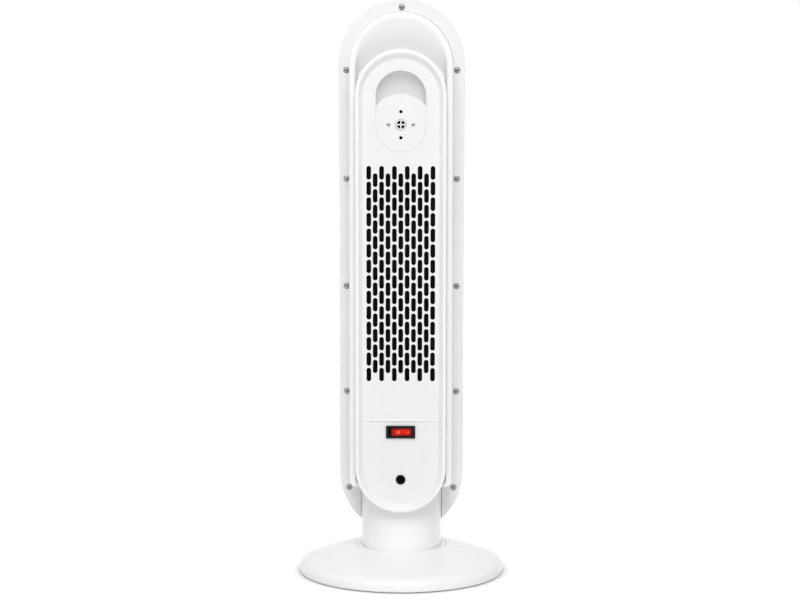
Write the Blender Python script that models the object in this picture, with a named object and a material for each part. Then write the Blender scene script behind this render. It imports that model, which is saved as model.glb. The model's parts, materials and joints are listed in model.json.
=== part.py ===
"""Tower fan heater on a swivelling base, as separate named pieces.

Metres, +Z up. The origin is the middle of the footprint on the floor, and the swivel axis is +Z.
-Y is the rear, with the air intake, the rocker switch and the cord inlet. +Y is the front, with the
warm air outlet and the control panel.
"""

import math

import bmesh
import bpy
from mathutils import Matrix, Vector

# Driving dimensions: clearances and facets
SEAT_GAP = 0.0003
RUNNING_GAP = 0.0004
OVERRUN = 0.001
LARGE_ROUND_STEPS = 40
SMALL_ROUND_STEPS = 10
SCREW_ROUND_STEPS = 8
UPPER_ARC_STEPS = 16
LOWER_ARC_STEPS = 20
SLOT_END_STEPS = 3
SHARP_ANGLE = math.radians(32)

# Driving dimensions: neck
NECK_INSET = 0.0236
NECK_WALL = 0.0025
NECK_TOP = 0.1000
NECK_TOP_HOLE_RADIUS = 0.0120
NECK_FOOT_RISE = 0.0005
NECK_FOOT_ROUND = 0.0005
NECK_FLOOR_HOLE_INSET = 0.0075
NECK_EAR_REAR = 0.0080
NECK_EAR_FRONT = 0.0240
NECK_EAR_THICKNESS = 0.0030
NECK_EAR_DROP = 0.0015
NECK_EAR_INSET = 0.0082
NECK_SCREW_INSET = 0.0077

# Driving dimensions: base
BASE_RADIUS = 0.1114
BASE_UNDERSIDE = 0.0012
BASE_WALL_TOP = 0.0085
BASE_SHOULDER_ROUND_WIDTH = 0.0039
BASE_SHOULDER_ROUND_RISE = 0.0049
BASE_SHOULDER_WIDTH = 0.0114
BASE_SHOULDER_RISE = 0.0076
BASE_CONE_RISE = 0.0132
BASE_CONE_BULGE = 0.0017
BASE_CONE_BULGE_SHARE = 0.43
BASE_WALL = 0.0025
SEAM_STEP = 0.0055
SHELF_DROP = 0.0068
SHELF_THICKNESS = 0.0025
SHELF_WIDTH = 0.0141
BASE_PLATE_THICKNESS = 0.0020
BASE_PLATE_RECESS = 0.0008
FOOT_COUNT = 4
FOOT_RADIUS = 0.0080
FOOT_EDGE_INSET = 0.0184
FOOT_STEM_RADIUS = 0.0030
FOOT_STEM_HEIGHT = 0.0012
BASE_SCREW_COUNT = 3
BASE_SCREW_INSET = 0.0354

# Driving dimensions: swivel and swing drive
SLIDE_RING_MARGIN = 0.0020
SLIDE_RING_WIDTH = 0.0100
SLIDE_RING_THICKNESS = 0.0012
RETAINER_OVERLAP = 0.0042
RETAINER_THICKNESS = 0.0030
RETAINER_HUB_WALL = 0.0065
RETAINER_SCREW_COUNT = 3
RETAINER_SCREW_TURN = math.radians(30)
GEAR_CENTRES_INSET = 0.0080
FIXED_GEAR_TEETH = 24
PINION_TEETH = 12
GEAR_FACE_WIDTH = 0.0060
GEAR_LIFT = 0.0035
PRESSURE_ANGLE = math.radians(20)
TOOTH_ADDENDUM_SHARE = 0.85
TOOTH_DEDENDUM_SHARE = 1.20
TOOTH_THICKNESS_SHARE = 0.42
GEAR_POST_RADIUS = 0.0095
PINION_SHAFT_RADIUS = 0.0030
SWING_MOTOR_CLEARANCE = 0.0016
SWING_MOTOR_HEIGHT = 0.0200
SWING_MOTOR_SHAFT_OFFSET = 0.0120
SWING_MOTOR_EAR_INSET = 0.0126
SWING_MOTOR_EAR_WIDTH = 0.0100
SWING_MOTOR_EAR_THICKNESS = 0.0015

# Driving dimensions: tower body outline, seen from the rear
BODY_HALF_WIDTH = 0.0672
BODY_TOP = 0.6200
BODY_BOTTOM = 0.0400
BODY_UPPER_ARC_RISE = 0.0690
BODY_LOWER_ARC_RISE = 0.0700
BODY_FRONT_MARGIN = 0.0044
SHELL_WALL = 0.0025
FLANGE_REAR = 0.0000
FLANGE_THICKNESS = 0.0025
FLANGE_WIDTH = 0.0115
FLANGE_TOP_WIDTH = 0.0116
FRONT_ROUND = 0.0160
FRONT_ROUND_STEPS = 3
LEDGE_THICKNESS = 0.0030
LEDGE_MARGIN = 0.0015
LEDGE_ROOT = 0.0010

# Driving dimensions: rear tub, with its rim and bowl
TUB_UPPER_ARC_RISE = 0.0580
TUB_DEPTH_MARGIN = 0.0034
TUB_DRAFT = 0.0010
TUB_RIM_ROUND = 0.0012
TUB_WALL = 0.0022
RIM_BAND_WIDTH = 0.0062
BOWL_SLOPE_WIDTH = 0.0022
BOWL_DEPTH = 0.0100
BOWL_TOP_DEPTH = 0.0015
BOWL_RAMP_SIDE_INSET = 0.0045
BOWL_RAMP_TOP_INSET = 0.0030
BOWL_RAMP_BOTTOM_INSET = 0.0075
TUB_CORNER_RISE = 0.0262
TUB_CORNER_RADIUS = 0.0060
TUB_LOWER_INSET = 0.0020
BOWL_LEDGE_INSET = 0.0123

# Driving dimensions: rear panel
PANEL_SIDE_GAP = 0.0074
PANEL_TOP_DROP = 0.0512
PANEL_BOTTOM_RISE = 0.0353
PANEL_PROUD = 0.0105
PANEL_CROWN_WIDTH = 0.0032
PANEL_CROWN_ROUND = 0.0012
PANEL_LIP_HEIGHT = 0.0038
PANEL_FIELD_DEPTH = 0.0045
PANEL_SLOPE_WIDTH_SIDE = 0.0050
PANEL_SLOPE_WIDTH_TOP = 0.0070
PANEL_SLOPE_WIDTH_BOTTOM = 0.0060
PANEL_SKIRT_INSET = 0.0050
PANEL_SKIRT_WALL = 0.0020
PANEL_WALL = 0.0022
RIB_RISE_ABOVE_SWITCH = 0.0122
RIB_WIDTH = 0.0022
RIB_RISE = 0.0008
RIB_END_INSET = 0.0055

# Driving dimensions: finger recess and sensor plate
RECESS_HALF_WIDTH = 0.0263
RECESS_TOP_DROP = 0.0226
RECESS_HEIGHT = 0.0851
RECESS_WALL = 0.0020
SCOOP_SHALLOW_DEPTH = 0.0050
SCOOP_DEEP_DEPTH = 0.0100
PLATE_THICKNESS = 0.0020
PLATE_ARC_MARGIN = 0.0065
PORT_RISE_IN_RECESS = 0.0287
PORT_RING_RADIUS = 0.0057
PORT_OPEN_RADIUS = 0.0040
PORT_BAR_WIDTH = 0.0015
PORT_DEPTH = 0.0045
PORT_RISE = 0.0003
SMALL_HOLE_RADIUS = 0.0018
SMALL_HOLE_OFFSET = 0.0137
SENSOR_SCREW_OFFSET = 0.0131
THERMISTOR_RADIUS = 0.0024
THERMISTOR_LENGTH = 0.0060

# Driving dimensions: intake slots
SLOT_COLUMNS = 11
SLOT_ROWS = 14
SLOT_SIDE_MARGIN = 0.01445
SLOT_TOP_MARGIN = 0.0147
SLOT_BOTTOM_MARGIN = 0.0423
SLOT_COLUMN_WEB = 0.00187
SLOT_ROW_WEB = 0.00194
SLOT_OFFSET_DROP = 0.0078

# Driving dimensions: rocker switch
SWITCH_RISE_IN_PANEL = 0.0870
BEZEL_LENGTH = 0.0312
BEZEL_WIDTH = 0.0134
BEZEL_RISE = 0.0020
BEZEL_CORNER = 0.0008
BEZEL_LAP = 0.0020
BEZEL_SIDE_LAP = 0.0011
SWITCH_BODY_DEPTH = 0.0180
SWITCH_WALL = 0.0010
SWITCH_SIDE_WALL = 0.0009
SWITCH_FLOOR = 0.0042
ROCKER_END_CLEARANCE = 0.0014
ROCKER_PIVOT_DEPTH = 0.0040
ROCKER_CREST = 0.0052
ROCKER_KEEL = 0.0030
ROCKER_KEEL_SHARE = 0.6
ROCKER_TILT = math.radians(8)

# Driving dimensions: cord inlet
INLET_RISE_IN_PANEL = 0.0353
GLAND_FLANGE_WIDTH = 0.0008
GLAND_FLANGE_RISE = 0.0008
GLAND_WALL = 0.0010
GLAND_BORE_RADIUS = 0.0034
GLAND_LENGTH = 0.0095
CLAMP_LENGTH = 0.0200
CLAMP_WIDTH = 0.0060
CLAMP_DEPTH = 0.0045
CLAMP_LIFT = 0.0150

# Driving dimensions: casing screws
SCREW_HEAD_RADIUS = 0.0033
SCREW_HEAD_HEIGHT = 0.0014
SCREW_SHANK_RADIUS = 0.0014
SCREW_LENGTH = 0.0100
SCREW_CROSS_LENGTH = 0.0036
SCREW_CROSS_WIDTH = 0.0009
SCREW_CROSS_DEPTH = 0.0008
SMALL_SCREW_HEAD_RADIUS = 0.0028
SMALL_SCREW_LENGTH = 0.0050
SIDE_SCREW_INSET = 0.0079
SIDE_SCREW_SHARES = (0.8709, 0.6703, 0.4705, 0.2722)
LOWER_SCREW_INSET = 0.0104
LOWER_SCREW_DROP = 0.0182
TOP_SCREW_DROP = 0.0078
BOSS_RADIUS = 0.0034
BOSS_DEPTH = 0.0140
BOSS_ROOT = 0.0008

# Driving dimensions: blower
HOUSING_SIDE_GAP = 0.0020
HOUSING_REAR_GAP = 0.0108
HOUSING_PLATE = 0.0025
HOUSING_END_GAP = 0.0040
HOUSING_LIP_GAP = 0.0055
WHEEL_SIDE_GAP = 0.0085
WHEEL_REAR_GAP = 0.0010
WHEEL_BOTTOM_MARGIN = 0.0082
WHEEL_TOP_MARGIN = 0.0084
WHEEL_DISC_THICKNESS = 0.0020
WHEEL_BLADE_COUNT = 12
WHEEL_BLADE_THICKNESS = 0.0010
WHEEL_BLADE_DEPTH = 0.0065
WHEEL_BLADE_ANGLE = math.radians(35)
WHEEL_HUB_RADIUS = 0.0070
WHEEL_SHAFT_RADIUS = 0.0030
SCROLL_WALL = 0.0020
SCROLL_START_GAP = 0.0025
SCROLL_END_INSET = 0.0010
SCROLL_START_ANGLE = math.radians(-35)
SCROLL_END_ANGLE = math.radians(35)
TONGUE_GAP = 0.0035
TONGUE_DEPTH = 0.0235
BEARING_RADIUS = 0.0090
BEARING_FLANGE_RADIUS = 0.0110
BEARING_FLANGE_THICKNESS = 0.0012
MOTOR_SIDE_INSET = 0.0100
MOTOR_HEIGHT = 0.0420
MOTOR_CAP_RADIUS = 0.0150
MOTOR_CAP_HEIGHT = 0.0040
SHAFT_HOLE_RADIUS = 0.0050

# Driving dimensions: heater
HEATER_FRAME_SIDE_LAP = 0.0005
HEATER_FRAME_BOTTOM_LAP = 0.0135
HEATER_FRAME_TOP_LAP = 0.0115
HEATER_FRAME_FRONT_GAP = 0.0053
HEATER_FRAME_WALL = 0.0035
CORE_THICKNESS = 0.0120
CORE_SPINE = 0.0050
FIN_ROWS = 16
FIN_WALL = 0.0022
CUTOUT_RADIUS = 0.0070
CUTOUT_HEIGHT = 0.0045
CUTOUT_TAB_LENGTH = 0.0240
CUTOUT_TAB_WIDTH = 0.0060
CUTOUT_TAB_THICKNESS = 0.0010

# Driving dimensions: front openings, outlet grille and control panel
OUTLET_SIDE_MARGIN = 0.0015
OUTLET_BOTTOM_MARGIN = 0.0350
OUTLET_TOP_MARGIN = 0.0390
OUTLET_CORNER_RADIUS = 0.0080
GRILLE_FLANGE_WIDTH = 0.0035
GRILLE_BORDER = 0.0040
GRILLE_FACE_RISE = 0.0006
LOUVRE_COUNT = 20
LOUVRE_THICKNESS = 0.0016
LOUVRE_DEPTH = 0.0060
LOUVRE_TILT = math.radians(25)
GRILLE_RIB_WIDTH = 0.0020
CONTROL_HALF_WIDTH = 0.0300
CONTROL_GAP = 0.0180
CONTROL_HEIGHT = 0.0620
CONTROL_CORNER_RADIUS = 0.0100
CONTROL_FACE_RISE = 0.0006
CONTROL_THICKNESS = 0.0024
CONTROL_RAIL = 0.0030
CONTROL_DEPTH = 0.0120
BUTTON_COUNT = 4
BUTTON_RADIUS = 0.0042
BUTTON_PITCH = 0.0130
BUTTON_ROW_RISE = 0.0100
BUTTON_RISE = 0.0012
BUTTON_TRAVEL = 0.0008
BUTTON_FLANGE_WIDTH = 0.0010
BUTTON_FLANGE_THICKNESS = 0.0008
DISPLAY_LENGTH = 0.0300
DISPLAY_WIDTH = 0.0160
DISPLAY_DROP = 0.0230
DISPLAY_LIP = 0.0010
BOARD_THICKNESS = 0.0016

# Driving dimensions: power board and tilt switch
POWER_BOARD_HALF_WIDTH = 0.0300
POWER_BOARD_LIFT = 0.0080
POWER_BOARD_HEIGHT = 0.0520
POWER_BOARD_INSET = 0.0180
STANDOFF_RADIUS = 0.0030
STANDOFF_INSET = 0.0060
RELAY_LENGTH = 0.0150
RELAY_WIDTH = 0.0120
RELAY_HEIGHT = 0.0110
TILT_LENGTH = 0.0120
TILT_WIDTH = 0.0160
TILT_HEIGHT = 0.0120
TILT_INSET = 0.0176

# Sizes of the neck, base and swivel worked out from the driving dimensions
NECK_RADIUS = BODY_HALF_WIDTH - NECK_INSET
SEAM_RADIUS = NECK_RADIUS + SEAM_STEP
CREASE_RADIUS = BASE_RADIUS - BASE_SHOULDER_WIDTH
CREASE_HEIGHT = BASE_WALL_TOP + BASE_SHOULDER_RISE
SEAM_HEIGHT = CREASE_HEIGHT + BASE_CONE_RISE
SHELF_TOP = SEAM_HEIGHT - SHELF_DROP
SHELF_HOLE_RADIUS = SEAM_RADIUS - SHELF_WIDTH
FOOT_CIRCLE_RADIUS = BASE_RADIUS - FOOT_EDGE_INSET
BASE_SCREW_CIRCLE_RADIUS = BASE_RADIUS - BASE_SCREW_INSET
BASE_PLATE_UNDERSIDE = BASE_UNDERSIDE + BASE_PLATE_RECESS
BASE_PLATE_TOP = BASE_PLATE_UNDERSIDE + BASE_PLATE_THICKNESS
RETAINER_RADIUS = SHELF_HOLE_RADIUS + RETAINER_OVERLAP
RETAINER_TOP = SHELF_TOP - SHELF_THICKNESS - RUNNING_GAP
RETAINER_BOTTOM = RETAINER_TOP - RETAINER_THICKNESS
SLIDE_RING_INNER_RADIUS = SHELF_HOLE_RADIUS + SLIDE_RING_MARGIN
SLIDE_RING_OUTER_RADIUS = SLIDE_RING_INNER_RADIUS + SLIDE_RING_WIDTH
NECK_FLOOR_HOLE_RADIUS = SHELF_HOLE_RADIUS - NECK_FLOOR_HOLE_INSET
GEAR_CENTRES = SHELF_HOLE_RADIUS - GEAR_CENTRES_INSET
GEAR_MODULE = 2 * GEAR_CENTRES / (FIXED_GEAR_TEETH + PINION_TEETH)
GEAR_BOTTOM = BASE_PLATE_TOP + SEAT_GAP + GEAR_LIFT
GEAR_TOP = GEAR_BOTTOM + GEAR_FACE_WIDTH
NECK_DISC_UNDERSIDE = SHELF_TOP + SLIDE_RING_THICKNESS + 2 * SEAT_GAP
NECK_FLOOR = NECK_DISC_UNDERSIDE + NECK_WALL
NECK_FOOT_HEIGHT = SEAM_HEIGHT + NECK_FOOT_RISE
SWING_MOTOR_Y = GEAR_CENTRES - SWING_MOTOR_SHAFT_OFFSET
SWING_MOTOR_RADIUS = NECK_RADIUS - NECK_WALL - SWING_MOTOR_CLEARANCE - SWING_MOTOR_Y
SWING_MOTOR_EAR_REACH = NECK_RADIUS - SWING_MOTOR_EAR_INSET

# Sizes of the tower's casings worked out from the driving dimensions
BODY_LOWER_ARC_CENTRE = BODY_BOTTOM + BODY_LOWER_ARC_RISE
FRONT_SHELL_REAR = FLANGE_REAR + FLANGE_THICKNESS + SEAT_GAP
BODY_FRONT = NECK_RADIUS + BODY_FRONT_MARGIN
FRONT_INSIDE = BODY_FRONT - SHELL_WALL
TUB_HALF_WIDTH = BODY_HALF_WIDTH - FLANGE_WIDTH
TUB_TOP = BODY_TOP - FLANGE_TOP_WIDTH
TUB_RIM_REAR = FLANGE_REAR - NECK_RADIUS - TUB_DEPTH_MARGIN
BOWL_FLOOR = TUB_RIM_REAR + BOWL_DEPTH
PANEL_HALF_WIDTH = TUB_HALF_WIDTH - PANEL_SIDE_GAP
PANEL_TOP = BODY_TOP - PANEL_TOP_DROP
PANEL_BOTTOM = BODY_BOTTOM + PANEL_BOTTOM_RISE
PANEL_CROWN_REAR = TUB_RIM_REAR - PANEL_PROUD
TUB_ARC_CENTRE = PANEL_BOTTOM + PANEL_HALF_WIDTH
TUB_CORNER_HEIGHT = PANEL_BOTTOM + TUB_CORNER_RISE
TUB_LOWER_ARC_RADIUS = PANEL_HALF_WIDTH - TUB_LOWER_INSET
LEDGE_HALF_WIDTH = PANEL_HALF_WIDTH - BOWL_LEDGE_INSET
FIELD_REAR = PANEL_CROWN_REAR + PANEL_FIELD_DEPTH
FIELD_BACK = FIELD_REAR + PANEL_WALL
NECK_EAR_REACH = BODY_HALF_WIDTH - SHELL_WALL - NECK_EAR_INSET
NECK_SCREW_X = NECK_EAR_REACH - NECK_SCREW_INSET
SIDE_SCREW_X = BODY_HALF_WIDTH - SIDE_SCREW_INSET
LOWER_SCREW_X = BODY_HALF_WIDTH - LOWER_SCREW_INSET
LOWER_SCREW_HEIGHT = BODY_LOWER_ARC_CENTRE - LOWER_SCREW_DROP
TOP_SCREW_HEIGHT = BODY_TOP - TOP_SCREW_DROP
SIDE_SCREW_HEIGHTS = [BODY_BOTTOM + share * (BODY_TOP - BODY_BOTTOM) for share in SIDE_SCREW_SHARES]

# Places on the rear panel worked out from the driving dimensions
RECESS_TOP = PANEL_TOP - RECESS_TOP_DROP
RECESS_BOTTOM = RECESS_TOP - RECESS_HEIGHT
PORT_HEIGHT = RECESS_BOTTOM + PORT_RISE_IN_RECESS
PLATE_ARC_RADIUS = RECESS_HALF_WIDTH + PLATE_ARC_MARGIN
SWITCH_HEIGHT = PANEL_BOTTOM + SWITCH_RISE_IN_PANEL
SWITCH_BODY_LENGTH = BEZEL_LENGTH - 2 * BEZEL_LAP
SWITCH_BODY_WIDTH = BEZEL_WIDTH - 2 * BEZEL_SIDE_LAP
SWITCH_WELL_LENGTH = SWITCH_BODY_LENGTH - 2 * SWITCH_WALL
SWITCH_WELL_WIDTH = SWITCH_BODY_WIDTH - 2 * SWITCH_SIDE_WALL
SWITCH_WELL_DEPTH = SWITCH_BODY_DEPTH - SWITCH_FLOOR
ROCKER_HALF_LENGTH = SWITCH_WELL_LENGTH / 2 - ROCKER_END_CLEARANCE
INLET_HEIGHT = PANEL_BOTTOM + INLET_RISE_IN_PANEL
GLAND_BODY_RADIUS = GLAND_BORE_RADIUS + GLAND_WALL
GLAND_FLANGE_RADIUS = GLAND_BODY_RADIUS + GLAND_FLANGE_WIDTH
RIB_HEIGHT = SWITCH_HEIGHT + RIB_RISE_ABOVE_SWITCH
RIB_HALF_LENGTH = PANEL_HALF_WIDTH - RIB_END_INSET
SLOT_FIELD_TOP = RECESS_BOTTOM - SLOT_TOP_MARGIN
SLOT_FIELD_BOTTOM = RIB_HEIGHT + SLOT_BOTTOM_MARGIN
SLOT_COLUMN_PITCH = 2 * (PANEL_HALF_WIDTH - SLOT_SIDE_MARGIN) / (SLOT_COLUMNS - 1)
SLOT_ROW_PITCH = (SLOT_FIELD_TOP - SLOT_FIELD_BOTTOM + SLOT_ROW_WEB) / SLOT_ROWS
SLOT_WIDTH = SLOT_COLUMN_PITCH - SLOT_COLUMN_WEB
SLOT_LENGTH = SLOT_ROW_PITCH - SLOT_ROW_WEB

# Places inside and on the front worked out from the driving dimensions
HOUSING_HALF_WIDTH = LEDGE_HALF_WIDTH - HOUSING_SIDE_GAP
HOUSING_REAR = FIELD_BACK + HOUSING_REAR_GAP
WHEEL_RADIUS = HOUSING_HALF_WIDTH - WHEEL_SIDE_GAP
WHEEL_BOTTOM = SLOT_FIELD_BOTTOM + WHEEL_BOTTOM_MARGIN
WHEEL_TOP = SLOT_FIELD_TOP - WHEEL_TOP_MARGIN
BLOWER_AXIS_Y = HOUSING_REAR + WHEEL_RADIUS + WHEEL_REAR_GAP
HOUSING_FRONT = BLOWER_AXIS_Y + WHEEL_RADIUS + HOUSING_LIP_GAP
HOUSING_BOTTOM = WHEEL_BOTTOM - HOUSING_END_GAP - HOUSING_PLATE
HOUSING_TOP = WHEEL_TOP + HOUSING_END_GAP + HOUSING_PLATE
SCROLL_START_RADIUS = WHEEL_RADIUS + SCROLL_START_GAP
SCROLL_END_RADIUS = HOUSING_HALF_WIDTH - SCROLL_END_INSET
TONGUE_X = WHEEL_RADIUS + TONGUE_GAP
TONGUE_REAR = HOUSING_FRONT - TONGUE_DEPTH
MOTOR_RADIUS = HOUSING_HALF_WIDTH - MOTOR_SIDE_INSET
HEATER_FRAME_HALF_WIDTH = HOUSING_HALF_WIDTH + HEATER_FRAME_SIDE_LAP
HEATER_FRAME_BOTTOM = HOUSING_BOTTOM - HEATER_FRAME_BOTTOM_LAP
HEATER_FRAME_TOP = HOUSING_TOP + HEATER_FRAME_TOP_LAP
HEATER_FRAME_REAR = HOUSING_FRONT + SEAT_GAP
HEATER_FRAME_FRONT = FRONT_INSIDE - HEATER_FRAME_FRONT_GAP
OUTLET_HALF_WIDTH = HEATER_FRAME_HALF_WIDTH + OUTLET_SIDE_MARGIN
OUTLET_BOTTOM = HEATER_FRAME_BOTTOM - OUTLET_BOTTOM_MARGIN
OUTLET_TOP = HEATER_FRAME_TOP + OUTLET_TOP_MARGIN
CONTROL_BOTTOM = OUTLET_TOP + CONTROL_GAP
CONTROL_TOP = CONTROL_BOTTOM + CONTROL_HEIGHT
BUTTON_HEIGHT = CONTROL_BOTTOM + BUTTON_ROW_RISE
BUTTON_FLANGE_RADIUS = BUTTON_RADIUS + BUTTON_FLANGE_WIDTH
DISPLAY_HEIGHT = CONTROL_TOP - DISPLAY_DROP
POWER_BOARD_BOTTOM = NECK_TOP + POWER_BOARD_LIFT
POWER_BOARD_TOP = POWER_BOARD_BOTTOM + POWER_BOARD_HEIGHT
POWER_BOARD_REAR = BODY_FRONT - POWER_BOARD_INSET
TILT_OFFSET = TILT_INSET - NECK_RADIUS


def clear_scene():
    for thing in list(bpy.data.objects):
        bpy.data.objects.remove(thing, do_unlink=True)


def material(name, colour, roughness, metallic=0):
    finish = bpy.data.materials.get(name)
    if finish is None:
        finish = bpy.data.materials.new(name)
        finish.use_nodes = True
        shader = finish.node_tree.nodes["Principled BSDF"]
        shader.inputs["Base Color"].default_value = (*colour, 1)
        shader.inputs["Roughness"].default_value = roughness
        shader.inputs["Metallic"].default_value = metallic
    return finish


def white_plastic():
    return material("white_plastic", (0.87, 0.87, 0.87), 0.38)


def white_gloss():
    return material("white_gloss_plastic", (0.90, 0.90, 0.90), 0.24)


def black_plastic():
    return material("black_plastic", (0.012, 0.012, 0.013), 0.42)


def dark_plastic():
    return material("dark_plastic", (0.035, 0.036, 0.038), 0.50)


def grey_nylon():
    return material("grey_nylon", (0.55, 0.56, 0.57), 0.45)


def red_lens():
    return material("red_lens", (0.75, 0.02, 0.01), 0.20)


def screw_steel():
    return material("screw_steel", (0.42, 0.42, 0.43), 0.36, 1)


def motor_steel():
    return material("motor_steel", (0.58, 0.59, 0.60), 0.34, 1)


def aluminium():
    return material("aluminium", (0.80, 0.81, 0.82), 0.32, 1)


def board_green():
    return material("board_green", (0.03, 0.16, 0.06), 0.40)


def black_rubber():
    return material("black_rubber", (0.02, 0.02, 0.02), 0.80)


def smoked_window():
    return material("smoked_window", (0.02, 0.02, 0.03), 0.06)


def mesh_object(name, points, faces, finish=None, axis=(0, 0, 0)):
    """A closed mesh with its faces turned outwards and its object origin at the given axis point."""
    mesh = bpy.data.meshes.new(name)
    shape = bmesh.new()
    origin = Vector(axis)
    verts = [shape.verts.new(Vector(point) - origin) for point in points]
    for face in faces:
        shape.faces.new([verts[index] for index in face])
    bmesh.ops.recalc_face_normals(shape, faces=shape.faces)
    shape.to_mesh(mesh)
    shape.free()
    mesh.shade_smooth()
    mesh.set_sharp_from_angle(angle=SHARP_ANGLE)
    thing = bpy.data.objects.new(name, mesh)
    thing.location = origin
    bpy.context.scene.collection.objects.link(thing)
    if finish is not None:
        mesh.materials.append(finish)
    return thing


def loft(name, rings, finish=None, closed=False, axis=(0, 0, 0)):
    """Rings of equally many points joined in order, capped at both ends or closed into a loop."""
    count = len(rings[0])
    points = [point for ring in rings for point in ring]
    faces = []
    pairs = len(rings) if closed else len(rings) - 1
    for level in range(pairs):
        low = level * count
        high = (level + 1) % len(rings) * count
        for step in range(count):
            after = (step + 1) % count
            faces.append((low + step, low + after, high + after, high + step))
    if not closed:
        faces.append(tuple(range(count)))
        faces.append(tuple(range((len(rings) - 1) * count, len(rings) * count)))
    return mesh_object(name, points, faces, finish, axis)


def around(count, radius, turn):
    """Places spaced evenly round the middle, the first at the turn angle, as (x, y) pairs."""
    angles = [turn + 2 * math.pi * number / count for number in range(count)]
    return [(radius * math.cos(angle), radius * math.sin(angle)) for angle in angles]


def circle(radius, steps):
    """Corners of a round outline, with a flat rather than a corner on each axis."""
    return around(steps, radius, math.pi / steps)


def turned(name, profile, finish=None, centre=(0, 0, 0), along="Z", steps=SMALL_ROUND_STEPS, closed=False):
    """A profile of (radius, height) pairs turned about a line along Z, or along Y through the centre."""
    rings = []
    for radius, height in profile:
        ring = []
        for across, up in circle(radius, steps):
            if along == "Z":
                ring.append((centre[0] + across, centre[1] + up, centre[2] + height))
            else:
                ring.append((centre[0] + across, centre[1] + height, centre[2] + up))
        rings.append(ring)
    return loft(name, rings, finish, closed, centre)


def rear_prism(name, outline, rear, front, finish=None):
    """An outline of (x, z) pairs drawn out along Y between two planes."""
    rings = [[(x, y, z) for x, z in outline] for y in (rear, front)]
    return loft(name, rings, finish)


def upright_prism(name, outline, bottom, top, finish=None, axis=(0, 0, 0)):
    """An outline of (x, y) pairs drawn out along Z between two heights."""
    rings = [[(x, y, z) for x, y in outline] for z in (bottom, top)]
    return loft(name, rings, finish, axis=axis)


def block(name, low, high, finish=None):
    outline = [(low[0], low[1]), (high[0], low[1]), (high[0], high[1]), (low[0], high[1])]
    return upright_prism(name, outline, low[2], high[2], finish)


def helper(thing):
    """Marks a cutter or an added shape, which shows only through the piece that uses it."""
    thing.hide_render = True
    thing.display_type = "WIRE"
    return thing


def combine(target, tool, operation):
    helper(tool)
    change = target.modifiers.new(tool.name, "BOOLEAN")
    change.operation = operation
    change.solver = "EXACT"
    change.object = tool
    return target


def cut(target, *tools):
    for tool in tools:
        combine(target, tool, "DIFFERENCE")
    return target


def add(target, *tools):
    for tool in tools:
        combine(target, tool, "UNION")
    return target


def group(name, things):
    """Separate shapes gathered in one helper mesh."""
    mesh = bpy.data.meshes.new(name)
    shape = bmesh.new()
    for thing in things:
        shape.from_mesh(thing.data)
        shape.verts.ensure_lookup_table()
        moved = shape.verts[-len(thing.data.vertices):]
        bmesh.ops.translate(shape, verts=moved, vec=thing.location)
        bpy.data.objects.remove(thing, do_unlink=True)
    shape.to_mesh(mesh)
    shape.free()
    thing = bpy.data.objects.new(name, mesh)
    bpy.context.scene.collection.objects.link(thing)
    return thing


def arc(centre_x, centre_z, radius_x, radius_z, start, end, steps):
    """Points along an elliptical arc between two angles, both ends included."""
    points = []
    for step in range(steps + 1):
        angle = start + (end - start) * step / steps
        points.append((centre_x + radius_x * math.cos(angle), centre_z + radius_z * math.sin(angle)))
    return points


def long_outline(half_width, top, upper_rise, lower_centre, lower_rise):
    """A long shape with half-oval ends, as (x, z) pairs from the right side over the top and round."""
    upper = arc(0, top - upper_rise, half_width, upper_rise, 0, math.pi, UPPER_ARC_STEPS)
    lower = arc(0, lower_centre, half_width, lower_rise, math.pi, 2 * math.pi, LOWER_ARC_STEPS)
    return upper + lower


def body_outline(inset):
    return long_outline(BODY_HALF_WIDTH - inset, BODY_TOP - inset, BODY_UPPER_ARC_RISE - inset,
                        BODY_LOWER_ARC_CENTRE, BODY_LOWER_ARC_RISE - inset)


def panel_outline(inset, top_inset, bottom_inset):
    half = PANEL_HALF_WIDTH - inset
    return long_outline(half, PANEL_TOP - top_inset, PANEL_HALF_WIDTH - top_inset,
                        PANEL_BOTTOM + PANEL_HALF_WIDTH, PANEL_HALF_WIDTH - bottom_inset)


def tub_outline(inset, lower_inset):
    """The tub's outline: its sides turn in at a small corner and go on round under the panel."""
    half = TUB_HALF_WIDTH - inset
    upper = arc(0, TUB_TOP - TUB_UPPER_ARC_RISE, half, TUB_UPPER_ARC_RISE - inset, 0, math.pi,
                UPPER_ARC_STEPS)
    corner_steps = LOWER_ARC_STEPS // 5
    round_steps = LOWER_ARC_STEPS - 2 * corner_steps
    corner = TUB_CORNER_RADIUS
    corner_z = TUB_CORNER_HEIGHT + lower_inset
    left = arc(corner - half, corner_z + corner, corner, corner, math.pi, 1.5 * math.pi, corner_steps - 1)
    radius = TUB_LOWER_ARC_RADIUS - lower_inset
    reach = math.asin((TUB_ARC_CENTRE - corner_z) / radius)
    lower = arc(0, TUB_ARC_CENTRE, radius, radius, math.pi + reach, 2 * math.pi - reach, round_steps)
    right = [(-x, z) for x, z in reversed(left)]
    return upper + left + lower + right


def at_depth(outline, y):
    return [(x, y, z) for x, z in outline]


def rounded_rectangle(half_width, bottom, top, radius, steps=4):
    """A rectangle about the middle line with round corners, as (x, z) pairs."""
    inner = half_width - radius
    points = arc(inner, top - radius, radius, radius, 0, math.pi / 2, steps)
    points += arc(-inner, top - radius, radius, radius, math.pi / 2, math.pi, steps)
    points += arc(-inner, bottom + radius, radius, radius, math.pi, 1.5 * math.pi, steps)
    points += arc(inner, bottom + radius, radius, radius, 1.5 * math.pi, 2 * math.pi, steps)
    return points


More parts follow.
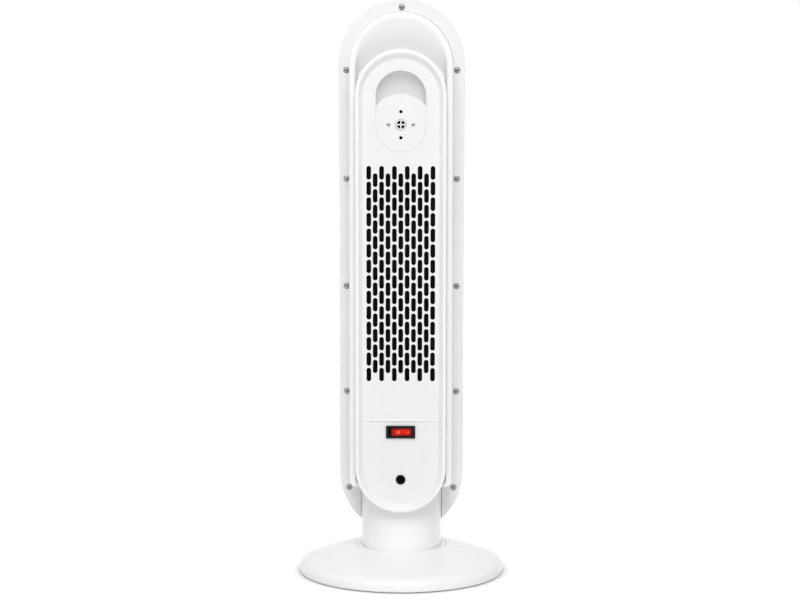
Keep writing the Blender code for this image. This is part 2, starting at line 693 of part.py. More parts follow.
def plain_screw_mesh(name, head_radius, length, pointing):
    """A screw without its cross, for places inside: the shank runs along +Y from the head's underside."""
    shank = SCREW_SHANK_RADIUS
    dome = SCREW_HEAD_HEIGHT
    profile = [(shank, length), (shank, 0), (head_radius, 0), (head_radius - dome / 2, -dome)]
    screw = turned(name + "_blank", profile, screw_steel(), along="Y", steps=SCREW_ROUND_STEPS)
    mesh = screw.data
    mesh.transform(pointing)
    bpy.data.objects.remove(screw, do_unlink=True)
    return mesh


def screw_mesh(name, head_radius, length, pointing):
    """A cross-head screw as a mesh: the head's underside is at zero and the shank runs along +Y."""
    shank = SCREW_SHANK_RADIUS
    dome = SCREW_HEAD_HEIGHT
    profile = [(shank, length), (shank, 0), (head_radius, 0), (head_radius, -dome / 2),
               (head_radius - dome / 2, -dome)]
    head = turned(name + "_blank", profile, screw_steel(), along="Y", steps=SCREW_ROUND_STEPS)
    long_half = SCREW_CROSS_LENGTH / 2
    short_half = SCREW_CROSS_WIDTH / 2
    outline = [(long_half, short_half), (short_half, short_half), (short_half, long_half),
               (-short_half, long_half), (-short_half, short_half), (-long_half, short_half),
               (-long_half, -short_half), (-short_half, -short_half), (-short_half, -long_half),
               (short_half, -long_half), (short_half, -short_half), (long_half, -short_half)]
    slot = rear_prism(name + "_cross", outline, -dome - OVERRUN, SCREW_CROSS_DEPTH - dome)
    cut(head, slot)
    bpy.context.view_layer.update()
    graph = bpy.context.evaluated_depsgraph_get()
    mesh = bpy.data.meshes.new_from_object(head.evaluated_get(graph))
    mesh.name = name
    mesh.transform(pointing)
    for thing in (head, slot):
        bpy.data.objects.remove(thing, do_unlink=True)
    return mesh


def from_below():
    """Turns a screw so that its head faces down and its shank runs up."""
    return Matrix.Rotation(math.pi / 2, 4, "X")


def place_screw(name, mesh, place):
    thing = bpy.data.objects.new(name, mesh)
    thing.location = place
    bpy.context.scene.collection.objects.link(thing)
    return thing


def involute_gear(teeth, turn):
    """A spur gear's outline with involute flanks, as (x, y) pairs; a tooth points along the turn angle."""
    pitch_radius = GEAR_MODULE * teeth / 2
    base_radius = pitch_radius * math.cos(PRESSURE_ANGLE)
    tip_radius = pitch_radius + GEAR_MODULE * TOOTH_ADDENDUM_SHARE
    root_radius = pitch_radius - GEAR_MODULE * TOOTH_DEDENDUM_SHARE
    half_tooth = math.pi * TOOTH_THICKNESS_SHARE / teeth
    at_pitch = math.tan(PRESSURE_ANGLE) - PRESSURE_ANGLE
    flank = []
    for share in (0, 1 / 2, 1):
        radius = max(base_radius, root_radius) * (1 - share) + tip_radius * share
        roll = math.acos(min(1, base_radius / radius))
        flank.append((radius, half_tooth + at_pitch - (math.tan(roll) - roll)))
    side = [(root_radius, flank[0][1])] + flank if root_radius < base_radius else flank
    points = []
    for tooth in range(teeth):
        middle = turn + 2 * math.pi * tooth / teeth
        for radius, away in side:
            points.append((radius * math.cos(middle - away), radius * math.sin(middle - away)))
        for radius, away in reversed(side):
            points.append((radius * math.cos(middle + away), radius * math.sin(middle + away)))
    return points


def prisms(name, outlines, rear, front):
    """Several separate outlines of (x, z) pairs, each drawn out along Y, in one helper mesh."""
    points = []
    faces = []
    for outline in outlines:
        base = len(points)
        count = len(outline)
        points += [(x, rear, z) for x, z in outline] + [(x, front, z) for x, z in outline]
        faces.append(tuple(range(base, base + count)))
        faces.append(tuple(range(base + count, base + 2 * count)))
        for step in range(count):
            after = (step + 1) % count
            faces.append((base + step, base + after, base + count + after, base + count + step))
    return mesh_object(name, points, faces)


def moved_outline(outline, x, z):
    return [(across + x, up + z) for across, up in outline]


def cone_height(radius, drop=0):
    """Height of the base's conical top at a radius."""
    share = (CREASE_RADIUS - radius) / (CREASE_RADIUS - SEAM_RADIUS)
    return CREASE_HEIGHT + share * (SEAM_HEIGHT - CREASE_HEIGHT) - drop


# Base


def base_screw_places():
    return around(BASE_SCREW_COUNT, BASE_SCREW_CIRCLE_RADIUS, math.pi / 2)


def base_pilot_holes():
    hole = SCREW_SHANK_RADIUS + RUNNING_GAP
    profile = [(hole, BASE_UNDERSIDE - OVERRUN), (hole, BASE_PLATE_UNDERSIDE + SCREW_LENGTH + OVERRUN)]
    holes = [turned("base_hole", profile, centre=(x, y, 0)) for x, y in base_screw_places()]
    return group("base_pilot_holes", holes)


def base_cover(pilot_holes):
    inner_shelf = SHELF_TOP - SHELF_THICKNESS
    well_outside = SEAM_RADIUS + BASE_WALL
    inside = BASE_RADIUS - BASE_WALL
    bulge_radius = CREASE_RADIUS - BASE_CONE_BULGE_SHARE * (CREASE_RADIUS - SEAM_RADIUS)
    profile = [(BASE_RADIUS, BASE_UNDERSIDE), (BASE_RADIUS, BASE_WALL_TOP),
               (BASE_RADIUS - BASE_SHOULDER_ROUND_WIDTH, BASE_WALL_TOP + BASE_SHOULDER_ROUND_RISE),
               (CREASE_RADIUS, CREASE_HEIGHT), (bulge_radius, cone_height(bulge_radius, -BASE_CONE_BULGE)),
               (SEAM_RADIUS, SEAM_HEIGHT), (SEAM_RADIUS, SHELF_TOP),
               (SHELF_HOLE_RADIUS, SHELF_TOP), (SHELF_HOLE_RADIUS, inner_shelf),
               (well_outside, inner_shelf), (well_outside, cone_height(well_outside, BASE_WALL)),
               (CREASE_RADIUS, CREASE_HEIGHT - BASE_WALL), (inside, BASE_WALL_TOP),
               (inside, BASE_UNDERSIDE)]
    cover = turned("base_cover", profile, white_gloss(), steps=LARGE_ROUND_STEPS, closed=True)
    boss_bottom = BASE_PLATE_TOP + SEAT_GAP
    boss_top = cone_height(BASE_SCREW_CIRCLE_RADIUS + BOSS_RADIUS, BASE_WALL / 2)
    boss = [(BOSS_RADIUS, boss_bottom), (BOSS_RADIUS, boss_top)]
    bosses = [turned("base_boss", boss, centre=(x, y, 0)) for x, y in base_screw_places()]
    add(cover, group("base_bosses", bosses))
    cut(cover, pilot_holes)


def base_plate(pilot_holes):
    radius = BASE_RADIUS - BASE_WALL - RUNNING_GAP
    plate = turned("base_plate", [(radius, BASE_PLATE_UNDERSIDE), (radius, BASE_PLATE_TOP)], dark_plastic(),
                   steps=LARGE_ROUND_STEPS)
    hole = FOOT_STEM_RADIUS + RUNNING_GAP
    profile = [(hole, BASE_PLATE_UNDERSIDE - OVERRUN), (hole, BASE_PLATE_TOP + OVERRUN)]
    holes = [turned("foot_hole", profile, centre=(x, y, 0)) for x, y in foot_places()]
    cut(plate, pilot_holes, group("foot_holes", holes))


def foot_places():
    return around(FOOT_COUNT, FOOT_CIRCLE_RADIUS, math.pi / FOOT_COUNT)


def rubber_feet():
    pad_top = BASE_PLATE_UNDERSIDE - SEAT_GAP
    stem_top = BASE_PLATE_TOP + FOOT_STEM_HEIGHT
    profile = [(FOOT_RADIUS, 0), (FOOT_RADIUS, pad_top), (FOOT_STEM_RADIUS, pad_top),
               (FOOT_STEM_RADIUS, stem_top)]
    for number, (x, y) in enumerate(foot_places(), 1):
        turned(f"rubber_foot_{number}", profile, black_rubber(), centre=(x, y, 0))


def base_screws():
    mesh = screw_mesh("base_screw", SMALL_SCREW_HEAD_RADIUS, SCREW_LENGTH, from_below())
    for number, (x, y) in enumerate(base_screw_places(), 1):
        place_screw(f"base_screw_{number}", mesh, (x, y, BASE_PLATE_UNDERSIDE - SEAT_GAP))


def swing_gear():
    outline = involute_gear(FIXED_GEAR_TEETH, math.pi / 2)
    gear = upright_prism("swing_gear", outline, GEAR_BOTTOM, GEAR_TOP, grey_nylon())
    bottom = BASE_PLATE_TOP + SEAT_GAP
    post = turned("gear_post", [(GEAR_POST_RADIUS, bottom), (GEAR_POST_RADIUS, GEAR_BOTTOM + OVERRUN)],
                  steps=2 * SMALL_ROUND_STEPS)
    add(gear, post)


def slide_ring():
    low = SHELF_TOP + SEAT_GAP
    high = low + SLIDE_RING_THICKNESS
    profile = [(SLIDE_RING_OUTER_RADIUS, low), (SLIDE_RING_OUTER_RADIUS, high),
               (SLIDE_RING_INNER_RADIUS, high), (SLIDE_RING_INNER_RADIUS, low)]
    turned("swivel_slide_ring", profile, grey_nylon(), steps=LARGE_ROUND_STEPS, closed=True)


# Swivel and swing drive


def shaft_notch():
    radius = PINION_SHAFT_RADIUS + 2 * RUNNING_GAP
    profile = [(radius, RETAINER_BOTTOM - OVERRUN), (radius, NECK_FLOOR + OVERRUN)]
    return turned("shaft_notch", profile, centre=(0, GEAR_CENTRES, 0))


def retainer_screw_places():
    outer = SHELF_HOLE_RADIUS - RUNNING_GAP
    return around(RETAINER_SCREW_COUNT, outer - RETAINER_HUB_WALL / 2, RETAINER_SCREW_TURN)


def retainer_holes():
    hole = SCREW_SHANK_RADIUS + RUNNING_GAP
    profile = [(hole, RETAINER_BOTTOM - OVERRUN), (hole, NECK_FLOOR + OVERRUN)]
    holes = [turned("retainer_hole", profile, centre=(x, y, 0)) for x, y in retainer_screw_places()]
    return group("retainer_holes", holes)


def swivel_retainer(notch, holes):
    hub = SHELF_HOLE_RADIUS - RUNNING_GAP
    hub_top = NECK_DISC_UNDERSIDE - SEAT_GAP
    inner = hub - RETAINER_HUB_WALL
    profile = [(RETAINER_RADIUS, RETAINER_BOTTOM), (RETAINER_RADIUS, RETAINER_TOP), (hub, RETAINER_TOP),
               (hub, hub_top), (inner, hub_top), (inner, RETAINER_BOTTOM)]
    ring = turned("swivel_retainer", profile, grey_nylon(), steps=LARGE_ROUND_STEPS, closed=True)
    cut(ring, notch, holes)


def retainer_screws():
    length = NECK_FLOOR - RETAINER_BOTTOM - SEAT_GAP
    mesh = plain_screw_mesh("retainer_screw", SMALL_SCREW_HEAD_RADIUS, length, from_below())
    for number, (x, y) in enumerate(retainer_screw_places(), 1):
        place_screw(f"retainer_screw_{number}", mesh, (x, y, RETAINER_BOTTOM - SEAT_GAP))


def swing_motor():
    bottom = NECK_FLOOR + SEAT_GAP
    profile = [(SWING_MOTOR_RADIUS, bottom), (SWING_MOTOR_RADIUS, bottom + SWING_MOTOR_HEIGHT)]
    motor = turned("swing_motor", profile, motor_steel(), centre=(0, SWING_MOTOR_Y, 0),
                   steps=2 * SMALL_ROUND_STEPS)
    half = SWING_MOTOR_EAR_WIDTH / 2
    ears = block("swing_motor_ears", (-SWING_MOTOR_EAR_REACH, SWING_MOTOR_Y - half, bottom),
                 (SWING_MOTOR_EAR_REACH, SWING_MOTOR_Y + half, bottom + SWING_MOTOR_EAR_THICKNESS))
    add(motor, ears)


def swing_pinion():
    outline = involute_gear(PINION_TEETH, math.pi / 2 + math.pi / PINION_TEETH)
    outline = [(x, y + GEAR_CENTRES) for x, y in outline]
    axis = (0, GEAR_CENTRES, 0)
    pinion = upright_prism("swing_pinion", outline, GEAR_BOTTOM, GEAR_TOP, grey_nylon(), axis)
    shaft = [(PINION_SHAFT_RADIUS, GEAR_TOP - OVERRUN), (PINION_SHAFT_RADIUS, NECK_FLOOR)]
    add(pinion, turned("pinion_shaft", shaft, centre=axis))


# Neck


def neck_cutter():
    radius = NECK_RADIUS + RUNNING_GAP
    profile = [(radius, NECK_FOOT_HEIGHT), (radius, NECK_TOP + RUNNING_GAP)]
    return turned("neck_cutter", profile, steps=LARGE_ROUND_STEPS)


def ear_span():
    top = NECK_TOP - NECK_EAR_DROP
    return top - NECK_EAR_THICKNESS, top


def ear_screw_places():
    middle = (NECK_EAR_REAR + NECK_EAR_FRONT) / 2
    return [(-NECK_SCREW_X, middle), (NECK_SCREW_X, middle)]


def ear_holes():
    hole = SCREW_SHANK_RADIUS + RUNNING_GAP
    low, high = ear_span()
    profile = [(hole, low - OVERRUN), (hole, high + LEDGE_THICKNESS + 2 * OVERRUN)]
    holes = [turned("ear_hole", profile, centre=(x, y, 0)) for x, y in ear_screw_places()]
    return group("ear_holes", holes)


def neck_column(notch, holes, screw_holes):
    inside = NECK_RADIUS - NECK_WALL
    collar = SEAM_RADIUS - RUNNING_GAP
    collar_top = SEAM_HEIGHT
    profile = [(collar, NECK_DISC_UNDERSIDE), (collar, collar_top),
               (NECK_RADIUS + NECK_FOOT_ROUND, NECK_FOOT_HEIGHT - NECK_FOOT_ROUND),
               (NECK_RADIUS, NECK_FOOT_HEIGHT), (NECK_RADIUS, NECK_TOP), (NECK_TOP_HOLE_RADIUS, NECK_TOP),
               (NECK_TOP_HOLE_RADIUS, NECK_TOP - NECK_WALL), (inside, NECK_TOP - NECK_WALL),
               (inside, NECK_FLOOR), (NECK_FLOOR_HOLE_RADIUS, NECK_FLOOR),
               (NECK_FLOOR_HOLE_RADIUS, NECK_DISC_UNDERSIDE)]
    column = turned("neck_column", profile, white_gloss(), steps=LARGE_ROUND_STEPS, closed=True)
    low, high = ear_span()
    inner = math.sqrt((NECK_RADIUS - NECK_WALL / 2) ** 2 - NECK_EAR_FRONT ** 2)
    left = block("neck_ear_left", (-NECK_EAR_REACH, NECK_EAR_REAR, low), (-inner, NECK_EAR_FRONT, high))
    right = block("neck_ear_right", (inner, NECK_EAR_REAR, low), (NECK_EAR_REACH, NECK_EAR_FRONT, high))
    add(column, left, right)
    cut(column, notch, holes, screw_holes)


def neck_screws():
    low = ear_span()[0]
    length = NECK_EAR_THICKNESS + LEDGE_THICKNESS
    mesh = plain_screw_mesh("neck_screw", SMALL_SCREW_HEAD_RADIUS, length, from_below())
    for number, (x, y) in enumerate(ear_screw_places(), 1):
        place_screw(f"neck_screw_{number}", mesh, (x, y, low - SEAT_GAP))


# Tower casings


def casing_screw_places():
    places = [(0, TOP_SCREW_HEIGHT)]
    for height in SIDE_SCREW_HEIGHTS:
        places += [(-SIDE_SCREW_X, height), (SIDE_SCREW_X, height)]
    return places + [(-LOWER_SCREW_X, LOWER_SCREW_HEIGHT), (LOWER_SCREW_X, LOWER_SCREW_HEIGHT)]


def casing_pilot_holes():
    hole = circle(SCREW_SHANK_RADIUS + RUNNING_GAP, SCREW_ROUND_STEPS)
    outlines = [moved_outline(hole, x, z) for x, z in casing_screw_places()]
    return prisms("casing_pilot_holes", outlines, FLANGE_REAR - OVERRUN, FLANGE_REAR + BOSS_DEPTH)


def front_round(wall):
    """The front casing's rounded edge, as (inset, y) pairs from the straight side to the flat face."""
    radius = FRONT_ROUND - wall
    pairs = []
    for step in range(FRONT_ROUND_STEPS + 1):
        angle = math.pi / 2 * step / FRONT_ROUND_STEPS
        inset = wall + radius * (1 - math.cos(angle))
        pairs.append((inset, BODY_FRONT - wall - radius * (1 - math.sin(angle))))
    return pairs


def edge_distance(x, z):
    """Distance from a place to the body's outline, in the rear view."""
    corners = [Vector(point) for point in body_outline(0)]
    place = Vector((x, z))
    nearest = BODY_TOP
    for first, second in zip(corners, corners[1:] + corners[:1]):
        side = second - first
        share = min(1, max(0, (place - first).dot(side) / side.length_squared))
        nearest = min(nearest, (place - first - side * share).length)
    return nearest


def front_boss_end(x, z):
    """How far forward a casing boss runs to end inside the rounded wall."""
    radius = FRONT_ROUND - SHELL_WALL
    inset = min(radius, max(0, edge_distance(x, z) - SHELL_WALL - BOSS_RADIUS / 2))
    return FRONT_INSIDE - radius * (1 - math.sqrt(1 - (1 - inset / radius) ** 2)) + BOSS_ROOT


def front_shell(pilot_holes, cutter, screw_holes):
    inner = [at_depth(body_outline(inset), y) for inset, y in reversed(front_round(SHELL_WALL))]
    outer = [at_depth(body_outline(inset), y) for inset, y in front_round(0)]
    edge = [at_depth(body_outline(wall), FRONT_SHELL_REAR) for wall in (SHELL_WALL, 0)]
    shell = loft("front_shell", inner + edge + outer, white_plastic())
    outlet = rear_prism("outlet_cutter", outlet_outline(0), FRONT_INSIDE - OVERRUN, BODY_FRONT + OVERRUN)
    control = rear_prism("control_cutter", control_outline(0), FRONT_INSIDE - OVERRUN, BODY_FRONT + OVERRUN)
    low = ear_span()[1] + SEAT_GAP
    high = low + LEDGE_THICKNESS
    rear = NECK_EAR_REAR - LEDGE_MARGIN
    front = NECK_EAR_FRONT + LEDGE_MARGIN
    near = NECK_RADIUS + LEDGE_MARGIN
    far = BODY_HALF_WIDTH - SHELL_WALL + LEDGE_ROOT
    ledges = group("neck_ledges", [block("ledge", (near, rear, low), (far, front, high)),
                                   block("ledge", (-far, rear, low), (-near, front, high))])
    bosses = []
    for x, z in casing_screw_places():
        profile = [(BOSS_RADIUS, FRONT_SHELL_REAR), (BOSS_RADIUS, front_boss_end(x, z))]
        bosses.append(turned("casing_boss", profile, centre=(x, 0, z), along="Y", steps=SCREW_ROUND_STEPS))
    posts = []
    for x, z in standoff_places():
        profile = [(STANDOFF_RADIUS, POWER_BOARD_REAR + BOARD_THICKNESS + SEAT_GAP),
                   (STANDOFF_RADIUS, FRONT_INSIDE + BOSS_ROOT)]
        posts.append(turned("board_post", profile, centre=(x, 0, z), along="Y", steps=SCREW_ROUND_STEPS))
    cut(shell, cutter)
    add(shell, ledges, group("casing_bosses", bosses), group("board_posts", posts))
    cut(shell, outlet, control, pilot_holes, screw_holes)


def along_bowl(outline, drop):
    """An outline laid on the bowl's floor, which rises from the panel's top to just under the rim."""
    inner_top = TUB_TOP - TUB_DRAFT - RIM_BAND_WIDTH
    rise = (BOWL_DEPTH - BOWL_TOP_DEPTH) / (inner_top - PANEL_TOP)
    return [(x, BOWL_FLOOR + drop - rise * min(max(z - PANEL_TOP, 0), inner_top - PANEL_TOP), z)
            for x, z in outline]


def rear_shell(pilot_holes, cutter):
    wall_rear = TUB_RIM_REAR + TUB_RIM_ROUND
    band = TUB_DRAFT + RIM_BAND_WIDTH
    ledge = long_outline(LEDGE_HALF_WIDTH, PANEL_TOP - PANEL_HALF_WIDTH + LEDGE_HALF_WIDTH,
                         LEDGE_HALF_WIDTH, TUB_ARC_CENTRE, LEDGE_HALF_WIDTH)
    ramp_foot = panel_outline(BOWL_RAMP_SIDE_INSET, BOWL_RAMP_TOP_INSET, BOWL_RAMP_BOTTOM_INSET)
    flange_front = FLANGE_REAR + FLANGE_THICKNESS
    rings = [at_depth(body_outline(0), FLANGE_REAR),
             at_depth(tub_outline(0, 0), FLANGE_REAR),
             at_depth(tub_outline(TUB_DRAFT, 0), wall_rear),
             at_depth(tub_outline(TUB_DRAFT + TUB_RIM_ROUND / 2, TUB_RIM_ROUND / 2), TUB_RIM_REAR),
             at_depth(tub_outline(band, TUB_WALL), TUB_RIM_REAR),
             along_bowl(tub_outline(band + BOWL_SLOPE_WIDTH, TUB_WALL), 0),
             at_depth(ramp_foot, BOWL_FLOOR),
             at_depth(ledge, BOWL_FLOOR),
             at_depth(ledge, BOWL_FLOOR + TUB_WALL),
             at_depth(ramp_foot, BOWL_FLOOR + TUB_WALL),
             along_bowl(tub_outline(TUB_DRAFT + TUB_WALL, TUB_WALL), TUB_WALL),
             at_depth(tub_outline(TUB_WALL, TUB_WALL), flange_front),
             at_depth(body_outline(0), flange_front)]
    shell = loft("rear_shell", rings, white_plastic(), closed=True)
    cut(shell, pilot_holes, cutter)


def casing_screws():
    mesh = screw_mesh("casing_screw", SCREW_HEAD_RADIUS, SCREW_LENGTH, Matrix.Identity(4))
    for number, (x, z) in enumerate(casing_screw_places(), 1):
        place_screw(f"casing_screw_{number}", mesh, (x, FLANGE_REAR - SEAT_GAP, z))


# Rear panel and what it carries


def slot_outlines():
    """Eleven columns of long slots; every other column is one slot shorter and sits lower."""
    half = SLOT_WIDTH / 2
    straight = SLOT_LENGTH / 2 - half
    slot = arc(0, straight, half, half, 0, math.pi, SLOT_END_STEPS)
    slot += arc(0, -straight, half, half, math.pi, 2 * math.pi, SLOT_END_STEPS)
    outlines = []
    for column in range(SLOT_COLUMNS):
        x = (column - (SLOT_COLUMNS - 1) / 2) * SLOT_COLUMN_PITCH
        shorter = column % 2
        top = SLOT_FIELD_TOP - SLOT_LENGTH / 2 - shorter * SLOT_OFFSET_DROP
        for row in range(SLOT_ROWS - shorter):
            outlines.append(moved_outline(slot, x, top - row * SLOT_ROW_PITCH))
    return outlines


def recess_outline(extra, cut_off=None):
    """The finger recess's long shape, or only its part above a cut-off height."""
    half = RECESS_HALF_WIDTH + extra
    upper = arc(0, RECESS_TOP - RECESS_HALF_WIDTH, half, half, 0, math.pi, UPPER_ARC_STEPS)
    if cut_off is not None:
        return upper + [(-half, cut_off), (half, cut_off)]
    lower = arc(0, RECESS_BOTTOM + RECESS_HALF_WIDTH, half, half, math.pi, 2 * math.pi, UPPER_ARC_STEPS)
    return upper + lower


def plate_arc(radius, half_width):
    """The sensor plate's curved upper edge from its right tip to its left tip."""
    tip = math.acos(half_width / radius)
    return arc(0, PORT_HEIGHT, radius, radius, tip, math.pi - tip, UPPER_ARC_STEPS)


def finger_scoop():
    """The recess above the plate, deepest under its upper edge, with a flat sloping floor."""
    lower = plate_arc(PLATE_ARC_RADIUS, RECESS_HALF_WIDTH)
    upper = arc(0, RECESS_TOP - RECESS_HALF_WIDTH, RECESS_HALF_WIDTH, RECESS_HALF_WIDTH, 0, math.pi,
                UPPER_ARC_STEPS)
    outline = upper + lower[::-1]
    tip_height = lower[0][1]
    slope = (SCOOP_DEEP_DEPTH - SCOOP_SHALLOW_DEPTH) / (RECESS_TOP - tip_height)
    floor = [(x, FIELD_REAR + SCOOP_SHALLOW_DEPTH + (z - tip_height) * slope, z) for x, z in outline]
    return loft("finger_scoop", [at_depth(outline, FIELD_REAR - OVERRUN), floor])


def plate_openings(port_gap):
    port = circle(PORT_RING_RADIUS + port_gap, 2 * SMALL_ROUND_STEPS)
    small = circle(SMALL_HOLE_RADIUS, SMALL_ROUND_STEPS)
    pilot = circle(SCREW_SHANK_RADIUS + RUNNING_GAP, SMALL_ROUND_STEPS)
    return [moved_outline(port, 0, PORT_HEIGHT),
            moved_outline(small, 0, PORT_HEIGHT + SMALL_HOLE_OFFSET),
            moved_outline(small, 0, PORT_HEIGHT - SMALL_HOLE_OFFSET),
            moved_outline(pilot, SENSOR_SCREW_OFFSET, PORT_HEIGHT),
            moved_outline(pilot, -SENSOR_SCREW_OFFSET, PORT_HEIGHT)]


def plate_holes_cutter():
    return prisms("plate_holes", plate_openings(RUNNING_GAP), FIELD_REAR - OVERRUN,
                  FIELD_REAR + SCOOP_DEEP_DEPTH + RECESS_WALL + OVERRUN)


def rear_panel(cutter, plate_holes):
    skirt_end = BOWL_FLOOR - SEAT_GAP
    inner = PANEL_SKIRT_INSET + PANEL_SKIRT_WALL
    lip_end = PANEL_CROWN_REAR + PANEL_LIP_HEIGHT
    crown_round = PANEL_CROWN_ROUND
    crown = PANEL_CROWN_WIDTH
    rings = [at_depth(panel_outline(inner, inner, inner), FIELD_BACK),
             at_depth(panel_outline(inner, inner, inner), skirt_end),
             at_depth(panel_outline(PANEL_SKIRT_INSET, PANEL_SKIRT_INSET, PANEL_SKIRT_INSET), skirt_end),
             at_depth(panel_outline(PANEL_SKIRT_INSET, PANEL_SKIRT_INSET, PANEL_SKIRT_INSET), lip_end),
             at_depth(panel_outline(0, 0, 0), lip_end),
             at_depth(panel_outline(0, 0, 0), PANEL_CROWN_REAR + crown_round),
             at_depth(panel_outline(crown_round, crown_round, crown_round), PANEL_CROWN_REAR),
             at_depth(panel_outline(crown, crown, crown), PANEL_CROWN_REAR),
             at_depth(panel_outline(crown + PANEL_SLOPE_WIDTH_SIDE, crown + PANEL_SLOPE_WIDTH_TOP,
                                    crown + PANEL_SLOPE_WIDTH_BOTTOM), FIELD_REAR)]
    panel = loft("rear_panel", rings, white_plastic())
    shelf_front = FIELD_REAR + PLATE_THICKNESS + SEAT_GAP
    shelf = rear_prism("plate_shelf", recess_outline(RECESS_WALL), FIELD_REAR + PANEL_WALL / 2,
                       shelf_front + PANEL_WALL)
    tip_height = plate_arc(PLATE_ARC_RADIUS, RECESS_HALF_WIDTH)[0][1]
    cup = rear_prism("finger_cup", recess_outline(RECESS_WALL, tip_height - RECESS_WALL),
                     FIELD_REAR + PANEL_WALL / 2, FIELD_REAR + SCOOP_DEEP_DEPTH + RECESS_WALL)
    rib = block("field_rib", (-RIB_HALF_LENGTH, FIELD_REAR - RIB_RISE, RIB_HEIGHT - RIB_WIDTH / 2),
                (RIB_HALF_LENGTH, FIELD_REAR + PANEL_WALL / 2, RIB_HEIGHT + RIB_WIDTH / 2))
    pocket = rear_prism("plate_pocket", recess_outline(0), FIELD_REAR - OVERRUN, shelf_front)
    slots = prisms("intake_slots", slot_outlines(), FIELD_REAR - OVERRUN, FIELD_BACK + OVERRUN)
    switch = block("switch_cutout", (-SWITCH_BODY_LENGTH / 2 - SEAT_GAP, FIELD_REAR - OVERRUN,
                                     SWITCH_HEIGHT - SWITCH_BODY_WIDTH / 2 - SEAT_GAP),
                   (SWITCH_BODY_LENGTH / 2 + SEAT_GAP, FIELD_BACK + OVERRUN,
                    SWITCH_HEIGHT + SWITCH_BODY_WIDTH / 2 + SEAT_GAP))
    inlet_edge = moved_outline(circle(GLAND_BODY_RADIUS + SEAT_GAP, 2 * SMALL_ROUND_STEPS), 0, INLET_HEIGHT)
    inlet = rear_prism("inlet_cutter", inlet_edge, FIELD_REAR - OVERRUN, FIELD_BACK + OVERRUN)
    add(panel, shelf, cup, rib)
    cut(panel, pocket, finger_scoop(), plate_holes, slots, switch, inlet, cutter)


def sensor_plate(plate_holes):
    half = RECESS_HALF_WIDTH - SEAT_GAP
    lower = arc(0, RECESS_BOTTOM + RECESS_HALF_WIDTH, half, half, math.pi, 2 * math.pi, UPPER_ARC_STEPS)
    outline = lower + plate_arc(PLATE_ARC_RADIUS - SEAT_GAP, half)
    plate = rear_prism("sensor_plate", outline, FIELD_REAR, FIELD_REAR + PLATE_THICKNESS, white_gloss())
    cut(plate, plate_holes)


def sensor_port():
    front = FIELD_REAR - PORT_RISE
    back = FIELD_REAR + PORT_DEPTH
    profile = [(PORT_OPEN_RADIUS, front), (PORT_RING_RADIUS, front), (PORT_RING_RADIUS, back),
               (PORT_OPEN_RADIUS, back)]
    port = turned("sensor_port", profile, white_plastic(), centre=(0, 0, PORT_HEIGHT), along="Y",
                  steps=2 * SMALL_ROUND_STEPS, closed=True)
    half = PORT_BAR_WIDTH / 2
    reach = (PORT_OPEN_RADIUS + PORT_RING_RADIUS) / 2
    outline = [(reach, half), (half, half), (half, reach), (-half, reach), (-half, half),
               (-reach, half), (-reach, -half), (-half, -half), (-half, -reach), (half, -reach),
               (half, -half), (reach, -half)]
    cross = rear_prism("port_cross", moved_outline(outline, 0, PORT_HEIGHT), front + PORT_RISE / 2,
                       back - PORT_RISE)
    add(port, cross)


def thermistor():
    rear = FIELD_REAR + PORT_DEPTH + SEAT_GAP
    profile = [(THERMISTOR_RADIUS, rear), (THERMISTOR_RADIUS, rear + THERMISTOR_LENGTH)]
    turned("room_thermistor", profile, black_plastic(), centre=(0, 0, PORT_HEIGHT), along="Y")


def sensor_screws():
    mesh = screw_mesh("sensor_screw", SMALL_SCREW_HEAD_RADIUS, SMALL_SCREW_LENGTH, Matrix.Identity(4))
    for number, x in enumerate((-SENSOR_SCREW_OFFSET, SENSOR_SCREW_OFFSET), 1):
        place_screw(f"sensor_screw_{number}", mesh, (x, FIELD_REAR - SEAT_GAP, PORT_HEIGHT))


def switch_housing():
    face = FIELD_REAR - SEAT_GAP - BEZEL_RISE
    back = face + SWITCH_BODY_DEPTH
    outline = rounded_rectangle_about(BEZEL_LENGTH / 2, BEZEL_WIDTH / 2, SWITCH_HEIGHT, BEZEL_CORNER)
    bezel = rear_prism("switch_housing", outline, face, FIELD_REAR - SEAT_GAP, black_plastic())
    body = block("switch_body", (-SWITCH_BODY_LENGTH / 2, face + BEZEL_RISE / 2,
                                 SWITCH_HEIGHT - SWITCH_BODY_WIDTH / 2),
                 (SWITCH_BODY_LENGTH / 2, back, SWITCH_HEIGHT + SWITCH_BODY_WIDTH / 2))
    half_length = SWITCH_WELL_LENGTH / 2
    half_width = SWITCH_WELL_WIDTH / 2
    well = block("switch_well", (-half_length, face - OVERRUN, SWITCH_HEIGHT - half_width),
                 (half_length, face + SWITCH_WELL_DEPTH, SWITCH_HEIGHT + half_width))
    add(bezel, body)
    cut(bezel, well)


def rounded_rectangle_about(half_length, half_width, height, radius):
    return rounded_rectangle(half_length, height - half_width, height + half_width, radius, 2)


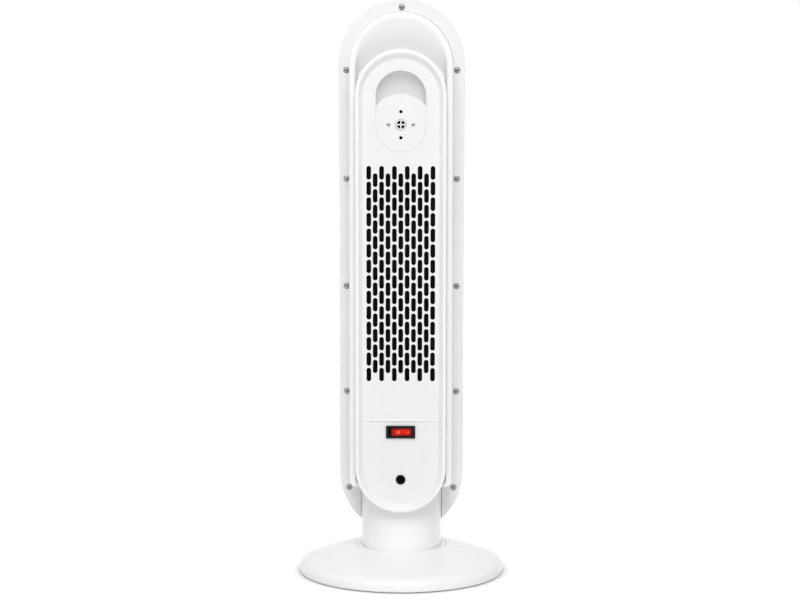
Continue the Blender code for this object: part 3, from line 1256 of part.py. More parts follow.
def switch_rocker():
    """A shallow V-topped rocker about an upright pivot, turned so that its right half is pressed in."""
    end_rise = ROCKER_CREST + ROCKER_HALF_LENGTH * math.tan(ROCKER_TILT)
    keel_half = ROCKER_HALF_LENGTH * ROCKER_KEEL_SHARE
    outline = [(-ROCKER_HALF_LENGTH, end_rise), (0, ROCKER_CREST), (ROCKER_HALF_LENGTH, end_rise),
               (ROCKER_HALF_LENGTH, 0), (keel_half, -ROCKER_KEEL), (-keel_half, -ROCKER_KEEL),
               (-ROCKER_HALF_LENGTH, 0)]
    cos_tilt = math.cos(ROCKER_TILT)
    sin_tilt = math.sin(ROCKER_TILT)
    pivot_y = FIELD_REAR + ROCKER_PIVOT_DEPTH
    turned_outline = [(along * cos_tilt + out * sin_tilt, pivot_y + along * sin_tilt - out * cos_tilt)
                      for along, out in outline]
    half = SWITCH_WELL_WIDTH / 2 - SEAT_GAP
    upright_prism("switch_rocker", turned_outline, SWITCH_HEIGHT - half, SWITCH_HEIGHT + half, red_lens(),
                  (0, pivot_y, SWITCH_HEIGHT))


def cord_gland():
    under = FIELD_REAR - SEAT_GAP
    front = under - GLAND_FLANGE_RISE
    profile = [(GLAND_BORE_RADIUS, front), (GLAND_FLANGE_RADIUS, front), (GLAND_FLANGE_RADIUS, under),
               (GLAND_BODY_RADIUS, under), (GLAND_BODY_RADIUS, front + GLAND_LENGTH),
               (GLAND_BORE_RADIUS, front + GLAND_LENGTH)]
    turned("cord_gland", profile, black_rubber(), centre=(0, 0, INLET_HEIGHT), along="Y",
           steps=2 * SMALL_ROUND_STEPS, closed=True)


def cord_clamp():
    low = INLET_HEIGHT + CLAMP_LIFT
    rear = FIELD_BACK + SEAT_GAP
    bridge = block("cord_clamp", (-CLAMP_LENGTH / 2, rear, low),
                   (CLAMP_LENGTH / 2, rear + CLAMP_DEPTH, low + CLAMP_WIDTH), dark_plastic())
    channel = turned("clamp_channel", [(GLAND_BORE_RADIUS, low - OVERRUN),
                                       (GLAND_BORE_RADIUS, low + CLAMP_WIDTH + OVERRUN)],
                     centre=(0, rear, 0))
    cut(bridge, channel)


# Blower


def blower_housing():
    low_plate = (HOUSING_BOTTOM, HOUSING_BOTTOM + HOUSING_PLATE)
    high_plate = (HOUSING_TOP - HOUSING_PLATE, HOUSING_TOP)
    corners = ((-HOUSING_HALF_WIDTH, HOUSING_REAR), (HOUSING_HALF_WIDTH, HOUSING_FRONT))
    housing = block("blower_housing", (*corners[0], low_plate[0]), (*corners[1], low_plate[1]),
                    dark_plastic())
    top = block("housing_top", (*corners[0], high_plate[0]), (*corners[1], high_plate[1]))
    wall_low = low_plate[1] - HOUSING_PLATE / 2
    wall_high = high_plate[0] + HOUSING_PLATE / 2
    steps = UPPER_ARC_STEPS // 2
    inner = []
    outer = []
    for step in range(steps + 1):
        share = step / steps
        angle = SCROLL_START_ANGLE + (SCROLL_END_ANGLE - SCROLL_START_ANGLE) * share
        radius = SCROLL_START_RADIUS + (SCROLL_END_RADIUS - SCROLL_START_RADIUS) * share
        wide = radius + SCROLL_WALL
        inner.append((radius * math.cos(angle), BLOWER_AXIS_Y + radius * math.sin(angle)))
        outer.append((wide * math.cos(angle), BLOWER_AXIS_Y + wide * math.sin(angle)))
    lip_y = HOUSING_FRONT - SCROLL_WALL / 2
    lip_x = HOUSING_HALF_WIDTH - SCROLL_WALL
    outline = inner + [(lip_x - SCROLL_WALL, lip_y), (lip_x, lip_y)] + outer[::-1]
    scroll = upright_prism("scroll_wall", outline, wall_low, wall_high)
    tongue = block("tongue_wall", (-TONGUE_X - SCROLL_WALL, TONGUE_REAR, wall_low),
                   (-TONGUE_X, lip_y, wall_high))
    shaft_profile = [(SHAFT_HOLE_RADIUS, low_plate[0] - OVERRUN), (SHAFT_HOLE_RADIUS, low_plate[1] + OVERRUN)]
    shaft = turned("shaft_hole", shaft_profile, centre=(0, BLOWER_AXIS_Y, 0))
    seat = BEARING_RADIUS + SEAT_GAP
    bearing = turned("bearing_hole", [(seat, high_plate[0] - OVERRUN), (seat, high_plate[1] + OVERRUN)],
                     centre=(0, BLOWER_AXIS_Y, 0), steps=2 * SMALL_ROUND_STEPS)
    add(housing, group("housing_walls", [scroll, tongue]), top)
    cut(housing, shaft, bearing)


def blower_motor():
    top = HOUSING_BOTTOM - SEAT_GAP
    bottom = top - MOTOR_HEIGHT
    profile = [(MOTOR_CAP_RADIUS, bottom - MOTOR_CAP_HEIGHT), (MOTOR_CAP_RADIUS, bottom),
               (MOTOR_RADIUS, bottom), (MOTOR_RADIUS, top)]
    turned("blower_motor", profile, motor_steel(), centre=(0, BLOWER_AXIS_Y, 0),
           steps=2 * SMALL_ROUND_STEPS)


def blower_bearing():
    bore = WHEEL_SHAFT_RADIUS + RUNNING_GAP
    flange_low = HOUSING_TOP + SEAT_GAP
    profile = [(bore, HOUSING_TOP - HOUSING_PLATE), (BEARING_RADIUS, HOUSING_TOP - HOUSING_PLATE),
               (BEARING_RADIUS, flange_low), (BEARING_FLANGE_RADIUS, flange_low),
               (BEARING_FLANGE_RADIUS, flange_low + BEARING_FLANGE_THICKNESS),
               (bore, flange_low + BEARING_FLANGE_THICKNESS)]
    turned("blower_bearing", profile, black_rubber(), centre=(0, BLOWER_AXIS_Y, 0),
           steps=2 * SMALL_ROUND_STEPS, closed=True)


def blower_wheel():
    axis = (0, BLOWER_AXIS_Y, 0)
    disc_top = WHEEL_BOTTOM + WHEEL_DISC_THICKNESS
    upper_disc = WHEEL_TOP - WHEEL_DISC_THICKNESS
    steps = 2 * SCREW_ROUND_STEPS
    shaft = WHEEL_SHAFT_RADIUS
    lower = [(shaft, HOUSING_BOTTOM), (shaft, WHEEL_BOTTOM), (WHEEL_RADIUS, WHEEL_BOTTOM),
             (WHEEL_RADIUS, disc_top), (WHEEL_HUB_RADIUS, disc_top),
             (WHEEL_HUB_RADIUS, disc_top + WHEEL_HUB_RADIUS)]
    upper = [(shaft, HOUSING_TOP + BEARING_FLANGE_THICKNESS), (shaft, WHEEL_TOP), (WHEEL_RADIUS, WHEEL_TOP),
             (WHEEL_RADIUS, upper_disc), (WHEEL_HUB_RADIUS, upper_disc),
             (WHEEL_HUB_RADIUS, upper_disc - WHEEL_HUB_RADIUS)]
    wheel = turned("blower_wheel", lower, dark_plastic(), centre=axis, steps=steps)
    top = turned("wheel_top", upper, centre=axis, steps=steps)
    middle = (WHEEL_BOTTOM + WHEEL_TOP) / 2
    band_inner = WHEEL_RADIUS - WHEEL_BLADE_DEPTH - WHEEL_DISC_THICKNESS
    band = [(WHEEL_RADIUS, middle), (WHEEL_RADIUS, middle + WHEEL_DISC_THICKNESS),
            (band_inner, middle + WHEEL_DISC_THICKNESS), (band_inner, middle)]
    ring = turned("wheel_ring", band, centre=axis, steps=steps, closed=True)
    half = WHEEL_BLADE_THICKNESS / 2
    long_half = WHEEL_BLADE_DEPTH / 2
    path_radius = WHEEL_RADIUS - long_half
    blades = []
    for number in range(WHEEL_BLADE_COUNT):
        angle = 2 * math.pi * number / WHEEL_BLADE_COUNT
        lean = angle + WHEEL_BLADE_ANGLE
        centre_x = path_radius * math.cos(angle)
        centre_y = BLOWER_AXIS_Y + path_radius * math.sin(angle)
        corners = ((long_half, half), (-long_half, half), (-long_half, -half), (long_half, -half))
        outline = [(centre_x + a * math.cos(lean) - b * math.sin(lean),
                    centre_y + a * math.sin(lean) + b * math.cos(lean)) for a, b in corners]
        blades.append(upright_prism("wheel_blade", outline, disc_top - WHEEL_DISC_THICKNESS / 2,
                                    upper_disc + WHEEL_DISC_THICKNESS / 2))
    add(wheel, group("wheel_blades", blades), group("wheel_rings", [top, ring]))


# Heater


def rectangle(half_width, bottom, top):
    return [(half_width, bottom), (half_width, top), (-half_width, top), (-half_width, bottom)]


def heater_frame():
    outer = rectangle(HEATER_FRAME_HALF_WIDTH, HEATER_FRAME_BOTTOM, HEATER_FRAME_TOP)
    wall = HEATER_FRAME_WALL
    inner = rectangle(HEATER_FRAME_HALF_WIDTH - wall, HEATER_FRAME_BOTTOM + wall, HEATER_FRAME_TOP - wall)
    rings = [at_depth(outer, HEATER_FRAME_REAR), at_depth(outer, HEATER_FRAME_FRONT),
             at_depth(inner, HEATER_FRAME_FRONT), at_depth(inner, HEATER_FRAME_REAR)]
    loft("heater_frame", rings, black_plastic(), closed=True)


def heater_core():
    edge = HEATER_FRAME_WALL + SEAT_GAP
    half = HEATER_FRAME_HALF_WIDTH - edge
    bottom = HEATER_FRAME_BOTTOM + edge
    top = HEATER_FRAME_TOP - edge
    middle = (HEATER_FRAME_REAR + HEATER_FRAME_FRONT) / 2
    rear = middle - CORE_THICKNESS / 2
    front = middle + CORE_THICKNESS / 2
    core = rear_prism("heater_core", rectangle(half, bottom, top), rear, front, aluminium())
    pitch = (top - bottom - FIN_WALL) / FIN_ROWS
    inner_half = CORE_SPINE / 2
    outer_half = half - FIN_WALL
    outlines = []
    for row in range(FIN_ROWS):
        low = bottom + FIN_WALL + row * pitch
        high = low + pitch - FIN_WALL
        outlines.append([(inner_half, low), (outer_half, low), (outer_half, high), (inner_half, high)])
        outlines.append([(-outer_half, low), (-inner_half, low), (-inner_half, high), (-outer_half, high)])
    cut(core, prisms("air_passages", outlines, rear - OVERRUN, front + OVERRUN))


def thermal_cutout():
    low = HEATER_FRAME_TOP + SEAT_GAP
    high = low + CUTOUT_TAB_THICKNESS
    centre_y = (HEATER_FRAME_REAR + HEATER_FRAME_FRONT) / 2
    tab = block("thermal_cutout", (-CUTOUT_TAB_LENGTH / 2, centre_y - CUTOUT_TAB_WIDTH / 2, low),
                (CUTOUT_TAB_LENGTH / 2, centre_y + CUTOUT_TAB_WIDTH / 2, high), motor_steel())
    profile = [(CUTOUT_RADIUS, low + CUTOUT_TAB_THICKNESS / 2), (CUTOUT_RADIUS, high + CUTOUT_HEIGHT)]
    add(tab, turned("cutout_can", profile, centre=(0, centre_y, 0), steps=2 * SMALL_ROUND_STEPS))


# Front: outlet grille, control panel and boards


def outlet_outline(inset):
    return rounded_rectangle(OUTLET_HALF_WIDTH - inset, OUTLET_BOTTOM + inset, OUTLET_TOP - inset,
                             OUTLET_CORNER_RADIUS - inset)


def control_outline(inset):
    return rounded_rectangle(CONTROL_HALF_WIDTH - inset, CONTROL_BOTTOM + inset, CONTROL_TOP - inset,
                             CONTROL_CORNER_RADIUS - inset)


def outlet_grille():
    face = BODY_FRONT + GRILLE_FACE_RISE
    flange_front = FRONT_INSIDE - SEAT_GAP
    rear = HEATER_FRAME_FRONT + SEAT_GAP
    opening = outlet_outline(SEAT_GAP + GRILLE_BORDER)
    body = outlet_outline(SEAT_GAP)
    flange = outlet_outline(-GRILLE_FLANGE_WIDTH)
    rings = [at_depth(opening, face), at_depth(body, face), at_depth(body, flange_front),
             at_depth(flange, flange_front), at_depth(flange, rear), at_depth(opening, rear)]
    grille = loft("outlet_grille", rings, dark_plastic(), closed=True)
    reach = OUTLET_HALF_WIDTH - GRILLE_BORDER + SEAT_GAP
    low = OUTLET_BOTTOM + GRILLE_BORDER
    high = OUTLET_TOP - GRILLE_BORDER
    pitch = (high - low) / (LOUVRE_COUNT + 1)
    middle_y = (flange_front + face) / 2 - LOUVRE_THICKNESS
    half = LOUVRE_DEPTH / 2
    thin = LOUVRE_THICKNESS / 2
    cos_tilt = math.cos(LOUVRE_TILT)
    sin_tilt = math.sin(LOUVRE_TILT)
    corners = ((half, thin), (-half, thin), (-half, -thin), (half, -thin))
    slats = []
    for number in range(1, LOUVRE_COUNT + 1):
        height = low + number * pitch
        section = [(middle_y + a * cos_tilt - b * sin_tilt, height + a * sin_tilt + b * cos_tilt)
                   for a, b in corners]
        ends = [[(x, y, z) for y, z in section] for x in (-reach, reach)]
        slats.append(loft("louvre", ends))
    rib_half = GRILLE_RIB_WIDTH / 2
    rib = block("grille_rib", (-rib_half, rear + SEAT_GAP, low - GRILLE_BORDER / 2),
                (rib_half, middle_y, high + GRILLE_BORDER / 2))
    add(grille, group("louvres", slats), rib)


def control_panel():
    face = BODY_FRONT + CONTROL_FACE_RISE
    flange_front = FRONT_INSIDE - SEAT_GAP
    flange_rear = flange_front - GRILLE_FLANGE_WIDTH / 2
    pocket = control_outline(SEAT_GAP + CONTROL_RAIL)
    body = control_outline(SEAT_GAP)
    flange = control_outline(-GRILLE_FLANGE_WIDTH)
    rear = face - CONTROL_DEPTH
    rings = [at_depth(pocket, face - CONTROL_THICKNESS), at_depth(pocket, rear), at_depth(body, rear),
             at_depth(body, flange_rear), at_depth(flange, flange_rear), at_depth(flange, flange_front),
             at_depth(body, flange_front), at_depth(body, face)]
    panel = loft("control_panel", rings, black_plastic())
    gap = RUNNING_GAP
    holes = [moved_outline(circle(BUTTON_RADIUS + gap, SMALL_ROUND_STEPS), x, BUTTON_HEIGHT)
             for x in button_places()]
    window = rounded_rectangle_about(DISPLAY_LENGTH / 2, DISPLAY_WIDTH / 2, DISPLAY_HEIGHT, DISPLAY_LIP)
    openings = prisms("control_openings", holes + [window], face - CONTROL_THICKNESS - OVERRUN,
                      face + OVERRUN)
    cut(panel, openings)


def display_window():
    face = BODY_FRONT + CONTROL_FACE_RISE
    outline = rounded_rectangle_about(DISPLAY_LENGTH / 2 - SEAT_GAP, DISPLAY_WIDTH / 2 - SEAT_GAP,
                                      DISPLAY_HEIGHT, DISPLAY_LIP)
    rear_prism("display_window", outline, face - CONTROL_THICKNESS, face, smoked_window())


def button_places():
    return [(number - (BUTTON_COUNT - 1) / 2) * BUTTON_PITCH for number in range(BUTTON_COUNT)]


def button_flange_span():
    """The rear and front of a button's flange, which stops behind the control panel's plate."""
    front = BODY_FRONT + CONTROL_FACE_RISE - CONTROL_THICKNESS - SEAT_GAP
    return front - BUTTON_FLANGE_THICKNESS, front


def buttons():
    face = BODY_FRONT + CONTROL_FACE_RISE + BUTTON_RISE
    flange_rear, flange_front = button_flange_span()
    round_edge = BUTTON_RISE / 3
    profile = [(BUTTON_FLANGE_RADIUS, flange_rear), (BUTTON_FLANGE_RADIUS, flange_front),
               (BUTTON_RADIUS, flange_front), (BUTTON_RADIUS, face - round_edge),
               (BUTTON_RADIUS - round_edge, face)]
    for number, x in enumerate(button_places(), 1):
        turned(f"control_button_{number}", profile, dark_plastic(), centre=(x, 0, BUTTON_HEIGHT), along="Y")


def control_board():
    front = button_flange_span()[0] - BUTTON_TRAVEL - SEAT_GAP
    outline = control_outline(CONTROL_RAIL + 2 * SEAT_GAP)
    rear_prism("control_board", outline, front - BOARD_THICKNESS, front, board_green())


def standoff_places():
    across = POWER_BOARD_HALF_WIDTH - STANDOFF_INSET
    low = POWER_BOARD_BOTTOM + STANDOFF_INSET
    high = POWER_BOARD_TOP - STANDOFF_INSET
    return [(-across, low), (across, low), (-across, high), (across, high)]


def power_board():
    rear = POWER_BOARD_REAR
    outline = rectangle(POWER_BOARD_HALF_WIDTH, POWER_BOARD_BOTTOM, POWER_BOARD_TOP)
    board = rear_prism("power_board", outline, rear, rear + BOARD_THICKNESS, board_green())
    base = rear + BOARD_THICKNESS / 2
    low = POWER_BOARD_BOTTOM + 2 * STANDOFF_INSET
    relays = [block("relay", (side - RELAY_WIDTH / 2, rear - RELAY_HEIGHT, low),
                    (side + RELAY_WIDTH / 2, base, low + RELAY_LENGTH))
              for side in (-RELAY_LENGTH, 0, RELAY_LENGTH)]
    add(board, group("relays", relays))


def tilt_switch():
    low = NECK_TOP + SEAT_GAP
    block("tilt_switch", (TILT_OFFSET - TILT_LENGTH / 2, -TILT_WIDTH / 2, low),
          (TILT_OFFSET + TILT_LENGTH / 2, TILT_WIDTH / 2, low + TILT_HEIGHT), black_plastic())


def build_base():
    holes = base_pilot_holes()
    base_cover(holes)
    base_plate(holes)
    rubber_feet()
    base_screws()
    swing_gear()
    slide_ring()


def build_neck():
    notch = shaft_notch()
    holes = retainer_holes()
    swivel_retainer(notch, holes)
    retainer_screws()
    swing_motor()
    swing_pinion()
    screw_holes = ear_holes()
    neck_column(notch, holes, screw_holes)
    neck_screws()
    return screw_holes


def build_tower(screw_holes):
    pilot_holes = casing_pilot_holes()
    cutter = neck_cutter()
    front_shell(pilot_holes, cutter, screw_holes)
    rear_shell(pilot_holes, cutter)
    casing_screws()
    plate_holes = plate_holes_cutter()
    rear_panel(cutter, plate_holes)
    sensor_plate(plate_holes)
    sensor_port()
    thermistor()
    sensor_screws()
    switch_housing()
    switch_rocker()
    cord_gland()
    cord_clamp()


def build_inside():
    blower_housing()
    blower_motor()
    blower_bearing()
    blower_wheel()
    heater_frame()
    heater_core()
    thermal_cutout()
    power_board()
    tilt_switch()


def build_front():
    outlet_grille()
    control_panel()
    display_window()
    buttons()
    control_board()


def main():
    clear_scene()
    build_base()
    build_tower(build_neck())
    build_inside()
    build_front()


main()
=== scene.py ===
"""Looks of a white tower fan heater on a swivelling base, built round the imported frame.

The frame gives every node at its real place in metres: +Z up, -Y the rear that the camera sees, +Y the
front with the warm air outlet. Each surface here is a function of two parameters worked out with numpy.
"""

import json
import math

import bmesh
import bpy
import numpy as np
from mathutils import Matrix, Vector

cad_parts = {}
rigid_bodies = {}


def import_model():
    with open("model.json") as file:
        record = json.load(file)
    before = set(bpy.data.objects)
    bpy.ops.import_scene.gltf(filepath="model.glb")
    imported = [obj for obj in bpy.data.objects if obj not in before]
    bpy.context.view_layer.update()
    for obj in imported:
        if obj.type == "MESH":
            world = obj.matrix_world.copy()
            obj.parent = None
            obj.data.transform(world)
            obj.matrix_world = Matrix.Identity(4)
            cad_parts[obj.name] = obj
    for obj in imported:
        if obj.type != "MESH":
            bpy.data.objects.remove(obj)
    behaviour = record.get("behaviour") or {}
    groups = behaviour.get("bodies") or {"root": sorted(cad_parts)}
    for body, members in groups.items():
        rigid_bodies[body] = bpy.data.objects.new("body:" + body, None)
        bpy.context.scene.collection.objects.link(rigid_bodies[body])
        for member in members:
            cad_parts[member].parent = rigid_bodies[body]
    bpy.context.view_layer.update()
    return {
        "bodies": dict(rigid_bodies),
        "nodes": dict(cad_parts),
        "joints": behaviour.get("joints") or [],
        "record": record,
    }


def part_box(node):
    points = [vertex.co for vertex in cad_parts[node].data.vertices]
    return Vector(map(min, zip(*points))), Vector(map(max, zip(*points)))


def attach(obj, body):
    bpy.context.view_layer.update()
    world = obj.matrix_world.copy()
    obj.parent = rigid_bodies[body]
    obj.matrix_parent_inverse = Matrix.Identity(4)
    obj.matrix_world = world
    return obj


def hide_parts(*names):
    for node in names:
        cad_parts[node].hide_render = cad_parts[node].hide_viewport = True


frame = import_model()
NODES = frame["nodes"]

# Fineness of the surfaces
ARC_POINTS = 72
SIDE_POINTS = 10
TURN_POINTS = 192
SMALL_TURN_POINTS = 48
FILLET_POINTS = 6
SLOT_END_POINTS = 10
SMALL_EDGE_POINTS = 4
FRONT_ROUND_POINTS = 24
SCOOP_POINTS = 18
BEVEL_MIDDLE = 0.3
SHARP_ANGLE = math.radians(40)
OVERRUN = 0.001

# Tower body outline
BODY_LOW, BODY_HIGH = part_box("front_shell")
BODY_HALF_WIDTH = 0.0672
BODY_TOP = 0.6200
BODY_UPPER_RISE = 0.0690
BODY_LOWER_CENTRE = 0.1100
BODY_LOWER_RISE = 0.0700
BODY_FRONT = BODY_HIGH[1]
SHELL_REAR = BODY_LOW[1]
SHELL_WALL = 0.0025
FLANGE_THICKNESS = 0.0025
FLANGE_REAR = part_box("rear_shell")[1][1] - FLANGE_THICKNESS
FRONT_ROUND = 0.0160

# Rear casing: tub, rim band and bowl
TUB_HALF_WIDTH = 0.0557
TUB_TOP = 0.6084
TUB_UPPER_RISE = 0.0580
TUB_DRAFT = 0.0010
TUB_RIM_REAR = -0.0470
TUB_RIM_ROUND = 0.0012
RIM_BAND_WIDTH = 0.0062
BOWL_DEPTH = 0.0100
TUB_WALL = 0.0022
TUB_CORNER_HEIGHT = 0.1015
TUB_CORNER_RADIUS = 0.0060
TUB_LOWER_RADIUS = 0.0463
LEDGE_HALF_WIDTH = 0.0360

# Rear panel
PANEL_HALF_WIDTH = 0.0483
PANEL_TOP = 0.5688
PANEL_BOTTOM = 0.0753
PANEL_CROWN_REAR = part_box("rear_panel")[0][1]
PANEL_CROWN_WIDTH = 0.0032
PANEL_CROWN_ROUND = 0.0012
PANEL_FIELD_DEPTH = 0.0045
PANEL_SLOPE_SIDE = 0.0050
PANEL_SLOPE_TOP = 0.0070
PANEL_SLOPE_BOTTOM = 0.0060
PANEL_SKIRT_INSET = 0.0050
PANEL_SKIRT_WALL = 0.0020
PANEL_LIP = 0.0038
PANEL_LIP_EDGE = 0.0003
PANEL_WALL = 0.0022
FIELD_REAR = PANEL_CROWN_REAR + PANEL_FIELD_DEPTH
FIELD_BACK = FIELD_REAR + PANEL_WALL
CUT_START = FIELD_REAR - OVERRUN
PANEL_CENTRE_LOW = PANEL_BOTTOM + PANEL_HALF_WIDTH

# Rear casing details
FLANGE_EDGE_ROUND = 0.0006
BAND_EDGE_ROUND = 0.0008
BOWL_FLOOR = TUB_RIM_REAR + BOWL_DEPTH
BOWL_SLOPE_WIDTH = 0.0022
COVE_SPAN = (0.5300, 0.5860)
BOWL_POWER = 1.35
COVE_ROWS = 13
COVE_REACH = 0.9
BOWL_RAMP_SIDE = 0.0045
BOWL_RAMP_TOP = 0.0030
BOWL_RAMP_BOTTOM = 0.0075
SEAT_GAP = 0.0003
RUNNING_GAP = 0.0004
CASING_SCREW_COUNT = 11
SCREW_LIFT = 0.0002

# Openings of the front casing
OUTLET_HALF_WIDTH = 0.0360
OUTLET_SPAN = (0.1700, 0.4950)
OUTLET_CORNER = 0.0080
CONTROL_HALF_WIDTH = 0.0300
CONTROL_SPAN = (0.5130, 0.5750)
CONTROL_CORNER = 0.0100
OPENING_EDGE = 0.0006

# Slots, recess and rib of the rear panel
SLOPE_ROWS = 12
SLOPE_EASE = 0.6
FIELD_LEVEL_WIDTH = 0.0006
SLOT_COLUMNS = 11
SLOT_ROWS = 14
SLOT_FIELD_TOP = 0.4464
SLOT_COLUMN_PITCH = 0.00677
SLOT_ROW_PITCH = 0.016539
SLOT_WIDTH = 0.0049
SLOT_LENGTH = 0.014599
SLOT_OFFSET_DROP = 0.0078
SLOT_EDGE = 0.0003
RECESS_HALF_WIDTH = 0.0263
RECESS_TOP = 0.5462
RECESS_BOTTOM = 0.4611
RECESS_WALL = 0.0020
SCOOP_DEPTH = 0.0155
SCOOP_EDGE = 0.0006
SCOOP_ROUND = 0.0190
PLATE_THICKNESS = 0.0020
PLATE_ARC_RADIUS = 0.0328
COVER_EDGE = 0.00015
COVER_GAP = 0.00012
PORT_HEIGHT = 0.4898
PORT_RING_RADIUS = 0.0057
PORT_OPEN_RADIUS = 0.0044
PORT_BAR_WIDTH = 0.0013
PORT_DEPTH = 0.0045
PORT_RISE = 0.0003
PORT_EDGE = 0.0003
SMALL_HOLE_RADIUS = 0.0018
SMALL_HOLE_OFFSET = 0.0137
SENSOR_SCREW_OFFSET = 0.0131
SCREW_HOLE_RADIUS = 0.0018
RIB_HEIGHT = 0.1745
RIB_HALF_LENGTH = 0.0428
RIB_WIDTH = 0.0022
RIB_RISE = 0.0011
RIB_STATIONS = 41
RIB_END_POWER = 8
RIB_END_RISE = 0.02
RIB_SECTION_POWER = 0.7

# Switch and cord inlet
SWITCH_HEIGHT = 0.1623
SWITCH_BODY_LENGTH = 0.0272
SWITCH_BODY_WIDTH = 0.0112
INLET_HEIGHT = 0.1106
GLAND_BODY_RADIUS = 0.0044

# Neck and base
NECK_RADIUS = 0.0436
NECK_WALL = 0.0025
NECK_TOP = 0.1000
NECK_TOP_HOLE_RADIUS = 0.0120
NECK_FOOT_HEIGHT = 0.0298
NECK_DISC_UNDERSIDE = 0.0243
NECK_FLOOR = 0.0268
NECK_FLOOR_HOLE_RADIUS = 0.0275
NECK_GROOVE = 0.0010
NECK_UNDER_ROUND = 0.0002
NECK_COLLAR_ROUND = 0.0006
NECK_TOP_ROUND = 0.0010
NECK_EAR_REAR = 0.0080
NECK_EAR_FRONT = 0.0240
NECK_EAR_THICKNESS = 0.0030
NECK_EAR_DROP = 0.0015
NECK_EAR_REACH = 0.0565
SEAM_RADIUS = 0.0491
SEAM_HEIGHT = 0.0293
SHELF_TOP = 0.0225
SHELF_THICKNESS = 0.0025
SHELF_HOLE_RADIUS = 0.0350
BASE_RADIUS = 0.1114
BASE_UNDERSIDE = 0.0012
BASE_WALL_TOP = 0.0085
BASE_WALL = 0.0025
BASE_FOOT_INSET = 0.0006
BASE_FOOT_RISE = 0.0008
BASE_FOOT_ROUNDS = (0.0002, 0.0005)
CREASE_RADIUS = 0.1000
CREASE_HEIGHT = 0.0161
SHOULDER_RADIUS = 0.1075
SHOULDER_HEIGHT = 0.0134
CONE_MIDDLE_RADIUS = 0.0780
CONE_MIDDLE_HEIGHT = 0.0235
BASE_EDGE_ROUND = 0.0009
SHOULDER_ROUND = 0.0040
CREASE_ROUND = 0.0007
CONE_ROUND = 0.0200
SEAM_EDGE_ROUND = 0.0006

# Floor and light
FLOOR_ALBEDO = 0.82
FLOOR_MOTTLE = 0.995
FLOOR_MOTTLE_SCALE = 9.0
FLOOR_ROUGHNESS = 0.9
# The floor's glow is low close round the base and rises outwards: painted darkening round the base's foot.
FLOOR_GLOW_NEAR = 0.15
FLOOR_GLOW_FAR = 0.80
FLOOR_GLOW_SPAN = (0.1115, 0.1350)
FLOOR_RADIUS = 6.0
FLOOR_GAP = 0.0002
DOME_SIDE = 0.27
DOME_END = 0.685
DOME_SPAN = (0.15, 0.95)
LAMPS = (("low_lamp", (0.0, -2.8, 2.4), (0.0, 0.0, 0.35), 1.4, 42.0),
         ("key_lamp", (0.1, -2.0, 3.2), (0.0, 0.0, 0.35), 1.4, 19.0))

# Screws
SCREW_SEED = 11
SCREW_TURN_DRAWS = 16
SCREW_CROWN = 0.0004
SCREW_DOME_POWER = 0.5
SCREW_BRIM_SHARE = 0.25
SCREW_TIP_RADIUS_SHARE = 0.6
SCREW_TIP_ENDS = (0.4, 1.4)
SCREW_SHANK_RADIUS = 0.0014
SCREW_HEAD_RADIUS = 0.0028
SCREW_HEAD_RISE = 0.0014
SCREW_LENGTH = 0.0100
SCREW_CROSS_LENGTH = 1.15
SCREW_CROSS_WIDTH = 0.0010
SCREW_CROSS_FOOT = 0.45
# A dark disc under each casing screw's head: painted shadow in the gap round it.
SCREW_SHADOW_RADIUS = 0.0032
SCREW_SHADOW_THICKNESS = 0.0004
SCREW_HUB_RADIUS = 0.0016
SCREW_HUB_RISE = 0.0006
SCREW_CROSS_DEPTH = 0.0018
SMALL_SCREW_HEAD = 0.0025
SMALL_SCREW_RISE = 0.0008
SMALL_SCREW_LENGTH = 0.0050
COVER_SCREW_LIFT = 0.0001
COVER_SCREW_TURN = 0.12
BASE_SCREW_COUNT = 3
BASE_SCREW_SEAT = 0.0017

# Rocker switch, cord inlet and filter
BEZEL_LENGTH = 0.0312
BEZEL_WIDTH = 0.0134
BEZEL_RISE = 0.0020
BEZEL_CORNER = 0.0008
BEZEL_EDGE = 0.0006
BEZEL_RIM = 0.0008
SWITCH_BODY_CORNER = 0.0004
SWITCH_BODY_DEPTH = 0.0180
SWITCH_WELL_LENGTH = 0.0252
SWITCH_WELL_WIDTH = 0.0094
SWITCH_WELL_DEPTH = 0.0138
ROCKER_HALF_LENGTH = 0.0112
ROCKER_PIVOT_DEPTH = 0.0040
ROCKER_CREST = 0.0052
ROCKER_KEEL = 0.0030
ROCKER_KEEL_SHARE = 0.6
ROCKER_TILT = math.radians(8)
ROCKER_VALLEY = 0.0012
ROCKER_EDGE = 0.0007
ROCKER_STATIONS = 31
ROCKER_END_STATIONS = 3
LENS_GLOW_ACROSS = (0.0018, 0.0044)
LENS_GLOW_LEFT = (-0.0112, -0.0050)
LENS_GLOW_RIGHT = (0.0082, 0.0112)
MARK_RING_RADIUS = 0.00125
MARK_RING_PLACE = -0.0032
MARK_BAR_PLACE = 0.0072
MARK_BAR_HALF = 0.0013
MARK_LINE = 0.00045
MARK_SECTION_POINTS = 8
MARK_STATIONS = 13
MARK_END_POWER = 8
MARK_END_SHARE = 0.02
GLAND_BORE_RADIUS = 0.0034
GLAND_FLANGE_RADIUS = 0.0052
GLAND_FLANGE_RISE = 0.0008
GLAND_LENGTH = 0.0095
GLAND_MOUTH_EDGE = 0.0006
GLAND_EDGE_ROUND = 0.0003
GLAND_FLANGE_ROUND = 0.0005
GLAND_THROAT = 0.0022
GLAND_THROAT_CENTRE = 0.2 * GLAND_BORE_RADIUS
GLAND_THROAT_DISH = 0.0004
GLAND_THROAT_THICKNESS = 0.0010
FILTER_HALF_WIDTH = 0.0385
FILTER_SPAN = (0.2080, 0.4560)
FILTER_CORNER = 0.0060
FILTER_GAP = 0.0012
FILTER_THICKNESS = 0.0060
FILTER_EDGE = 0.0006
SHADE_PIECE_GAP = 0.0001
HOLE_SHADE_THICKNESS = 0.00015
HOLE_SHADE_RADIUS = 0.0165
PORT_SHADE_THICKNESS = 0.0004
PORT_SHADE_CROWN = 0.0002
FOOT_COUNT = 4
FOOT_RADIUS = 0.0080
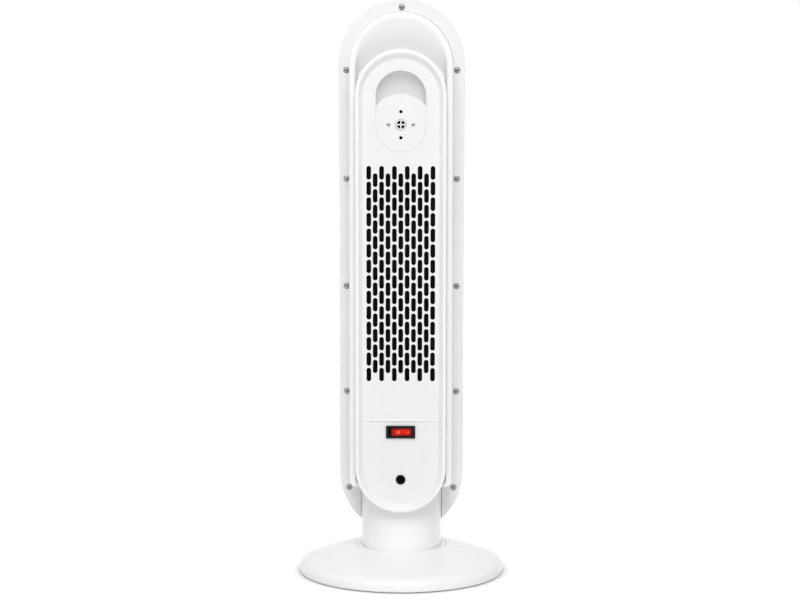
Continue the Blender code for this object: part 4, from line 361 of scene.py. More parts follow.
FOOT_PAD_TOP = 0.0017
FOOT_STEM_RADIUS = 0.0030
FOOT_STEM_TOP = 0.0052
FOOT_HOLLOW = 0.0004
FOOT_HOLLOW_RADIUS = 0.55 * FOOT_RADIUS
FOOT_TREAD_RADIUS = 0.62 * FOOT_RADIUS
FOOT_SOFT_ROUND = 0.0003
FOOT_EDGE_ROUND = 0.0006

# Front pieces
SECTION_POINTS = 20
SECTION_POWER = 0.55
GRILLE_GAP = 0.0003
GRILLE_BORDER = 0.0040
GRILLE_INSET = GRILLE_BORDER + GRILLE_GAP
GRILLE_FLANGE = 0.0035
GRILLE_FACE = BODY_FRONT + 0.0006
GRILLE_FLANGE_FRONT = BODY_FRONT - SHELL_WALL - GRILLE_GAP
GRILLE_REAR = 0.0405
GRILLE_INNER_ROUND = 0.0012
GRILLE_OUTER_ROUND = 0.0005
GRILLE_RIB_WIDTH = 0.0020
LOUVRE_COUNT = 20
LOUVRE_THICKNESS = 0.0016
LOUVRE_DEPTH = 0.0060
LOUVRE_TILT = math.radians(25)
FASCIA_FACE = GRILLE_FACE
FASCIA_THICKNESS = 0.0024
FASCIA_RAIL = 0.0033
FASCIA_DEPTH = 0.0120
FASCIA_FLANGE_REAR = GRILLE_FLANGE_FRONT - GRILLE_FLANGE / 2
FASCIA_ROUND = 0.0005
FASCIA_EDGE = 0.0003
BUTTON_COUNT = 4
BUTTON_RADIUS = 0.0042
BUTTON_GAP = 0.0004
BUTTON_HEIGHT = 0.5230
BUTTON_FLANGE = 0.0008
BUTTON_ROUND = 0.0004
BUTTON_DISH = 0.0003
BUTTON_DISH_MIDDLE = 0.1
DISPLAY_LENGTH = 0.0300
DISPLAY_WIDTH = 0.0160
DISPLAY_HEIGHT = 0.5520
DISPLAY_CORNER = 0.0010
DISPLAY_SINK = 0.0001
DISPLAY_EDGE = 0.0003
MARK_LENGTH = 0.0026
MARK_STROKE = 0.0005
MARK_RISE = 0.0001
FIN_WALL = 0.0022
FIN_ROWS = 16
FIN_SPINE = 0.0050
FIN_GAP = 0.0003
FIN_FOLDS = 18
FIN_BAND = 0.0024

# Finishes: scales are in cycles a metre, spans are the noise values between which an effect grows
SHADING_WEIGHT = 100
DRIFT_SPAN = (0.35, 0.65)
SOFT_SPAN = (0.3, 0.7)
GRAIN_SCALE = 2600.0
GRAIN_BUMP = 0.05
GRAIN_ROUGHNESS = (0.4, 0.06)
GRAIN_NOISE_ROUGHNESS = 0.6
WANDER_SCALE = 55.0
WEAR_EDGE = (0.53, 0.62)
WEAR_SCALE = 180.0
DUST_AMOUNT = 0.2
DUST_LEAST = 0.2
DUST_NOISE = (420.0, 4.0, 0.7)
DUST_SPAN = (0.42, 0.68)
DUST_SLOPE = 0.35
STREAK_SCALES = (900.0, 900.0, 60.0)
STREAK_NOISE_ROUGHNESS = 0.65
STREAK_SWING = (-0.08, 0.1)
STREAK_ROUGHNESS = 0.3
TRACK_SCALE = 210.0
TRACK_EDGE = (0.55, 0.60)
TRACK_BUMP = (0.3, 0.0001)
PAD_SCALE = 330.0
PAD_EDGE = (0.14, 0.19)
BOARD_COAT = 0.35
BOARD_COAT_ROUGHNESS = 0.2
BOARD_ROUGHNESS = (0.42, 0.25)
MASK_GREEN = (0.012, 0.095, 0.035, 1)
TRACK_GREEN = (0.025, 0.19, 0.07, 1)
PAD_TONE = (0.62, 0.60, 0.55, 1)
SMEAR_SCALE = 60.0
SMEAR_SPAN = (0.4, 0.7)
SMEAR_ROUGHNESS = (0.04, 0.13)
WINDOW_COAT_ROUGHNESS = 0.03
WINDOW_SCALE = 30.0
WINDOW_TONES = ((0.006, 0.006, 0.008, 1), (0.012, 0.012, 0.015, 1))
LENS_SPECULAR = 0.12
LENS_SHIMMER_SCALE = 380.0
LENS_SHIMMER = 0.88
LENS_FAR_END = 0.35
LENS_GLOWS = ((0.03, 0.001, 0.001, 1), (0.60, 0.010, 0.006, 1))
LENS_TONES = ((0.02, 0.001, 0.001, 1), (0.12, 0.003, 0.002, 1))
LENS_GRAIN_SCALE = 1500.0
LENS_ROUGHNESS = 0.3
MARK_SHIMMER_SCALE = 900.0
MARK_ROUGHNESS = 0.35
MARK_GLOWS = ((1.0, 0.20, 0.12, 1), (1.0, 0.26, 0.16, 1))
MARK_TONES = ((0.30, 0.05, 0.04, 1), (0.35, 0.06, 0.05, 1))
PLASTIC_DRIFT_SCALE = 14.0
METAL_DRIFT_SCALE = 160.0
PLASTIC_WEAR = 1.12
PLASTIC_WEAR_LIFT = 0.02
METAL_WEAR = 1.3
METAL_WEAR_AMOUNT = 0.6
DUST_COLOUR = (0.62, 0.60, 0.57, 1)
COAT_ROUGHNESS = 0.12
GRAIN_HEIGHT = 0.0002
STREAK_HEIGHT = 0.0001
LENS_BUMP = 0.05

# Camera: a long lens behind the heater, a little above its top, turned down to its middle
CAMERA_DISTANCE = 2.70
CAMERA_HEIGHT = 0.638
CAMERA_TURN = math.radians(1.0)
CAMERA_SIDE = -0.0017
CAMERA_ROLL = math.radians(0.05)
CAMERA_PITCH = math.radians(7.187)
CAMERA_FOCAL_PIXELS = 2517
IMAGE_WIDTH = 800
SENSOR_WIDTH = 36
CAMERA_REACH = 50


# Making meshes


def mesh_piece(name, points, faces, material, body, outward=True):
    """An object at the origin from points and faces, shaded smooth but for its sharp edges."""
    mesh = bpy.data.meshes.new(name)
    mesh.from_pydata(points.tolist(), [], faces)
    mesh.validate()
    if outward:
        shape = bmesh.new()
        shape.from_mesh(mesh)
        bmesh.ops.recalc_face_normals(shape, faces=shape.faces)
        shape.to_mesh(mesh)
        shape.free()
    mesh.shade_smooth()
    mesh.set_sharp_from_angle(angle=SHARP_ANGLE)
    piece = bpy.data.objects.new(name, mesh)
    bpy.context.scene.collection.objects.link(piece)
    if material is not None:
        mesh.materials.append(material)
    if body is not None:
        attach(piece, body)
    return piece


def grid_faces(rows, count, closed, capped):
    """Quads between neighbouring rows, each a loop; the last row meets the first if closed."""
    index = np.arange(rows * count).reshape(rows, count)
    low = index if closed else index[:-1]
    high = np.roll(index, -1, axis=0) if closed else index[1:]
    quads = np.stack([low, np.roll(low, -1, axis=1), np.roll(high, -1, axis=1), high], axis=-1)
    faces = quads.reshape(-1, 4).tolist()
    if capped:
        faces.append(index[0].tolist())
        faces.append(index[-1].tolist())
    return faces


def row_surface(name, rows, material=None, body=None, closed=True, capped=False):
    """A surface through rows of equally many points, each row a closed loop."""
    grid = np.asarray(rows, float)
    faces = grid_faces(grid.shape[0], grid.shape[1], closed, capped)
    return mesh_piece(name, grid.reshape(-1, 3), faces, material, body)


def closed_solid(name, rows, material=None, body=None):
    """A surface through rows of points, closed by a flat face at either end."""
    return row_surface(name, rows, material, body, closed=False, capped=True)


def highlight_rows(piece, first, last, count, finish):
    """Gives the faces between two rows of a row surface another finish; here a lighter copy of the white, a
    painted highlight.
    """
    piece.data.materials.append(finish)
    for face in piece.data.polygons[first * count:last * count]:
        face.material_index = 1


def turned_surface(name, profile, centre, material=None, body=None, axis="Z", points=TURN_POINTS,
                   closed=True, capped=False):
    """A profile of (radius, height) carried round an axis.

    Across the axis it lies at the radius times the cosine and the sine of the turn.
    """
    profile = np.asarray(profile, float)
    turn = np.linspace(0, 2 * math.pi, points, endpoint=False)
    across = profile[:, :1] * np.cos(turn)
    other = profile[:, :1] * np.sin(turn)
    along = np.repeat(profile[:, 1:], points, axis=1)
    parts = (across, other, along) if axis == "Z" else (across, along, other)
    grid = np.stack(parts, axis=-1) + np.asarray(centre, float)
    return row_surface(name, grid, material, body, closed, capped)


def small_turned(name, profile, centre, material, body=None, closed=True, capped=False):
    """A small profile of (radius, depth) carried round a line along Y."""
    return turned_surface(name, profile, centre, material, body, "Y", SMALL_TURN_POINTS, closed,
                          capped)


def softened(profile, radii, closed=False):
    """A profile whose corners are rounded: each corner becomes a curve that leaves and meets its two sides.

    A corner's curve runs between the points at the radius from it on either side, as the weighted mean
    (1 - t)^2 of the first, 2 t (1 - t) of the corner and t^2 of the last.
    """
    profile = np.asarray(profile, float)
    share = np.linspace(0, 1, FILLET_POINTS)[:, None]
    pieces = []
    for number, radius in enumerate(radii):
        corner = profile[number]
        ends = not closed and number in (0, len(profile) - 1)
        if radius == 0 or ends:
            pieces.append(corner[None])
            continue
        before = profile[number - 1] - corner
        after = profile[(number + 1) % len(profile)] - corner
        start = corner + before * min(0.5, radius / np.linalg.norm(before))
        end = corner + after * min(0.5, radius / np.linalg.norm(after))
        pieces.append((1 - share) ** 2 * start + 2 * share * (1 - share) * corner + share ** 2 * end)
    return np.concatenate(pieces)


def half_oval(half_width, rise, centre, start, end, points=ARC_POINTS):
    """Part of an oval: x is the half width times the cosine, z the centre plus the rise times the sine."""
    angle = np.linspace(start, end, points)
    return np.column_stack([half_width * np.cos(angle), centre + rise * np.sin(angle)])


def straight(first, last, points=SIDE_POINTS):
    """Points between two ends, which are left out."""
    share = np.linspace(0, 1, points + 2)[1:-1, None]
    return np.asarray(first) * (1 - share) + np.asarray(last) * share


def long_oval(half_width, top, upper_rise, lower_centre, lower_rise):
    """A long outline of (x, z): an upper half oval, straight sides and a lower half oval."""
    upper = half_oval(half_width, upper_rise, top - upper_rise, 0, math.pi)
    lower = half_oval(half_width, lower_rise, lower_centre, math.pi, 2 * math.pi)
    return np.concatenate([upper, straight(upper[-1], lower[0]), lower, straight(lower[-1], upper[0])])


def body_outline(inset):
    return long_oval(BODY_HALF_WIDTH - inset, BODY_TOP - inset, BODY_UPPER_RISE - inset, BODY_LOWER_CENTRE,
                     BODY_LOWER_RISE - inset)


def panel_outline(inset, top_inset, bottom_inset):
    return long_oval(PANEL_HALF_WIDTH - inset, PANEL_TOP - top_inset, PANEL_HALF_WIDTH - top_inset,
                     PANEL_CENTRE_LOW, PANEL_HALF_WIDTH - bottom_inset)


def tub_outline(inset, lower_inset):
    """The tub's outline: its sides turn in at a small corner, and an arc under the panel joins them."""
    half = TUB_HALF_WIDTH - inset
    upper = half_oval(half, TUB_UPPER_RISE - inset, TUB_TOP - TUB_UPPER_RISE, 0, math.pi)
    corner_z = TUB_CORNER_HEIGHT + lower_inset
    angle = np.linspace(math.pi, 1.5 * math.pi, FILLET_POINTS + 2)
    left = np.column_stack([TUB_CORNER_RADIUS - half + TUB_CORNER_RADIUS * np.cos(angle),
                            corner_z + TUB_CORNER_RADIUS * (1 + np.sin(angle))])
    radius = TUB_LOWER_RADIUS - lower_inset
    reach = math.asin((PANEL_CENTRE_LOW - corner_z) / radius)
    points = ARC_POINTS - 2 * len(left)
    lower = half_oval(radius, radius, PANEL_CENTRE_LOW, math.pi + reach, 2 * math.pi - reach, points)
    right = left[::-1] * (-1, 1)
    return np.concatenate([upper, straight(upper[-1], left[0]), left, lower, right,
                           straight(right[-1], upper[0])])


def at_depth(outline, depth):
    """An outline of (x, z) at a depth along Y, which is one number or one for each point."""
    return np.column_stack([outline[:, 0], np.broadcast_to(depth, len(outline)), outline[:, 1]])


def ease(share):
    """A smooth step from 0 to 1: three times the square less twice the cube."""
    share = np.clip(share, 0, 1)
    return share * share * (3 - 2 * share)


def boolean_with(piece, tools, operation):
    """Joins shapes to a piece or takes them away, applies that, and removes the tools."""
    for tool in tools:
        change = piece.modifiers.new(tool.name, "BOOLEAN")
        change.operation = operation
        change.solver = "EXACT"
        change.object = tool
        if tool.data.materials:
            change.material_mode = "TRANSFER"
    bpy.context.view_layer.update()
    graph = bpy.context.evaluated_depsgraph_get()
    mesh = bpy.data.meshes.new_from_object(piece.evaluated_get(graph))
    old = piece.data
    piece.modifiers.clear()
    piece.data = mesh
    bpy.data.meshes.remove(old)
    mesh.name = piece.name
    for tool in tools:
        bpy.data.objects.remove(tool, do_unlink=True)
    mesh.shade_smooth()
    mesh.set_sharp_from_angle(angle=SHARP_ANGLE)
    if "even_shading" not in piece.modifiers:
        even = piece.modifiers.new("even_shading", "WEIGHTED_NORMAL")
        even.keep_sharp = True
        even.weight = SHADING_WEIGHT
    return piece


def cut_by(piece, *cutters):
    return boolean_with(piece, cutters, "DIFFERENCE")


# Colours and finishes


def socket(group, name, kind, value=None, output=False):
    """Adds one named input or output to a node group."""
    made = group.interface.new_socket(name, in_out="OUTPUT" if output else "INPUT", socket_type=kind)
    if value is not None:
        made.default_value = value
    return made


def new_group(name, inputs, outputs):
    """An empty node group with named inputs and their usual values, and named outputs."""
    group = bpy.data.node_groups.new(name, "ShaderNodeTree")
    for label, kind, value in inputs:
        socket(group, label, kind, value)
    for label, kind in outputs:
        socket(group, label, kind, output=True)
    return group, group.nodes.new("NodeGroupInput"), group.nodes.new("NodeGroupOutput")


def node(tree, kind, settings=None, **values):
    """A node with its settings, and its inputs set to values or linked from other nodes' outputs."""
    made = tree.nodes.new(kind)
    for name, value in (settings or {}).items():
        setattr(made, name, value)
    for name, value in values.items():
        place = int(name[1:]) if name[0] == "i" and name[1:].isdigit() else name.replace("_", " ")
        if isinstance(value, bpy.types.NodeSocket):
            tree.links.new(value, made.inputs[place])
        else:
            made.inputs[place].default_value = value
    return made


def arithmetic(tree, operation, first, second=0.5, clamp=False):
    settings = {"operation": operation, "use_clamp": clamp}
    return node(tree, "ShaderNodeMath", settings, i0=first, i1=second).outputs[0]


def blended(tree, factor, first, second):
    """Colour between two colours by a factor."""
    mix = node(tree, "ShaderNodeMix", {"data_type": "RGBA"}, i0=factor, i6=first, i7=second)
    return mix.outputs[2]


def ranged(tree, value, low, high, to_low, to_high, smooth=True):
    """A value carried from one range to another, held at both ends."""
    settings = {"interpolation_type": "SMOOTHSTEP" if smooth else "LINEAR", "clamp": True}
    made = node(tree, "ShaderNodeMapRange", settings, i0=value, i1=low, i2=high, i3=to_low, i4=to_high)
    return made.outputs[0]


def noise(tree, scale, detail=2.0, roughness=0.5, vector=None):
    """Noise on Object coordinates, in cycles a metre."""
    made = node(tree, "ShaderNodeTexNoise", Scale=scale, Detail=detail, Roughness=roughness)
    if vector is None:
        vector = tree.nodes.new("ShaderNodeTexCoord").outputs["Object"]
    tree.links.new(vector, made.inputs["Vector"])
    return made.outputs["Fac"]


def drifting(tree, scale, base, shade):
    """A colour that drifts between two over the surface, by a soft noise."""
    drift = ranged(tree, noise(tree, scale, 3.0), *DRIFT_SPAN, 0.0, 1.0)
    return blended(tree, drift, base, shade)


def moulded_grain_group():
    """Fine grain of moulded plastic: a height for the bump, and a roughness that wanders."""
    group, given, put = new_group("moulded_grain", [
        ("Grain scale", "NodeSocketFloat", GRAIN_SCALE), ("Grain depth", "NodeSocketFloat", 1.0),
        ("Roughness", "NodeSocketFloat", GRAIN_ROUGHNESS[0]),
        ("Roughness spread", "NodeSocketFloat", GRAIN_ROUGHNESS[1])],
        [("Height", "NodeSocketFloat"), ("Roughness", "NodeSocketFloat")])
    fine = node(group, "ShaderNodeTexNoise", Detail=3.0, Roughness=GRAIN_NOISE_ROUGHNESS)
    place = group.nodes.new("ShaderNodeTexCoord").outputs["Object"]
    group.links.new(place, fine.inputs["Vector"])
    group.links.new(given.outputs["Grain scale"], fine.inputs["Scale"])
    wave = node(group, "ShaderNodeTexNoise", Scale=WANDER_SCALE, Detail=2.0)
    group.links.new(place, wave.inputs["Vector"])
    height = arithmetic(group, "MULTIPLY", fine.outputs["Fac"], given.outputs["Grain depth"])
    group.links.new(height, put.inputs["Height"])
    spread = arithmetic(group, "MULTIPLY", arithmetic(group, "SUBTRACT", wave.outputs["Fac"], 0.5),
                        given.outputs["Roughness spread"])
    total = arithmetic(group, "ADD", given.outputs["Roughness"], spread, clamp=True)
    group.links.new(total, put.inputs["Roughness"])
    return group


def edge_wear_group():
    """Soft handling wear: a mask that is high on convex edges, broken up by noise."""
    group, given, put = new_group("edge_wear", [
        ("Amount", "NodeSocketFloat", 0.5), ("Break-up scale", "NodeSocketFloat", WEAR_SCALE)],
        [("Mask", "NodeSocketFloat")])
    pointed = group.nodes.new("ShaderNodeNewGeometry").outputs["Pointiness"]
    edge = ranged(group, pointed, *WEAR_EDGE, 0.0, 1.0)
    place = group.nodes.new("ShaderNodeTexCoord").outputs["Object"]
    broken = node(group, "ShaderNodeTexNoise", Detail=3.0)
    group.links.new(place, broken.inputs["Vector"])
    group.links.new(given.outputs["Break-up scale"], broken.inputs["Scale"])
    part = arithmetic(group, "MULTIPLY", edge, broken.outputs["Fac"])
    mask = arithmetic(group, "MULTIPLY", part, given.outputs["Amount"], clamp=True)
    group.links.new(mask, put.inputs["Mask"])
    return group


def dust_group():
    """Light house dust: a mask on faces that look up, broken up by two sizes of noise."""
    group, given, put = new_group("house_dust", [("Amount", "NodeSocketFloat", DUST_AMOUNT)],
                                  [("Mask", "NodeSocketFloat")])
    facing = group.nodes.new("ShaderNodeNewGeometry").outputs["Normal"]
    up = node(group, "ShaderNodeSeparateXYZ", i0=facing).outputs[2]
    level = ranged(group, up, DUST_SLOPE, 1.0, 0.0, 1.0)
    speck = ranged(group, noise(group, *DUST_NOISE), *DUST_SPAN, DUST_LEAST, 1.0)
    part = arithmetic(group, "MULTIPLY", level, speck)
    mask = arithmetic(group, "MULTIPLY", part, given.outputs["Amount"], clamp=True)
    group.links.new(mask, put.inputs["Mask"])
    return group


def brushed_group():
    """Drawn or turned metal: fine streaks along one direction, as a height and a roughness."""
    group, given, put = new_group("brushed_metal", [
        ("Streaks", "NodeSocketVector", STREAK_SCALES),
        ("Roughness", "NodeSocketFloat", STREAK_ROUGHNESS)],
        [("Height", "NodeSocketFloat"), ("Roughness", "NodeSocketFloat")])
    place = group.nodes.new("ShaderNodeTexCoord").outputs["Object"]
    stretched = node(group, "ShaderNodeVectorMath", {"operation": "MULTIPLY"}, i0=place)
    group.links.new(given.outputs["Streaks"], stretched.inputs[1])
    streak = node(group, "ShaderNodeTexNoise", Scale=1.0, Detail=4.0,
                  Roughness=STREAK_NOISE_ROUGHNESS)
    group.links.new(stretched.outputs[0], streak.inputs["Vector"])
    group.links.new(streak.outputs["Fac"], put.inputs["Height"])
    swing = ranged(group, streak.outputs["Fac"], *SOFT_SPAN, *STREAK_SWING)
    group.links.new(arithmetic(group, "ADD", given.outputs["Roughness"], swing, clamp=True),
                    put.inputs["Roughness"])
    return group


GRAIN = moulded_grain_group()
WEAR = edge_wear_group()
DUST = dust_group()
BRUSHED = brushed_group()


def use_group(tree, group, **values):
    """Places a shared effect in a material with this material's own values."""
    made = node(tree, "ShaderNodeGroup", {"node_tree": group})
    for label, value in values.items():
        place = label.replace("_", " ").replace("Break up", "Break-up")
        if isinstance(value, bpy.types.NodeSocket):
            tree.links.new(value, made.inputs[place])
        else:
            made.inputs[place].default_value = value
    return made


def new_material(name, **values):
    """A material with a Principled shader whose constant values sit on its own sockets."""
    finish = bpy.data.materials.new(name)
    finish.use_nodes = True
    tree = finish.node_tree
    shader = tree.nodes["Principled BSDF"]
    for label, value in values.items():
        shader.inputs[label.replace("_", " ")].default_value = value
    return finish, tree, shader


def bumped(tree, shader, height, strength, distance):
    bump = node(tree, "ShaderNodeBump", Strength=strength, Distance=distance)
    tree.links.new(height, bump.inputs["Height"])
    tree.links.new(bump.outputs["Normal"], shader.inputs["Normal"])


def colour(red, green=None, blue=None):
    """A linear colour from values between 0 and 1."""
    if green is None:
        green = blue = red
    return (red, green, blue, 1)


def plastic(name, base, shade, roughness, grain_scale=GRAIN_SCALE, bump=GRAIN_BUMP, dust=0.0, wear=0.0,
            coat=0.0, specular=0.5):
    """Moulded plastic: a base colour that drifts slightly to a shade, grain, edge wear and dust."""
    finish, tree, shader = new_material(name, Specular_IOR_Level=specular, Coat_Weight=coat,
                                        Coat_Roughness=COAT_ROUGHNESS)
    tone = drifting(tree, PLASTIC_DRIFT_SCALE, colour(*base), colour(*shade))
    if wear:
        lighter = tuple(min(1, part * PLASTIC_WEAR + PLASTIC_WEAR_LIFT) for part in base) + (1,)
        worn = use_group(tree, WEAR, Amount=wear)
        tone = blended(tree, worn.outputs["Mask"], tone, lighter)
    if dust:
        dusty = use_group(tree, DUST, Amount=dust)
        tone = blended(tree, dusty.outputs["Mask"], tone, DUST_COLOUR)
    tree.links.new(tone, shader.inputs["Base Color"])
    grain = use_group(tree, GRAIN, Grain_scale=grain_scale, Roughness=roughness)
    tree.links.new(grain.outputs["Roughness"], shader.inputs["Roughness"])
    bumped(tree, shader, grain.outputs["Height"], bump, GRAIN_HEIGHT)
    return finish


def metal(name, base, shade, roughness, streaks, bump=GRAIN_BUMP):
    """Metal with fine streaks and a slight drift of colour."""
    finish, tree, shader = new_material(name, Metallic=1.0)
    drift = drifting(tree, METAL_DRIFT_SCALE, colour(*base), colour(*shade))
    worn = use_group(tree, WEAR, Amount=METAL_WEAR_AMOUNT)
    lighter = tuple(min(1, part * METAL_WEAR) for part in base) + (1,)
    tone = blended(tree, worn.outputs["Mask"], drift, lighter)
    tree.links.new(tone, shader.inputs["Base Color"])
    brushed = use_group(tree, BRUSHED, Streaks=streaks, Roughness=roughness)
    tree.links.new(brushed.outputs["Roughness"], shader.inputs["Roughness"])
    bumped(tree, shader, brushed.outputs["Height"], bump, STREAK_HEIGHT)
    return finish


WHITE = plastic("white_plastic_finish", (0.875, 0.875, 0.872), (0.86, 0.86, 0.86), 0.42,
                dust=0.05, wear=0.15)
# Glossier white of the neck and base, its tone raised above the casing's white: a real gloss with painted
# light in its brightness.
GLOSS_WHITE_PAINTED_LIGHT = plastic("gloss_white_painted_light_finish", (0.970, 0.970, 0.968), (0.960, 0.960, 0.960), 0.24,
                      bump=0.02, dust=0.03, coat=0.25)
# A lighter, smoother copy of the white for the casing's rounded rim band and the panel's crown: painted
# highlight on those edges.
WHITE_PAINTED_HIGHLIGHT = plastic("white_painted_highlight_finish", (0.945, 0.945, 0.943), (0.935, 0.935, 0.935), 0.34,
                         bump=0.02, dust=0.03, specular=0.42)
# A greyer copy of the white for the finger scoop's faces: painted shade in the recess.
WHITE_PAINTED_SHADE = plastic("white_painted_shade_finish", (0.76, 0.76, 0.755), (0.73, 0.73, 0.725), 0.5, dust=0.05)
FASCIA_BLACK = plastic("fascia_black_finish", (0.010, 0.010, 0.011), (0.013, 0.013, 0.014), 0.16,
                       grain_scale=900.0, bump=0.01, dust=0.05, coat=0.4)
GRILLE_BLACK = plastic("grille_black_finish", (0.022, 0.022, 0.024), (0.030, 0.030, 0.032), 0.42,
                       dust=0.15)
CAP_GREY = plastic("cap_grey_finish", (0.045, 0.046, 0.049), (0.055, 0.056, 0.060), 0.40)
BLACK = plastic("black_plastic_finish", (0.012, 0.012, 0.013), (0.018, 0.018, 0.019), 0.42,
                dust=0.02, specular=0.12)
DARK = plastic("dark_plastic_finish", (0.030, 0.031, 0.033), (0.040, 0.041, 0.043), 0.48,
               dust=0.10, wear=0.4)
NYLON = plastic("grey_nylon_finish", (0.50, 0.51, 0.52), (0.45, 0.46, 0.47), 0.44,
                grain_scale=1800.0, bump=0.08, dust=0.08, wear=0.3)
RUBBER = plastic("black_rubber_finish", (0.008, 0.008, 0.008), (0.014, 0.014, 0.013), 0.82,
                 grain_scale=1400.0, bump=0.25, dust=0.05, specular=0.1)
# Near black: the sheets and plugs in this finish are painted shade in the slots, holes, port and cord bore;
# the dust filter is also a real part.
FOAM_SHADE_BLACK = plastic("foam_painted_shade_finish", (0.003, 0.003, 0.003), (0.005, 0.005, 0.005), 0.95,
               grain_scale=1200.0, bump=0.8, specular=0.05)
SCREW_STEEL = metal("screw_steel_finish", (0.42, 0.42, 0.425), (0.33, 0.33, 0.335), 0.36,
                    (1400.0, 1400.0, 1400.0))
SCREW_ZINC = metal("screw_zinc_finish", (0.60, 0.60, 0.60), (0.52, 0.52, 0.52), 0.36,
                   (1400.0, 1400.0, 1400.0))
MOTOR_STEEL = metal("motor_steel_finish", (0.58, 0.59, 0.60), (0.50, 0.51, 0.52), 0.32,
                    (90.0, 90.0, 2400.0))
ALUMINIUM = metal("aluminium_finish", (0.52, 0.52, 0.53), (0.44, 0.44, 0.45), 0.38,
                  (2200.0, 90.0, 90.0))


def circuit_board():
    """Green solder mask over copper tracks: bands between square cells, with round pale pads among them."""
    finish, tree, shader = new_material("circuit_board_finish", Coat_Weight=BOARD_COAT,
                                        Coat_Roughness=BOARD_COAT_ROUGHNESS)
    place = tree.nodes.new("ShaderNodeTexCoord").outputs["Object"]
    square = {"distance": "CHEBYCHEV", "feature": "F2"}
    tracks = node(tree, "ShaderNodeTexVoronoi", square, Scale=TRACK_SCALE)
    tree.links.new(place, tracks.inputs["Vector"])
    line = ranged(tree, tracks.outputs["Distance"], *TRACK_EDGE, 0.0, 1.0)
    green = blended(tree, line, MASK_GREEN, TRACK_GREEN)
    pads = node(tree, "ShaderNodeTexVoronoi", Scale=PAD_SCALE)
    tree.links.new(place, pads.inputs["Vector"])
    pad = ranged(tree, pads.outputs["Distance"], *PAD_EDGE, 1.0, 0.0)
    tree.links.new(blended(tree, pad, green, PAD_TONE), shader.inputs["Base Color"])
    tree.links.new(ranged(tree, pad, 0.0, 1.0, *BOARD_ROUGHNESS), shader.inputs["Roughness"])
    bumped(tree, shader, line, *TRACK_BUMP)
    return finish


def smoked_glass():
    """Dark display window: nearly black, glossy, with faint wipe marks in its roughness."""
    finish, tree, shader = new_material("smoked_window_finish", Coat_Weight=1.0,
                                        Coat_Roughness=WINDOW_COAT_ROUGHNESS)
    smear = ranged(tree, noise(tree, SMEAR_SCALE, 4.0), *SMEAR_SPAN, *SMEAR_ROUGHNESS)
    tree.links.new(smear, shader.inputs["Roughness"])
    tone = blended(tree, noise(tree, WINDOW_SCALE), *WINDOW_TONES)
    tree.links.new(tone, shader.inputs["Base Color"])
    return finish


def lit_lens():
    """Red rocker lit from within: brightest in the middle of the wings, dark red towards its edges."""
    finish, tree, shader = new_material("red_lens_finish", Specular_IOR_Level=LENS_SPECULAR,
                                        Emission_Strength=1.0)
    place = tree.nodes.new("ShaderNodeTexCoord").outputs["Object"]
    parts = node(tree, "ShaderNodeSeparateXYZ", i0=place)
    across = arithmetic(tree, "ABSOLUTE", arithmetic(tree, "SUBTRACT", parts.outputs[2], SWITCH_HEIGHT))
    edge = ranged(tree, across, *LENS_GLOW_ACROSS, 1.0, 0.0)
    left = ranged(tree, parts.outputs[0], *LENS_GLOW_LEFT, 0.0, 1.0)
    right = ranged(tree, parts.outputs[0], *LENS_GLOW_RIGHT, 1.0, LENS_FAR_END)
    glow = arithmetic(tree, "MULTIPLY", arithmetic(tree, "MULTIPLY", edge, left), right)
    shimmer = ranged(tree, noise(tree, LENS_SHIMMER_SCALE), *SOFT_SPAN, LENS_SHIMMER, 1.0)
    lit = arithmetic(tree, "MULTIPLY", glow, shimmer)
    tree.links.new(blended(tree, lit, *LENS_GLOWS), shader.inputs["Emission Color"])
    tree.links.new(blended(tree, lit, *LENS_TONES), shader.inputs["Base Color"])
    grain = use_group(tree, GRAIN, Grain_scale=LENS_GRAIN_SCALE, Roughness=LENS_ROUGHNESS)
    tree.links.new(grain.outputs["Roughness"], shader.inputs["Roughness"])
    bumped(tree, shader, grain.outputs["Height"], LENS_BUMP, GRAIN_HEIGHT)
    return finish


def lit_mark():
    """Pale marks through which the rocker's light shows."""
    finish, tree, shader = new_material("lit_mark_finish", Emission_Strength=1.0)
    shimmer = ranged(tree, noise(tree, MARK_SHIMMER_SCALE), *SOFT_SPAN, 0.0, 1.0)
    tree.links.new(blended(tree, shimmer, *MARK_GLOWS), shader.inputs["Emission Color"])
    tree.links.new(blended(tree, shimmer, *MARK_TONES), shader.inputs["Base Color"])
    grain = use_group(tree, GRAIN, Grain_scale=LENS_GRAIN_SCALE, Roughness=MARK_ROUGHNESS)
    tree.links.new(grain.outputs["Roughness"], shader.inputs["Roughness"])
    return finish


RED_LENS = lit_lens()
MARK_GLOW = lit_mark()
BOARD = circuit_board()
WINDOW = smoked_glass()


# Rear casing


def cove_foot(band, foot):
    """Where the bowl's soft side ends: close to the rim low down, at the panel's foot above the panel."""
    close = tub_outline(band + BOWL_SLOPE_WIDTH, TUB_WALL)
    share = ease((close[:, 1:] - COVE_SPAN[0]) / (COVE_SPAN[1] - COVE_SPAN[0]))
    return close * (1 - share) + (foot * COVE_REACH + close * (1 - COVE_REACH)) * share


def quarter(points=FILLET_POINTS):
    """Pairs of (1 - cosine, sine) over a quarter turn, for a rounded edge."""
    angle = np.linspace(0, math.pi / 2, points)
    return list(zip(1 - np.cos(angle), np.sin(angle)))


